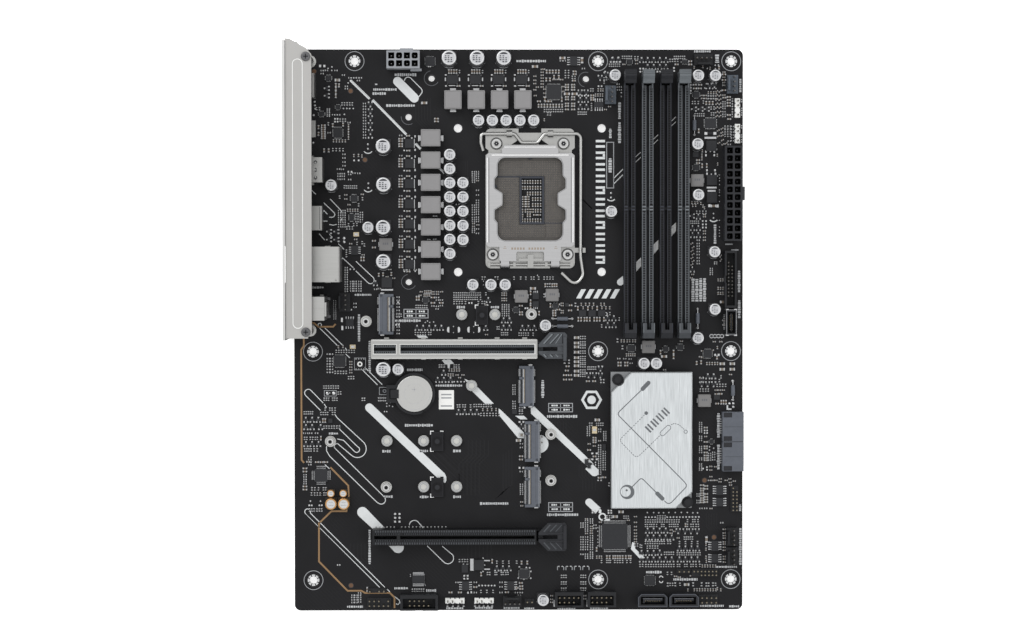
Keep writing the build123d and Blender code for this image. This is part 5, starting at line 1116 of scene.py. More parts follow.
# axial coils with their leads bent down to the board
for x, y, turn, body in ((135.5, 142.15, 0, 6.2), (135.5, 138.1, 0, 6.2), (209.1, 142.3, 90, 5.9),
        (228.3, 103, 90, 5.9), (207.2, 247.2, 90, 5.9)):
    half = body / 2
    rings = []
    for u, r in ((-half, 0.7), (-half + 0.25, 1.05), (-half + 0.8, 1.12), (half - 0.8, 1.12),
            (half - 0.25, 1.05), (half, 0.7)):
        rings.append([turned(x, y, u, r * math.sin(a), turn) + (BOARD + 1.35 + r * math.cos(a),)
                      for a in [2 * math.pi * k / 16 for k in range(16)]])
    smd.rings(rings, BLUE_GREY)
    for way in SIDES:
        smd.tube([turned(x, y, way * u, 0, turn) + (BOARD + z,) for u, z in ((half - 0.4, 1.35),
            (half + 1.3, 1.35), (half + 1.9, 1.1), (half + 2.2, 0.5), (half + 2.2, -0.3))], 0.3, TIN)
        u, v = turned(x, y, way * (half + 2.2), 0, turn)
        smd.dome(u, v, 0.75, BOARD, 0.45, SOLDER, 12)
low_box(21.6, 127.1, 3.2, 2.3, 0.8, BEIGE, 0.15)
low_box(23.6, 188.1, 3.2, 2.4, 0.8, BEIGE, 0.15)
for x, y in ((21.6, 127.1), (23.6, 188.1), (153, 81.6)):
    smd.block(x, y, 1.9, 1.3, BOARD + 0.7, BOARD + 0.95, TIN, 0.08)
low_box(40.3, 158, 6.6, 1, 0.45, TIN, 0.1)
smd.band(189.3, 0.9, 0.9, 0.45, BOARD, BOARD + 0.25, SOLDER, 0, 180)
smd.band(189.3, -0.9, 0.9, 0.45, BOARD, BOARD + 0.25, SOLDER, 180, 360)
smd.make("surface_parts")


# ---------------------------------------------------------------- printing and bare copper on the board

ink = Pile()


def stroke(route, width=0.5, made=INK, closed=False):
    ink.ribbon(route, width, made, closed=closed)


def patch(outline, made=INK, high=INK_TOP):
    """A filled shape; its outline runs anticlockwise."""
    area = sum(x0 * y1 - x1 * y0 for (x0, y0), (x1, y1) in zip(outline, outline[1:] + outline[:1]))
    ink.prism(outline if area > 0 else outline[::-1], SUNK, high, made)


def capsule(x0, y0, x1, y1, radius, made=INK, round_start=True, round_end=True):
    """A wide stripe with round or square ends."""
    a = math.degrees(math.atan2(y1 - y0, x1 - x0))
    start = arc(x0, y0, radius, a + 90, a + 270, 12)
    end = arc(x1, y1, radius, a - 90, a + 90, 12)
    patch((start if round_start else [start[0], start[-1]]) + (end if round_end else [end[0], end[-1]]), made)


def label(x, y, length, height, turn=0, made=INK_LABEL):
    """A plain row of short bars where the board carries small print."""
    draw = random.Random(7919 + int(abs(x) * 13 + abs(y) * 31))
    reach = -length / 2
    while reach < length / 2 - 0.3:
        wide = draw.choice((0.7, 0.95, 1.2))
        wide = min(wide, length / 2 - reach)
        u, v = turned(x, y, reach + wide / 2, 0, turn)
        ink.block(u, v, wide, height * draw.choice((0.72, 0.86, 1)), SUNK, INK_TOP, made, 0, turn)
        reach += wide + 0.3


def frame_box(x0, y0, x1, y1, width=0.35, made=INK_SOFT):
    stroke([(x0, y0), (x1, y0), (x1, y1), (x0, y1)], width, made, True)


def table(x0, y0, x1, y1, split=0.5):
    frame_box(x0, y0, x1, y1, 0.45)
    middle, half_way = (y0 + y1) / 2, x0 + (x1 - x0) * split
    stroke([(x0, middle), (x1, middle)], 0.4, INK_SOFT)
    stroke([(half_way, y0), (half_way, y1)], 0.4, INK_SOFT)
    for u in (0.25, 0.75):
        for v in (0.25, 0.75):
            label(x0 + (x1 - x0) * u, y0 + (y1 - y0) * v, (x1 - x0) * 0.26, 1, 0, INK)


# mounting holes: a printed circle and eight plated lands
HOLES = ((22.86, 281.94), (154.94, 281.94), (227.33, 281.94), (154.94, 124.46), (227.33, 124.46), (154.94, 0),
         (227.33, 0), (0, 0), (0, 124.46))
for x, y in HOLES:
    ink.band(x, y, 5.15, 0.34, SUNK, INK_TOP, INK_SOFT, sides=64)
    for i in range(8):
        wide = 15 if i % 2 else 19
        ink.band(x, y, 2.62, 1.05, SUNK, BOARD + 0.06, SOLDER, i * 45 - wide, i * 45 + wide, 60)
    ink.band(x, y, 2.02, 0.1, SUNK, BOARD + 0.05, SOLDER, sides=40)
for x, y in ((78.9, 245.6), (156.9, 245.6), (78.9, 167.6), (156.9, 167.6)):
    ink.band(x, y, 2.35, 0.28, SUNK, BOARD + 0.04, VIA, sides=40)
for x, y, low, high in ((52.1, 251.6, 175, 300), (52.1, 162.3, 100, 330), (64.6, 272.7, 100, 330),
        (148.2, 272, 70, 260)):
    ink.band(x, y, 4, 0.3, SUNK, INK_TOP, INK_DARK, low, high, 60)
    ink.band(x, y, 1.85, 0.3, SUNK, BOARD + 0.04, VIA, sides=32)

# wide stripes
capsule(46.2, 271, 55.2, 262, 2.45)
stroke([(49.6, 271.6)] + arc(51.9, 271.3, 2, 170, 45, 8) + arc(57.5, 265.7, 2, 45, -45, 8) + [(57.6, 262.6)],
    0.45)
for a, b, c, d in ((20.9, 271.3, 31, 261.5), (32.6, 260.9, 50.9, 242.2), (55.8, 237.3, 58.6, 234.4),
                   (68.8, 224, 71.6, 221.2)):
    capsule(a, b, c, d, 0.62, INK, a < 22, False)
    u, v = unit(c - a, d - b)
    stroke([(a - v * 0.2, b + u * 0.2), (c - v * 0.2, d + u * 0.2)], 0.12, INK_SOFT)
capsule(30.5, 94, 70, 56.3, 2.25, INK, True, False)
patch([(71.5, 57.9), (68.4, 54.7), (70.8, 54.6), (70.9, 53.2), (71.7, 52.9), (72.3, 54.2), (72.3, 56.2)])
patch([(86.8, 102.4), (93.4, 96), (98.2, 96), (89.9, 104.5), (84.6, 108.6), (82.2, 109.6)])
patch([(100.8, 90), (100.8, 93.4), (102, 92.6), (114.6, 80.2), (114.6, 77.2), (111.4, 77.2)])
patch([(116.8, 94.4), (120.2, 94.4), (152.4, 63.3), (149.6, 61.2), (118.4, 90.6), (118.3, 93.6)])
capsule(149.6, 62, 153, 58.7, 2.35, INK, False, True)
patch([(109.8, 89.4), (114.6, 89.4), (116.6, 87.4), (112.6, 87.4)])
patch([(122.7, 69.2)] + arc(123, 74, 4.9, -90, 90, 18) + [(122.7, 79)])
patch(arc(26.7, 37, 2.9, 47, 227, 14) + [(32.4, 27.8), (39.4, 27.8)])
capsule(150, 42.2, 155, 37.6, 2, INK, True, False)
patch([(155.6, 39), (156.8, 37.8), (156.6, 36), (155.2, 36.4)])
ink.band(157.3, 34.2, 1.75, 0.8, SUNK, INK_TOP, INK, sides=32)
stroke([(157.4, 32.6), (161.4, 32.6)], 0.9)
patch([(172.8, 16.6), (173.6, 20.4), (174.8, 20), (175.2, 16.8), (180.4, 11.8), (179.2, 11.2), (177.4, 11.6)])
patch([(41, 18.6)] + arc(46, 17.8, 3.1, 215, 360, 12) + [(49.1, 18.6)])
patch([(56.2, 133.2), (61.2, 133.2), (62.6, 131.8), (57.4, 131.8)])
patch([(70, 119.6), (71, 120.1), (74.6, 120.1), (76.6, 117.9), (74.4, 117.5), (74.2, 115.4), (73.2, 115.4),
       (73, 117.4), (71.8, 117.4)])
patch(arc(167, 162, 1.8, 130, 340, 12) + [(168.4, 165.4)])
# slashes between the memory slots, in the brighter ink: painted light that makes up for the shade between the
# slots
for x, y in ((196, 190.6), (186.4, 181), (177, 171.6)):
    patch([(x - 1.3, y - 3.9), (x + 1.3, y - 0.9), (x + 1.3, y + 3.9), (x - 1.3, y + 1.4)], INK_BRIGHT)
for x, y in ((195.9, 250.4), (195.9, 247.8), (186.2, 240.7), (186.2, 238), (176.7, 231.2), (176.7, 228.4)):
    stroke([(x - 1.4, y - 1.2), (x + 1.4, y + 1.4)], 0.38, INK_BRIGHT)
for y in (218.4, 215.4):
    stroke([(163.4, y), (168.4, y + 5)], 0.42)
frame_box(159.6, 213.2, 163.4, 238, 0.45)
label(161.5, 225.6, 8, 1.9, 90)
label(161.6, 242.8, 5, 1.6, 90)

# thin outlines
THIN = [
    [(-0.8, 212.3), (1.8, 209.8)],
    [(6, 205.3), (11.7, 199.8), (12.1, 198.8), (11.5, 197.7), (10.4, 197.3), (9, 197.5)],
    [(9.5, 207.3), (15.2, 201.3), (15.8, 200.1)],
    [(5.3, 200), (6.2, 201), (8, 199)],
    [(5.8, 195.3), (8, 195.3)], [(9, 193.5), (11, 193.1), (13, 193.5)], [(15.1, 195.3), (16, 196.8)],
    [(3.5, 188.5), (6.5, 185)], [(9, 188.2), (10.7, 186.4)], [(14, 183), (17, 179.9)],
    [(15.2, 174), (16.2, 175.3), (22, 170)],
    [(23.4, 173.5)] + arc(31.3, 163.3, 2, 45, -135, 10) + [(23.3, 168.3)],
    [(3.6, 137.3), (13.2, 127.8)], [(6.5, 137.3), (16, 128)], [(17.5, 126.5), (18.3, 125.3)],
    [(17.7, 123.2), (20, 121)], [(26, 115.3), (35, 106.3)], [(28, 116), (37.5, 106.5)],
    [(5.5, 96.5)] + arc(-2.6, 102, 2, 45, 225, 10) + [(4, 92.5)],
    [(6, 96), (7.3, 94)],
    [(12, 90), (13, 88.5), (27.5, 75)] + arc(24, 71.6, 4.8, 45, -135, 14)[1:] + [(14, 73.8)]
    + arc(12.9, 72.9, 1.5, 60, 225, 8) + [(37, 46.9)] + arc(36.9, 43.7, 2.3, 45, -135, 12) + [(35, 42)],
    [(14.3, 82.3), (24.2, 72.6)] + arc(23.6, 71.2, 1.6, 45, -135, 8) + [(16.5, 76.2), (13, 77)],
    [(7.2, 73), (7.2, 70.5), (9, 67.5), (35, 42)], [(6.3, 63), (8.8, 60.7)],
    [(-1.5, 36.5), (38.8, -4)], [(-1.5, 36.5)] + arc(-3.2, 37.4, 1.5, 0, 225, 10) + [(-4.4, 36.4), (36, -4)],
    [(40, -5), (41.5, -6.5)], [(44, -9), (46.6, -11), (46.9, -12.4), (46, -13.3), (44.8, -13)],
    [(52.1, 28), (52.1, 30)] + arc(54.9, 29.7, 2.8, 180, 50, 10) + [(60.2, 27.8)],
    [(61.8, 18.6), (70.6, 10)] + arc(73.1, 11.9, 3.1, 220, 395, 14) + [(70, 18.4)],
]
for route in THIN:
    stroke(route, 0.42)
ink.band(3.7, 139, 0.9, 0.4, SUNK, INK_TOP, INK, sides=20)
for y in (232.7, 211.8):
    ink.band(30.1, y + 1.9, 2.6, 0.5, SUNK, INK_TOP, INK, 215, 325, 40)
for x, y in ((162, 208.5), (217.8, 197.2)):
    ink.band(x, y + 0.4, 2.7, 0.6, SUNK, INK_TOP, INK, 222, 318, 40)

# corner marks round the rubber pads, tables and small print
PADS = ((91.8, 144.2), (67.4, 75.6), (67.4, 50.6))
for x, y in PADS:
    for way in SIDES:
        stroke([(x - 3.6, y + way * 3.6), (x - 3.6, y + way * 5.4), (x - 1.9, y + way * 5.4)], 0.6,
            INK_BRIGHT)
    stroke([(x + 1.6, y + 5.4), (x + 3.4, y + 5.4)], 0.6, INK_BRIGHT)
for x0, y0, x1, y1 in ((49.4, 142.7, 62.5, 147.4), (128, 91.5, 141, 96.1), (128, 37.2, 141, 42)):
    table(x0, y0, x1, y1)
for x, y, length, height, *turn in ((39.3, 266.6, 12.6, 1.3), (36.4, 264.4, 7.6, 1.4), (48, 257.9, 16, 1.4),
        (50.6, 274.6, 12, 1.6), (118.6, 282, 16, 1.5), (51.5, 141.2, 14, 1.4), (55.2, 114.5, 8.4, 1.4),
        (73.8, 105.9, 14.6, 1.2), (57.6, 84.3, 15.6, 1.5), (98.6, 41.6, 16, 1.5), (135.6, 35.4, 17, 1.5),
        (135.6, 89, 17, 1.5), (60.2, 70.3, 4.6, 1.5), (78.3, 70.3, 4.6, 1.5), (60.2, 45.3, 4.6, 1.5),
        (78.3, 45.3, 4.6, 1.5), (80.4, 148.5, 4.6, 1.5), (98.9, 148.5, 4.6, 1.5), (64, -5.8, 5.6, 1.5),
        (47.6, -4.5, 7.4, 1.3), (77, -15.5, 9.6, 1.1), (92.6, -15.3, 9.6, 1.1), (107.8, -15.4, 8.6, 1.2),
        (117.6, -15.7, 6, 1), (137.8, -15.9, 10, 0.9), (155.6, -15.8, 10, 0.9), (202.6, -0.1, 13.2, 1.5),
        (185.4, 3.9, 8.6, 1.5), (217, -14.6, 13, 1.3), (229.2, -14.9, 5.4, 1.2), (225, 6.7, 11.4, 1.1),
        (232.6, 17.8, 20, 1.5, 90), (232.4, 39, 3.6, 1.3, 90), (220.6, 84.2, 13.6, 1.8, 90),
        (220.6, 66.8, 13.6, 1.8, 90), (231.7, 162.4, 11.8, 1.6, 90), (231.8, 147.4, 10, 1.6, 90),
        (210.8, 157.8, 12.6, 1.8, 90), (206.6, 157.8, 12.6, 1.8, 90), (208.7, 157.8, 12.6, 1.8, 90),
        (212.9, 157.8, 12.6, 1.8, 90), (218.6, 188.4, 11, 1.6, 90), (166.6, 255.2, 9, 1.5, 90),
        (166.6, 243.4, 11.6, 1.7, 90), (211.6, 287.3, 9, 1.2), (219.6, 283.4, 4.6, 2.2, 90),
        (232.3, 269, 7.6, 1.3, 90), (124.8, 104, 9.6, 1.6, 90), (30.5, 18.2, 19, 1.3, 90),
        (30.7, 122, 17, 1.3, 90), (25, 137.5, 15, 1.3, 90), (22.5, -14.5, 8.6, 1.2), (27.2, 155.3, 9, 1.3),
        (2.8, 159.3, 6.2, 1.2), (11.2, 79.9, 5.4, 1.2), (39.8, 70.2, 4.6, 1.4), (40.8, 45.5, 4.6, 1.4),
        (63, 185.3, 1.8, 0.7), (66.4, 198, 2.4, 0.7), (66.4, 185.4, 2.4, 0.7), (34.8, 269.4, 1.6, 0.7)):
    label(x, y, length, height, *turn)
for x, y in ((231, 179.5), (227.8, 182.6)):
    ink.block(x - 1.6, y, 4, 0.7, SUNK, INK_TOP, INK_SOFT, 0)
for x in (132.8, 137.4, 142, 146.6):
    stroke([(x, 5.2), (x, 7), (x + 0.4, 7.3), (x + 1.1, 7.3)], 0.4, INK_SOFT)
    stroke([(x + 2.2, 7.3), (x + 3, 7.2), (x + 3.4, 6.7), (x + 3.4, 5.2)], 0.4, INK_SOFT)
frame_box(22.5, 114.5, 28.5, 121, 0.3)
frame_box(6.1, 100.3, 12.6, 103.3, 0.3)
frame_box(36, 101, 41.5, 105, 0.3)
stroke([(60.2, 3.4), (60.2, -1.8), (60.9, -3.2)], 0.35, INK_SOFT)
stroke([(225.4, 95), (225.4, 92.8), (227.6, 92.8)], 0.8)
for y in (146.7, 133.5):
    patch([(225.4, y - 0.6), (229.8, y - 0.6), (229.4, y + 0.6), (225.8, y + 0.6)], INK_SOFT)

# two long rows of plain blocks beside the socket and above the first slot
for i in range(11):
    y = 174.4 + 6.3 * i
    patch([(153.7, y - 2.3), (158.7, y - 2.3), (158.7, y - 1), (153.7, y - 1)])
    patch([(153.7, y + 0.6), (158.7, y + 0.6), (158.7, y + 1.9), (153.7, y + 1.9)])
    if i % 3 == 0:
        patch([(158.7 - 1.2, y - 1.2), (158.7, y - 1.2), (158.7, y + 0.8), (158.7 - 1.2, y + 0.8)])
for i in range(5):
    x = 145.2 + 4.6 * i
    patch([(x - 2.2, 153.2), (x + 0.4, 153.2), (x + 3.2, 158.2), (x + 0.6, 158.2)])
hexagon = [(151.4 + 5 * math.cos(math.radians(a)),
    98 + 5 * math.sin(math.radians(a))) for a in range(0, 360, 60)]
stroke(hexagon, 1.3, INK, True)
patch(arc(151.4, 98, 2.3, 0, 345, 23))
ink.block(72.4, 98.2, 8.2, 10.4, SUNK, BOARD + 0.08, STICKER, 0.02)
for y, wide in ((101, 5.6), (99.2, 5.6), (94.8, 6.2)):
    ink.block(72.4, y, wide, 0.8, BOARD + 0.05, BOARD + 0.1, INK_SOFT, 0)

# bare copper line along the audio section, and round test lands
for route in (
        [(-1, 140.3), (0.5, 140), (3, 138), (11, 138), (12.3, 139.5)],
        [(-5, 132), (-5, 127.5), (-6.4, 125.5), (-6.3, 65.5), (-5, 64)],
        [(9.3, 61.5), (19, 51.5), (19.3, 45), (18, 37.6), (9.8, 37.6), (3, 31), (3, 10.2), (18.5, -5.8),
         (26, -5.8), (28, -7), (41.5, -7), (44, -9.5), (44, -15.3)]):
    ink.ribbon(route, 0.9, COPPER)
for x, y in ((20.7, 265.8), (28.4, 228.5), (20.4, -2.9), (213, 54), (218.2, 22.9), (1, 276.4)):
    ink.disc(x, y, 1.15, SUNK, BOARD + 0.03, COPPER_DIM, 24)
    ink.band(x, y, 1.35, 0.18, SUNK, BOARD + 0.02, VIA, sides=24)

# copper tracks that just show under the coating, in parallel runs with 45 degree bends
for x, y, step_x, step_y, many, legs in (
        (95.2, 76, -2.2, 0, 6, ((0, -8), (-5, -5), (0, -17))), (108, 72, -1.6, -1.2, 4, ((0, -20), (-6, -6))),
        (144.6, 62.6, 1.7, 0, 5, ((0, -6), (2, -2), (0, -6))), (130, 86, 1.5, 0, 6, ((0, -7), (6, -6))),
        (20, 20, 2, 0, 5, ((0, -8), (6, -6))), (58, 116, 2.2, -1, 5, ((10, -10), (0, -6))),
        (104, 255, 0, -1.3, 5, ((24, 0), (8, 8), (6, 0))), (84, 228, -1.2, 0, 4, ((0, -10), (4, -4))),
        (143.6, 232, 1.3, -1.3, 5, ((0, -22), (4, -4), (0, -10))), (56, 262, 1.6, 0, 6, ((0, -12), (8, -8))),
        (60, 66, 1.8, 1.8, 4, ((14, -14), (0, -4))), (84, 20.6, 2.1, 0, 7, ((0, -9), (3, -3))),
        (214, 36, 1.4, 0, 5, ((0, -7), (2, -2))), (150.6, 116, 1.5, 0, 5, ((0, -8), (5, -5)))):
    for i in range(many):
        route = [(x + step_x * i, y + step_y * i)]
        for leg_x, leg_y in legs:
            route.append((route[-1][0] + leg_x, route[-1][1] + leg_y))
        ink.ribbon(route, 0.5, TRACK, SUNK, BOARD + 0.012)
ink.make("board_print")


# ---------------------------------------------------------------- marks and small metal on the parts

marks = Pile()
block, band, disc = marks.block, marks.band, marks.disc


def box_ring(x, y, size_x, size_y, width, low, high, made, pile=marks):
    a, b = size_x / 2, size_y / 2
    pile.ribbon([(x - a, y - b), (x + a, y - b), (x + a, y + b), (x - a, y + b)], width, made, low, high,
        True)


def can_top(x, y, radius, top, tones):
    """The dark sector that marks a can's negative side, three columns of plain print, and a white ring near
    the rim, a painted highlight on the rolled edge.
    """
    a = math.degrees(math.asin(0.5 / 0.76))
    marks.prism(arc(x, y, radius * 0.76, a, 180 - a, 12), top - 0.02, top + 0.02, tones[0])
    for i, column in enumerate((-0.44, -0.06, 0.32)):
        for j, level in enumerate((0.26, 0, -0.26, -0.52)):
            if (i, j) not in ((0, 3), (2, 0)):
                wide = radius * (0.2 + 0.05 * ((i + 2 * j) % 3))
                block(x + column * radius, y + level * radius, wide, radius * 0.16, top - 0.02,
                            top + 0.015, tones[(i + j) % 2], 0)
    # white ring near the rim: painted highlight on the rolled edge
    band(x, y, radius * 0.84, radius * 0.05, top - 0.02, top + 0.015, WHITE, sides=36)


LARGE_CANS = [(74.1, 283), (89.2, 283), (103.6, 283), (38.4, 235.6), (38.6, 214.8), (38.4, 191.8),
              (38.5, 173.4), (38.4, 115.2)]
SMALL_CANS = (row((90, 249.6), (7.45, 0), 5) + row((74.4, 231.1), (0, -7.63), 8)
              + row((81.5, 215.9), (0, -7.68), 5)
              + [(10.3, 214.6), (30.2, 191.8), (163.9, 274), (208.9, 273.9), (218.1, 273.8), (208.6, 236.9),
                 (209, 209.4), (217.8, 178.5), (161.8, 200.4), (46.3, 115.1), (86.8, 160.8), (96.6, 160.8),
                 (104.3, 160.8), (126.1, 138.7), (179.5, 118.1), (186.2, 118.1), (218, 147.4), (208.8, 131.9),
                 (124.8, -10.3)])
for x, y in LARGE_CANS:
    can_top(x, y, 4, 12.6, (CAN_INK, INK_DARK))
    band(x, y, 4.75, 0.3, SUNK, INK_TOP, INK_SOFT, 205, 335)
for x, y in SMALL_CANS:
    can_top(x, y, 3.15, 9.4, (INK_DARK, INK_SOFT))
    band(x, y, 3.8, 0.26, SUNK, INK_TOP, INK_SOFT, 205, 335)
for x, y, radius, top in ((9.8, 42, 3.15, 8.2), (16.7, 42, 3.15, 8.2), (9.7, 47.6, 2, 7),
                          (16.4, 47.6, 2, 7)):
    disc(x, y, radius * 0.74, top - 0.02, top + 0.03, SOLDER, 28, 0.01)
    block(x, y + radius * 0.3, radius * 0.7, 0.2, top, top + 0.045, EPS_GREY, 0)
    block(x, y - radius * 0.2, radius * 0.9, 0.2, top, top + 0.045, EPS_GREY, 0)

# tinned lugs of the chokes, and a pressed line round the top of each body
for x, y in row((64.1, 240.2), (0, -12.05), 7):
    for side in SIDES:
        block(x + side * 5.78, y, 0.98, 2.9, BOARD, 3.25, TIN, 0.12)
        block(x + side * 6.4, y, 0.9, 3.2, SUNK, 1.78, SOLDER, 0.05)
    box_ring(x, y, 9.3, 7.9, 0.14, 8.36, 8.44, FERRITE_DARK)
for x, y in row((76.2, 260.8), (12.6, 0), 4):
    for side in SIDES:
        block(x, y + side * 5.42, 3.1, 0.9, BOARD, 3.25, TIN, 0.12)
        block(x, y + side * 6, 3.3, 0.8, SUNK, 1.78, SOLDER, 0.05)
    box_ring(x, y, 8.1, 8.7, 0.14, 8.36, 8.44, FERRITE_DARK)
for x, y in ((39.6, 182.6), (208.6, 217.2), (182.2, 126.9), (113.1, 154.4), (129.9, 155.1), (212.6, 97.6)):
    for side in SIDES:
        block(x + side * 3.64, y, 0.66, 2.5, BOARD, 2.85, TIN, 0.1)
    box_ring(x, y, 6, 5.8, 0.12, 5.46, 5.53, FERRITE_DARK)
    for i in (-1.1, 0, 1.1):
        block(x + i, y + 0.4, 0.7, 1.1, 5.46, 5.53, INK_DARK, 0)

# power cells: black liners and floors in every cell, painted shade down the deep wells; grey blades in the
# processor socket, black blades in the main one
CPU_CELLS = [(43.1 + 4.2 * i, 282 + side * 2.1) for i in range(4) for side in SIDES]
MAIN_CELLS = [(227.6 + side * 2.1, 186.9 + 4.2 * i) for i in range(12) for side in SIDES]
for cells, wall_top, blade in ((CPU_CELLS, 14.2, SCREW_GREY), (MAIN_CELLS, 13.9, CAN_INK)):
    for x, y in cells:
        box_ring(x, y, 3.16, 3.16, 0.12, 2.7, wall_top, BLACK)
        block(x, y, 3, 3, 2.5, 2.66, BLACK, 0)
        box_ring(x, y, 0.72, 0.72, 0.06, 2.6, 10.64, CAN_INK)
        block(x, y, 0.76, 0.76, 10.5, 10.66, blade, 0.1)
        if cells is CPU_CELLS:
            block(x, y, 0.4, 0.4, 10.6, 10.72, SOLDER, 0.08)

# memory slots: pockets between the contacts, with near-black painted shade in them, a contact in each, and
# pale edge beads on two of the rails
DIMM_X, DIMM_PITCH = 171.7, 9.74
for number in range(4):
    x = DIMM_X + DIMM_PITCH * number
    bead = (SOCKET_RIM, RAIL_LINE)[number % 2]
    for side in SIDES:
        for start in (137.75, 204.25):
            for i in range(72):
                block(x + side * 1.05, start + 0.86 * i + 0.43, 0.2, 0.36, 8, 9.1, GOLD, 0.04)
            for i in range(47):
                y = start + 1.32 * i
                block(x + side * 1.9, y, 1.2, 0.62, 8.6, 9.4, PAINTED_DEPTH_SHADE, 0)
                if number % 2:
                    block(x + side * 1.9, y + 0.66, 1.2, 0.56, 8.6, 9.42, GREY, 0.04)
        for reach in (2.9, 0.98):
            block(x + side * reach, 204.2, 0.2, 128, 9.36, 9.47, bead, 0.04)
    for side in SIDES:
        # at the key between the two rows of contacts, the near-black steps are painted shade
        for y, tone in ((200.4, PAINTED_DEPTH_SHADE), (201.3, bead), (202.1, PAINTED_DEPTH_SHADE), (202.9, bead), (203.8, PAINTED_DEPTH_SHADE)):
            block(x + side * 1.95, y, 1.9, 0.62, 9.3, 9.49, tone, 0.05)
        block(x + side * 2.65, 271.2, 0.5, 8, 9.36, 9.5, bead, 0.06)
        block(x + side * 2.9, 137.5, 0.3, 5, 20.95, 21.06, bead, 0.05)

# expansion slots: contact springs on both sides of the card groove, with near-black painted shade in the
# pockets beside them
SLOT_1, SLOT_2 = 126.1, 24.3    # the Y of each slot
BAR = (12.6, 12.87)             # the raised bars between pockets, lowest and highest
for y in (SLOT_1, SLOT_2):
    for i in range(86):
        if i in (13, 14):
            continue
        for side in SIDES:
            block(32.4 + 1.8 + i, y + side * 1.8, 0.5, 0.86, 12, 12.3, PAINTED_DEPTH_SHADE, 0)
            block(32.4 + 2.3 + i, y + side * 1.8, 0.36, 0.9, *BAR, (RAIL_LINE if y == SLOT_1 else GREY),
                0.04)
            block(32.4 + 1.8 + i, y + side * 1.15, 0.3, 0.4, 10.2, 11.8, TIN, 0.1)
    for side in SIDES:
        for low, high in ((34, 45.3), (48.4, 119.8)):
            block((low + high) / 2, y + side * 2.55, high - low, 0.22, 12.78, 12.9,
                (GREY if y == SLOT_1 else DARK), 0.05)
# on the slot's metal shield: white rings round the openings and white lines along its outer edges are painted
# highlights on the edges; the grey lines between are painted shade at a step
for low, high in ((33.1, 45.5), (47.5, 120.3)):
    marks.ribbon([(low, 123.5), (high, 123.5), (high, 128.7), (low, 128.7)], 0.3, WHITE, 13.24, 13.38, True)
for side in SIDES:
    block(76.7, SLOT_1 + side * 3.35, 88.4, 0.18, 13.26, 13.33, INK_SOFT, 0.03)
    block(76.7, SLOT_1 + side * 4.85, 88.8, 0.3, 13.24, 13.36, WHITE, 0.08)

# comb along the second slot's walls, and a row of soldered pins beside it
for i in range(66):
    for side in SIDES:
        block(34.2 + 1.32 * i, SLOT_2 + side * 3.25, 0.62, 1.1, *BAR, GREY, 0.04)
for i in range(20):
    if i != 6:
        block(34 + 2 * i, 28.95, 0.75, 0.7, SUNK, 2.1, SOLDER, 0.1)

# push button with a pale plunger, and a small coil beside the cell
block(25.5, 117.7, 4.4, 4.4, SUNK, 3, BLACK, 0.25)
band(25.5, 117.7, 1.05, 0.7, 2.98, 3.3, WHITE, sides=32)
for i in range(4):
    for side in SIDES:
        block(23.4 + 1.4 * i, 117.7 + side * 2.75, 0.6, 0.7, SUNK, 2, TIN, 0.1)
block(38.8, 103, 3.2, 2.8, SUNK, 2.4, BLACK, 0.2)
band(38.8, 103, 0.8, 0.3, 2.38, 2.46, EPS_GREY, sides=24)

# card-edge sockets for drives
for x, y, way in ((39.8, 144.8, 1), (119, 75.6, -1), (119, 50.8, -1), (115.9, 105.7, -1)):
    for i in range(37):
        v = y - 9 + 0.5 * i
        if 3.4 < v - y < 5.2:
            continue
        block(x + way * 3.65, v, 0.9, 0.26, 3.25, 3.6, SOLDER, 0.05)
        block(x + way * 4.2, v, 0.5, 0.24, SUNK, 2.1, TIN, 0.05)
        block(x - way * 4.35, v, 0.9, 0.28, SUNK, 2.4, SOLDER, 0.05)
    block(x + way * 2.88, y, 0.46, 19.2, 3.25, 3.5, BLACK, 0)
    block(x + way * 2.3, y, 0.5, 18.9, 5.76, 5.84, GREY, 0.04)
    block(x + way * 1.72, y, 0.5, 18.6, 4.9, 5.6, SOLDER, 0.08)
    block(x + way * 1.15, y, 0.5, 18.6, 4.9, 5.4, BRONZE, 0.08)
    block(x + way * 0.62, y, 0.4, 18.6, 4.6, 4.9, BLACK, 0)
    block(x - way * 3.6, y, 0.3, 20.6, 5.76, 5.85, EPS_GREY, 0.05)
    block(x - way * 1.9, y, 0.2, 17, 5.76, 5.82, GREY, 0.04)
    block(x + way * 2.6, y + 4.3, 2.6, 1.3, 3.4, 5.78, BLUE_GREY, 0.08)
    for side in SIDES:
        block(x - way * 2.2, y + side * 11.35, 2.3, 1, SUNK, 3, SOLDER, 0.2)
        block(x + way * 3.4, y + side * 10.6, 1.2, 0.5, SUNK, 5.4, TIN, 0.1)

# the frame's four screws: a dark star in each drive recess, painted shade, round a small bright post; a
# bright ring round it, a painted highlight on the head; a darker grey ring on the frame round each screw
for x, y in ((99.7, 237.2), (136.1, 237.2), (97.7, 177.1), (138.3, 177.1)):
    disc(x, y, 1.3, 3.36, 3.5, CAN_INK, 6)
    for i in range(6):
        a = math.radians(60 * i)
        disc(x + 1 * math.cos(a), y + 1 * math.sin(a), 0.36, 3.4, 4.42, CAN_INK, 10)
    disc(x, y, 0.34, 3.4, 4.2, SOLDER, 12, 0.1)
    band(x, y, 2.1, 0.5, 4.36, 4.5, SOLDER, sides=40)
    band(x, y, 3.25, 0.3, 2.88, 2.98, SCREW_GREY, sides=44)

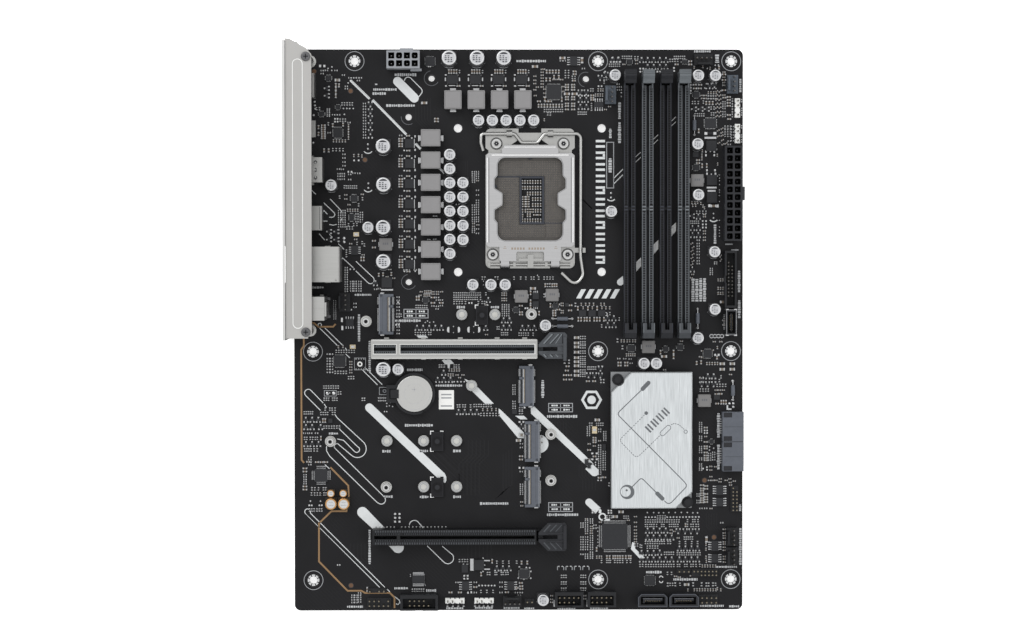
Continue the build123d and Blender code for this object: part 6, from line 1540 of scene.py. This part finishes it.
# turned metal spacers and push stops
for x, y in ((28.9, 140.9), (118.6, 144.7), (9.4, 75.7), (39.7, 50.8), (129.2, 79.4), (129.2, 54.2)):
    band(x, y, 1.5, 0.4, 6.96, 7.12, SOLDER, sides=40)
    band(x, y, 2, 0.16, 6.96, 7.06, SCREW_GREY, sides=40)
    # the near-black column in each spacer's hole is painted shade
    disc(x, y, 0.84, 2.25, 6.9, PAINTED_DEPTH_SHADE, 20)
    band(x, y, 0.92, 0.16, 6.96, 7.05, CAN_INK, sides=28)
# two darker grey rings round each push stop are painted shade on its rounded edge; the raised middle is in
# the stop's own plastic
for x, y in ((80.8, 144.5), (98.8, 144.5), (40.1, 75.9), (60, 75.9), (77.9, 75.9), (60, 50.9), (77.9, 50.9),
             (86.1, 105.9)):
    band(x, y, 1.9, 0.34, 4.28, 4.36, EPS_GREY, sides=40)
    band(x, y, 2.6, 0.3, 4.28, 4.38, EPS_GREY, sides=40)
    disc(x, y, 1.4, 4.25, 4.5, NATURAL, 28, 0.14)
for x, y in PADS:
    box_ring(x, y, 6.1, 9.8, 0.2, 3.16, 3.26, DARK)
    # a near-black ring round the middle of each pad is painted shade
    band(x, y, 1.9, 0.5, 3.58, 3.66, PAINTED_DEPTH_SHADE, sides=36)
    disc(x, y, 1.3, 3.5, 3.62, DARK, 24, 0.05)

# cell: stamped rings and a cross on its face, none of it lettered
band(55, 101.6, 8.6, 0.16, 5.76, 5.86, TIN, sides=72)
band(55, 101.6, 5.4, 0.12, 5.76, 5.84, TIN, sides=60)
block(55, 104, 2.2, 0.35, 5.76, 5.84, TIN, 0.05)
block(55, 104, 0.35, 2.2, 5.76, 5.84, TIN, 0.05)

# drive ports: pale rims on the upright pair, dark mouths and gold contacts
for x in (184.2, 201.2):
    marks.ribbon([(x - 7.7, -13.9), (x + 7.7, -13.9), (x + 7.7, -8.9), (x + 6.1, -7.3), (x - 6.1, -7.3),
                  (x - 7.7, -8.9)], 0.26, BLUE_GREY, 10.16, 10.28, True)
    box_ring(x, -10.7, 13.1, 4.3, 0.12, 2.7, 10.1, BLACK)
    block(x, -10.2 + 0.6, 10.5, 0.16, 9.4, 9.68, EPS_GREY, 0.03)
    for i in range(7):
        block(x - 3.9 + 1.27 * i, -10.9, 0.55, 0.16, 3.2, 9.3, GOLD, 0.03)
for y in (83.6, 67.4):
    for side in SIDES:
        block(225, y + side * 6.4, 4.5, 2.5, 8.2, 8.36, DARK, 0)
    for i in range(7):
        block(229.4, y - 3 + 1.2 * i, 6.2, 0.5, 5.36, 5.48, GOLD, 0.03)
        block(221.6, y - 3.8 + 1.27 * i, 1.6, 0.5, SUNK, 2.2, TIN, 0.08)
    block(228, y, 9.6, 0.24, 8.76, 8.86, GREY, 0.04)
block(227.9, 75.5, 11.2, 0.3, 8.6, 8.86, DARK, 0.05)

# front panel port: black tongue and lining, bright contacts and corner clips
block(226.8, 140.3, 1.12, 9.72, 2.62, 8.7, BLACK, 0.1)
box_ring(226.8, 140.3, 4.06, 11.66, 0.12, 2.7, 9.94, BLACK)
block(226.8, 140.3, 4, 11.6, 2.5, 2.7, BLACK, 0)
for i in range(9):
    for side in SIDES:
        block(226.8 + side * 0.6, 136.5 + 0.95 * i, 0.14, 0.45, 4, 8.3, GOLD, 0.03)
        block(226.8 + side * 3.2, 136.5 + 0.95 * i, 0.9, 0.4, SUNK, 2, TIN, 0.05)
for side in SIDES:
    for end in SIDES:
        block(226.8 + side * 2.2, 140.3 + end * 6.9, 1.6, 0.9, SUNK, 9.9, SOLDER, 0.15)

marks.ribbon([(224.15, 133.55), (229.45, 133.55), (229.45, 147.05), (224.15, 147.05)], 0.14, TIN, 9.97, 10.04,
    True)

# blue-grey shells over two of the fan headers, and dull tips on the pins that show least
for x, y in ((161.6, 263.6), (227.8, 269.3)):
    box_ring(x, y, 5.98, 9.98, 0.1, BOARD, 4.7, FAN_BLUE)
    block(x, y, 5.9, 9.9, 4.7, 4.86, FAN_BLUE, 0.05)
    block(x - 2.5, y, 1.08, 7.08, 4.8, 12.66, FAN_BLUE, 0.08)
PITCH = 2.54


def pin_tip(x, y, level):
    block(x, y, 0.7, 0.7, level, level + 0.14, SCREW_GREY, 0.1)


FAN_PINS = [(x + 0.6, y + 2.54 * (i - 1.5)) for x, y in ((161.6, 263.6), (227.8, 269.3), (227.8, 23.4),
                                                         (227.8, 12.7), (17.4, 151.3)) for i in range(4)]
FAN_PINS += [(212 + 2.54 * (i - 1.5), 283.2) for i in range(4)]
FAN_PINS += [(108.1 + 2.54 * (i - 1.5), -12.2) for i in range(4)]
for x, y in FAN_PINS:
    pin_tip(x, y, 10.9)
for i in range(2):
    for j in range(10):
        if (i, j) != (1, 9):
            pin_tip(226.4 + 2 * (i - 0.5), 163.6 + 2 * (j - 4.5), 7.9)
SIDE_STRIPS = ((230.5, 256.5), (230.5, 242.6))
LOWER_STRIPS = ((76.9, -11.1), (92.8, -11.1))
for x, y in SIDE_STRIPS:
    for i in (0, 2, 3):
        pin_tip(x, y + PITCH * (i - 1.5), 10.3)
for x, y in LOWER_STRIPS:
    for i in (0, 1, 3):
        pin_tip(x + PITCH * (i - 1.5), y, 10.3)

# cross recesses of the cover's screws, drawn as dark crosses of painted shade, with a thin bright ring round
# each head
for x, y in ((-1.3, 281.6), (-1.5, 136.1)):
    for turn in (0, 90):
        block(x, y, 2.5, 0.52, 41.85, 42, CAN_INK, 0, turn)
    band(x, y, 2.3, 0.14, 42, 42.1, SOLDER, sides=36)

# header strips: notches between the places, raised rims
for x, y in SIDE_STRIPS:
    for i in range(3):
        for side in SIDES:
            disc(x + side * 1.42, y - 2.54 + 2.54 * i, 0.4, 3, 4.46, CAN_INK, 12)
for x, y in LOWER_STRIPS:
    for i in range(3):
        for side in SIDES:
            disc(x - 2.54 + 2.54 * i, y + side * 1.42, 0.4, 3, 4.46, CAN_INK, 12)
for x, y, length, width in ((57.5, -11.5, 20.4, 8.4), (138.9, -10, 15.4, 8.2), (156.6, -10, 15.4, 8.2)):
    box_ring(x, y, length - 0.5, width - 0.5, 0.2, 10.36, 10.48, DARK)
    box_ring(x, y - 0.5, length - 2.6, width - 2.8, 0.16, 2.7, 10.3, BLACK)
box_ring(226.4, 163.6, 5.9, 30.3, 0.2, 10.36, 10.48, DARK)

# stamped line art on the heatsink
TOP_FACE = 10.38


def etched(route, width=0.5, closed=False):
    marks.ribbon(route, width, SINK_LINE, TOP_FACE, TOP_FACE + 0.05, closed)


def bar(x0, y0, x1, y1, radius):
    a = math.degrees(math.atan2(y1 - y0, x1 - x0))
    marks.prism(arc(x0, y0, radius, a + 90, a + 270, 10) + arc(x1, y1, radius, a - 90, a + 90, 10), TOP_FACE,
                TOP_FACE + 0.06, SINK_LINE)


def dashes(route):
    """Short strokes along a route, about one millimetre apart."""
    for (x0, y0), (x1, y1) in zip(route, route[1:]):
        length = math.hypot(x1 - x0, y1 - y0)
        count = max(1, round(length / 1.5))
        u, v = unit(x1 - x0, y1 - y0)
        for i in range(count):
            s = length * (i + 0.25) / count
            etched([(x0 + u * s, y0 + v * s), (x0 + u * (s + 0.9), y0 + v * (s + 0.9))], 0.36)


bar(178.6, 104.3, 181.8, 107.6, 1.1)
etched([(178.3, 104), (166.2, 92.3), (165.5, 91.4), (165.4, 90.6), (165.8, 89.8), (201.3, 53.9),
    (202.3, 52.5), (202.4, 51.6), (202, 50.8), (194.3, 42.8), (193.3, 42.2), (192.3, 42.2), (191.4, 42.7),
    (190.4, 43.7)])
bar(189.4, 44.8, 186.6, 47.6, 1.1)
etched([(186.2, 48), (179.2, 55), (178.4, 55.6), (177.5, 55.6), (176.8, 55.1), (173, 51.3)])
disc(170.3, 48.5, 3.9, TOP_FACE, TOP_FACE + 0.06, SINK_LINE, 48)
disc(169.5, 48.6, 2.75, TOP_FACE, TOP_FACE + 0.1, SINK, 40)
disc(170, 49.4, 0.6, TOP_FACE, TOP_FACE + 0.13, SINK_LINE, 16)
disc(180.6, 91.2, 1, TOP_FACE, TOP_FACE + 0.06, SINK_LINE, 24)
dashes([(179.9, 90.5), (167, 77.6), (166.6, 76.6), (167, 75.4), (174, 68.2), (175.2, 67.6), (176.6, 68),
        (188, 79)])
etched(arc(189.4, 80.2, 1.3, 135, 315, 8) + arc(192.6, 83.3, 1.3, -45, 135, 8), 0.32, True)
dashes([(193.7, 84.7), (195.8, 85.6), (198.4, 84.9), (201.2, 82.3)])
band(202, 81.1, 0.9, 0.32, TOP_FACE, TOP_FACE + 0.05, SINK_LINE, sides=28)
for i in range(4):
    x, y = 181.6 + 2.95 * i, 82.4 + 2.95 * i
    block(x, y, 4.4, 1, TOP_FACE, TOP_FACE + 0.05, SINK_LINE, 0, 135)
    block(x + 1.25, y + 1.25, 4.4, 0.9, TOP_FACE, TOP_FACE + 0.05, SINK_LINE, 0, 135)

# white outline round the channel in the rear cover, a painted highlight on its edge
marks.ribbon(arc(-5.7, 277.65, 2.6, 0, 180, 16) + arc(-5.7, 140.75, 2.6, 180, 360, 16), 0.55, WHITE, 41.2,
    41.5, True)
marks.make("part_marks")


# ---------------------------------------------------------------- processor socket interior

field = Pile()
box_ring(118.9, 206.5, 12.2, 24.8, 1.1, BOARD, 4.1, SOCKET_RIM, field)
field.ribbon([(98.9, 219.2), (112.3, 219.2)], 0.7, SOCKET_RIM, 3.1, 3.55)
field.ribbon([(125.5, 194.2), (137.4, 194.2)], 0.7, SOCKET_RIM, 3.1, 3.55)
COLUMNS = (113.9, 115.2, 116.6, 118, 119.4, 120.9, 122.2, 123.7)
CAVITY = [(u, v, 0) for v in (216.5, 213.3) for u in COLUMNS] + [(u, 210.2, 0) for u in COLUMNS[2:]]
CAVITY += [(u, v, 0) for u in COLUMNS[4:] for v in (207.1, 204)]
CAVITY += [(u, v, 90) for u in (114.6, 116.6) for v in (208.4, 207.1, 205.8, 204.5, 203.2)]
CAVITY += [(u, 200.9, 0) for u in (113.9, 115.4, 120.9, 122.2, 123.7)]
CAVITY += [(u, v, 90) for u in (117.2, 118.9) for v in (201.6, 200.2)]
CAVITY += [(u, v, 0) for u, v in ((113.9, 198.2), (116.6, 198.4), (118, 198.4))]
CAVITY += [(u, 198.6, 90) for u in (120.6, 122.9)]
CAVITY += [(u, 195.6, 0) for u in COLUMNS]
for x, y, turn in CAVITY:
    c, s = math.cos(math.radians(turn)), math.sin(math.radians(turn))
    field.block(x, y, 0.7, 1.1, SUNK, 2.35, CERAMIC_GREY, 0.06, turn)
    for side in SIDES:
        field.block(x - s * side * 0.78, y + c * side * 0.78, 0.74, 0.46, SUNK, 2.38, SOLDER, 0.07, turn)
# spring contacts in their pockets, on a square grid round the cavity
for i in range(36):
    for j in range(44):
        x, y = 101.2 + 0.94 * i, 186.9 + 0.94 * j
        if (abs(x - 118.9) > 7.1 or abs(y - 206.5) > 13.3) and not (x < 112.5 and abs(y - 219.5) < 0.7) \
                and not (x > 125.5 and abs(y - 195.2) < 0.7):
            field.block(x, y, 0.5, 0.62, 3.48, 3.53, SOCKET_RIM, 0)
            field.block(x, y + 0.1, 0.24, 0.5, 3.5, 3.72, BRONZE, 0.05)
# clips and stops along the outer wall
for x, y in ((99.2, 214), (137.4, 199), (118, 229.3), (118, 184)):
    field.block(x, y, 1.4, 1.4, 3.2, 4.6, SOCKET_RIM, 0.1)
field.make("socket_interior")

# engraved bars on the lower rim of the load plate and ribs on the card latches; each rides on its own part
engraving = Pile()
for i in range(12):
    if i != 5:
        engraving.block(108.2 + 1.55 * i, 180.3, 0.95, 1.2, 6.47, 6.515, PLATE_MARK, 0)
for x in (104.2, 131.8):
    engraving.block(x, 180.4, 1.8, 0.3, 6.47, 6.515, PLATE_MARK, 0)
    engraving.block(x, 181.3, 1.1, 0.3, 6.47, 6.515, PLATE_MARK, 0)
# painted shade round the plate's window edge, and painted highlights along both long edges and across the
# top, each long one with a thin line of painted shade inside it
half_window = [(17.95, -22.8 + 4), (17.95, -13), (19.55, -11.1), (19.55, -5.75), (15.2, -2.95), (15.2, 2.95),
               (19.55, 5.75), (19.55, 11.1), (17.95, 13), (17.95, 22.8 - 4), (16.8, 21.7), (14, 22.8)]
outline = [(14, -22.8), (16.8, -21.7)] + half_window
outline = [(117.9 + x, 207.1 + y) for x, y in outline] + [(117.9 - x, 207.1 + y) for x, y in outline[::-1]]
engraving.ribbon(outline, 0.3, PLATE_PAINTED_SHADE, 6.45, 6.54, True)
for side in SIDES:
    engraving.block(117.9 + side * 23.2, 206.6, 0.9, 46, 6.44, 6.56, PLATE_PAINTED_HIGHLIGHT, 0.1)
    engraving.block(117.9 + side * 22.3, 206.6, 0.4, 46, 6.45, 6.53, PLATE_PAINTED_SHADE, 0.03)
engraving.block(117.9, 230.9, 42, 0.8, 6.44, 6.56, PLATE_PAINTED_HIGHLIGHT, 0.1)
engraving.block(117.9, 235.2, 28, 0.6, 6.44, 6.55, PLATE_PAINTED_HIGHLIGHT, 0.1)
engraving.make("load_plate_marks", "load_plate")
for body, slot, y, made in (("pcie_latch_1", "grey_plastic", SLOT_1, RAIL_LINE),
                            ("pcie_latch_2", "dark_grey_plastic", SLOT_2, GREY)):
    ribs = Pile()
    up, down = (8.3, 4.7) if body == "pcie_latch_1" else (7, 6.9)
    # ribs drawn lighter than their latch are a painted highlight on their edges; the grooves between them and
    # the block at their ends are painted shade
    for side, reach in ((1, up), (-1, down)):
        for x, tone, wide in ((125, made, 0.7), (125.8, RIB_SHADE, 0.5), (128.4, made, 0.6),
                              (129.2, RIB_SHADE, 0.5), (131.4, made, 0.4)):
            rise = reach - 3.2
            ribs.ribbon([(x, y + side * 2.9), (min(x + rise * 0.92, 134.8), y + side * (2.9 + rise))], wide,
                tone, 12.75, 13 if tone is made else 12.86)
        ribs.block(135.2, y + side * (2.9 + (reach - 2.9) / 2), 0.4, reach - 3.3, 12.75, 13.1, RIB_SHADE, 0.1)
    ribs.make(body + "_ribs", body)


# ---------------------------------------------------------------- rear ports, seen from the side

ports = Pile()


def contacts_row(y0, y1, count, x, z, made=GOLD, length=4):
    for i in range(count):
        y = y0 + (y1 - y0) * (i + 0.5) / count
        ports.block(x, y, length, abs(y1 - y0) / count * 0.45, z - 0.06, z + 0.07, made, 0.02)


def lining(y0, y1, z0, z1, x0, x1, made):
    """A thin box-shaped lining, open at both ends, inside a port that faces -X."""
    t = 0.12
    length = x1 - x0
    middle = (x0 + x1) / 2
    ports.block(middle, (y0 + y1) / 2, length, y1 - y0, z0, z0 + t, made, 0)
    ports.block(middle, (y0 + y1) / 2, length, y1 - y0, z1 - t, z1, made, 0)
    ports.block(middle, y0 + t / 2, length, t, z0 + t, z1 - t, made, 0)
    ports.block(middle, y1 - t / 2, length, t, z0 + t, z1 - t, made, 0)


for (y0, y1), back in (((261.4, 274.4), 1.8), ((190.2, 203.2), 5.8)):
    for floor_z, ceiling, tongue in ((2.15, 8.55, 4.6), (10.25, 16.65, 12.6)):
        lining(y0 + 0.55, y1 - 0.55, floor_z, ceiling, -11.6, back - 3.2, BLACK)
        ports.block(back - 3.4, (y0 + y1) / 2, 0.5, y1 - y0 - 1.4, floor_z, ceiling, BLACK, 0)
        ports.block((-11.3 + back - 3.2) / 2, (y0 + y1) / 2, back - 3.2 + 11.3, y1 - y0 - 2.3, tongue - 0.05,
                    tongue + 1.86, TONGUE_BLUE if y0 > 200 else TONGUE_RED, 0.1)
        contacts_row(y0 + 2.2, y1 - 2.2, 5, -8.6, tongue + 1.9)
    # spring tabs pressed into the roof
    for y in (y0 + 3.3, y1 - 3.3):
        ports.ribbon([(-9, y - 0.8), (-4.4, y - 0.8), (-4.4, y + 0.8), (-9, y + 0.8)], 0.2, CAN_INK, 17.16,
                     17.23, True)
        ports.block(-6.6, y, 3.6, 1, 17.1, 17.28, PORT_STEEL, 0.08)
    ports.block(back - 1.2, (y0 + y1) / 2, 0.25, y1 - y0 - 1, 17.15, 17.23, CAN_INK, 0.02)
lining(241.2, 249, 2.15, 4.85, -11.8, -1.4, BLACK)
ports.block(-6.4, 245.1, 9.6, 6.1, 3.02, 3.98, BLACK, 0.15)
contacts_row(242.4, 247.8, 10, -8.4, 4)
lining(216.6, 228.4, 13.7, 19.5, -12, 0.9, BLACK)
ports.block(-5.4, 222.5, 12, 8.9, 15.95, 17.25, BLACK, 0.15)
contacts_row(218.6, 226.4, 10, -8.6, 17.28)
lining(215.2, 229.8, 2.2, 8.6, -12, -2.2, BLACK)
ports.block(-7.2, 222.5, 8.6, 11.3, 4.7, 6.1, BLACK, 0.15)
contacts_row(217.4, 227.6, 10, -8.6, 6.12)
ports.block(2.6, 222.5, 2.8, 10.6, 19.96, 20.06, SCREW_GREY, 0.02)
for y in (218.6, 222.5, 226.4):
    ports.disc(2.6, y, 0.45, 20, 20.14, WHITE, 16)
ports.block(-3.2, 222.5, 0.2, 12.8, 20.96, 21.05, CAN_INK, 0.02)
# network jack: dark mouth, eight springs, two lamps in the upper corners
lining(165.65, 177.95, 17.65, 25.95, -12.2, 2.95, BLACK)
ports.block(2.9, 171.8, 0.3, 12.2, 17.7, 25.9, BLACK, 0)
for i in range(8):
    y = 171.8 + 1.02 * (i - 3.5)
    ports.tube([(2.6, y, 24.8), (-3, y, 24.6), (-8, y, 21.6), (-8.6, y, 21.2)], 0.16, GOLD, 6)
for y, made in ((166.9, LAMP_GREEN), (176.7, LAMP_AMBER)):
    ports.block(-12.2, y, 0.5, 1.9, 26.3, 28.2, made, 0.05)
for floor_z in (3, 9.4):
    lining(165.25, 178.35, floor_z + 0.04, floor_z + 5.36, -12.2, 0.9, BLACK)
    ports.block(-5.2, 171.8, 12.3, 10.9, floor_z + 1.55, floor_z + 3.46, TONGUE_BLUE, 0.1)
    contacts_row(167.6, 176, 5, -8.8, floor_z + 3.5)
ports.block(-9, 171.9, 0.22, 18.4, 28.95, 29.05, CAN_INK, 0.02)
for i in range(3):
    ports.block(3, 168.4 + 3.4 * i, 5.6, 1.3, 28.95, 29.06, PORT_STEEL, 0.05)
for y in (164.2, 179.5):
    ports.ribbon([(-6, y - 0.7), (0, y - 0.7), (0, y + 0.7), (-6, y + 0.7)], 0.18, CAN_INK, 28.97, 29.04,
                 True)
for y in (162.2, 181.5):
    ports.block(8.2, y, 3.2, 0.9, SUNK, 5, PORT_STEEL, 0.2)
# round audio jacks: coloured rims and bright sleeves
for z, made in ((7.6, JACK_PINK), (19.4, JACK_GREEN), (31.2, JACK_BLUE)):
    for radius, width, x0, x1, tone in ((3.3, 1.5, -13.95, -13.6, made), (1.95, 0.35, -14.05, -6, GOLD)):
        inner, outer, steps = radius - width / 2, radius + width / 2, 36
        sections = []
        for i in range(steps):
            a = 2 * math.pi * i / steps
            sections.append([(x, 148.4 + r * math.cos(a), z + r * math.sin(a))
                             for r, x in ((inner, x0), (inner, x1), (outer, x1), (outer, x0))])
        ports.loft(sections, tone, True)
for y in (141.7, 155.1):
    for x in (-2, 5):
        ports.block(x, y, 2.2, 0.8, SUNK, 4.2, PORT_STEEL, 0.2)
ports.block(8.8, 143.6, 1.8, 1.8, SUNK, 2.6, SCREW_GREY, 0.2)
ports.block(8.8, 153.2, 1.8, 1.8, SUNK, 2.6, SCREW_GREY, 0.2)
ports.make("port_interiors")


# ---------------------------------------------------------------- solder joints under the board

joints = Pile()


def joint(x, y, radius=0.62, height=0.75):
    joints.dome(x, y, radius, 0.01, -height, SOLDER, 8, 2)


for number in range(4):
    x = DIMM_X + DIMM_PITCH * number
    for y in (134, 202, 272):
        joint(x, y, 0.9, 0.9)
for y in (SLOT_1, SLOT_2):
    for i in range(82):
        for side in SIDES:
            joint(33.9 + 1 * i + (3 if i > 11 else 0), y + side * (1.2 if i % 2 else 2.8), 0.45, 0.6)
for x, y in MAIN_CELLS + CPU_CELLS:
    joint(x, y, 1.1, 1.1)
for x, y, columns, rows, pitch in ((57.5, -12, 5, 2, 2.54), (138.9, -10.5, 5, 2, 2.54),
        (156.6, -10.5, 5, 2, 2.54), (35.7, -12.1, 5, 2, 2.54), (34.6, -5.6, 4, 1, 2.54),
        (215, -10.8, 4, 2, 2.54), (117.5, -11.6, 2, 1, 2.54), (229.2, 44, 2, 7, 2), (213, 3.7, 7, 2, 2),
        (201.5, 4.6, 3, 1, 2.54), (226.4, 163.6, 2, 10, 2), (162.2, 263.6, 1, 4, 2.54),
        (228.4, 269.3, 1, 4, 2.54), (228.4, 23.4, 1, 4, 2.54), (228.4, 12.7, 1, 4, 2.54),
        (18, 151.3, 1, 4, 2.54), (212, 283.2, 4, 1, 2.54), (108.1, -12.2, 4, 1, 2.54),
        (230.5, 256.5, 1, 4, 2.54), (230.5, 242.6, 1, 4, 2.54), (76.9, -11.1, 4, 1, 2.54),
        (92.8, -11.1, 4, 1, 2.54), (-6, 267.9, 4, 2, 2.5), (-2, 196.7, 4, 2, 2.5), (-5, 222.5, 2, 9, 1.2),
        (4, 171.8, 5, 6, 2.2), (0, 148.4, 5, 3, 3.4)):
    for i in range(columns):
        for j in range(rows):
            joint(x + pitch * (i - (columns - 1) / 2), y + pitch * (j - (rows - 1) / 2), 0.72, 0.85)
for x, y in ((-9, 261), (-9, 274.8), (0.5, 261), (0.5, 274.8), (-9, 190), (-9, 203.4), (4, 190),
             (4, 203.4), (-6, 214.6), (-6, 230.4), (8.2, 162.2), (8.2, 181.5), (-4, 162.2), (-4, 181.5),
             (42.6, 101.6), (66.5, 101.6)):
    joint(x, y, 1.3, 1)
# small parts and print on the back
draw = random.Random(23)
for i in range(120):
    x, y = draw.uniform(95, 140), draw.uniform(188, 226)
    if abs(x - 117.9) < 13 and abs(y - 207.2) < 17:
        joints.block(x, y, 1, 0.55, -0.55, 0.02, CERAMIC, 0, draw.choice((0, 90)))
for x0, y0, x1, y1 in ((20, 20, 150, 120), (60, 130, 145, 160), (165, 130, 225, 280)):
    for i in range(70):
        x, y = round(draw.uniform(x0, x1) / 1.27) * 1.27, round(draw.uniform(y0, y1) / 1.27) * 1.27
        joints.disc(x, y, 0.34, -0.03, 0.01, VIA, 10)
for x, y, length in ((60, 262, 24), (185, 60, 26), (90, 10, 30), (30, 200, 18), (195, 10, 20)):
    for i in range(int(length / 1.6)):
        joints.block(x + 1.6 * i, y, 1.05, 1.5, -0.03, 0.01, INK_SOFT, 0)
for x, y in HOLES:
    joints.band(x, y, 3.2, 1.8, -0.05, 0.01, SOLDER, sides=40)
joints.make("solder_joints")


# ---------------------------------------------------------------- floor, lights and camera

FLOOR_Z = cad_low.z - 0.0001
floor_mesh = bpy.data.meshes.new("floor")
half = 3
floor_mesh.from_pydata([(-half, -half, 0), (half, -half, 0), (half, half, 0), (-half, half, 0)], [],
    [(0, 1, 2, 3)])
floor = bpy.data.objects.new("floor", floor_mesh)
floor.location = (0.1, 0.15, FLOOR_Z)
bpy.context.scene.collection.objects.link(floor)
pale = finish("pale_floor", (0.96, 0.96, 0.96, 1), 0.75, 0, 0.005, 3, 40, 0)
feed(pale.node_tree, pale.node_tree.nodes["Principled BSDF"],
     {"Emission Color": (1, 1, 1, 1), "Emission Strength": 0.6})
floor_mesh.materials.append(pale)

world = bpy.data.worlds.new("studio")
bpy.context.scene.world = world
world.use_nodes = True
tree = world.node_tree
# a plain dome, brightest overhead, so that bent metal shows its shape
around = add(tree, "TexCoord", {}).outputs["Generated"]
upward = add(tree, "SeparateXYZ", {"Vector": around}).outputs["Z"]
feed(tree, tree.nodes["Background"], {"Color": (1, 1, 1, 1), "Strength": to_range(tree, upward, 0.34, 1.1)})


def softbox(name, place, target, size, power):
    lamp = bpy.data.lights.new(name, "AREA")
    lamp.shape = "RECTANGLE"
    lamp.size, lamp.size_y = size
    lamp.energy = power
    lit = bpy.data.objects.new(name, lamp)
    lit.location = place
    lit.rotation_euler = (Vector(target) - Vector(place)).to_track_quat("-Z", "Y").to_euler()
    bpy.context.scene.collection.objects.link(lit)


CENTRE = (0.11, 0.136, 0)
softbox("key", (-0.75, 1.15, 1.5), CENTRE, (1.2, 1.2), 14)
softbox("fill", (1.3, -0.2, 1.2), CENTRE, (1, 1.4), 4.5)

camera_data = bpy.data.cameras.new("camera")
camera_data.sensor_width = 36
camera_data.lens = 96.94    # fitted, with the place and turn below, to the board's holes
camera_data.clip_start = 0.05
camera_data.clip_end = 20
camera = bpy.data.objects.new("camera", camera_data)
turn_x, turn_y, turn_z = (math.radians(v) for v in (-1.322, -0.949, -0.045))
aim = Matrix.Rotation(turn_z, 4, "Z") @ Matrix.Rotation(turn_y, 4, "Y") @ Matrix.Rotation(turn_x, 4, "X")
camera.matrix_world = Matrix.Translation((0.08332, 0.17503, 1.5)) @ aim
bpy.context.scene.collection.objects.link(camera)
bpy.context.scene.camera = camera
bpy.context.scene.view_settings.view_transform = "Standard"
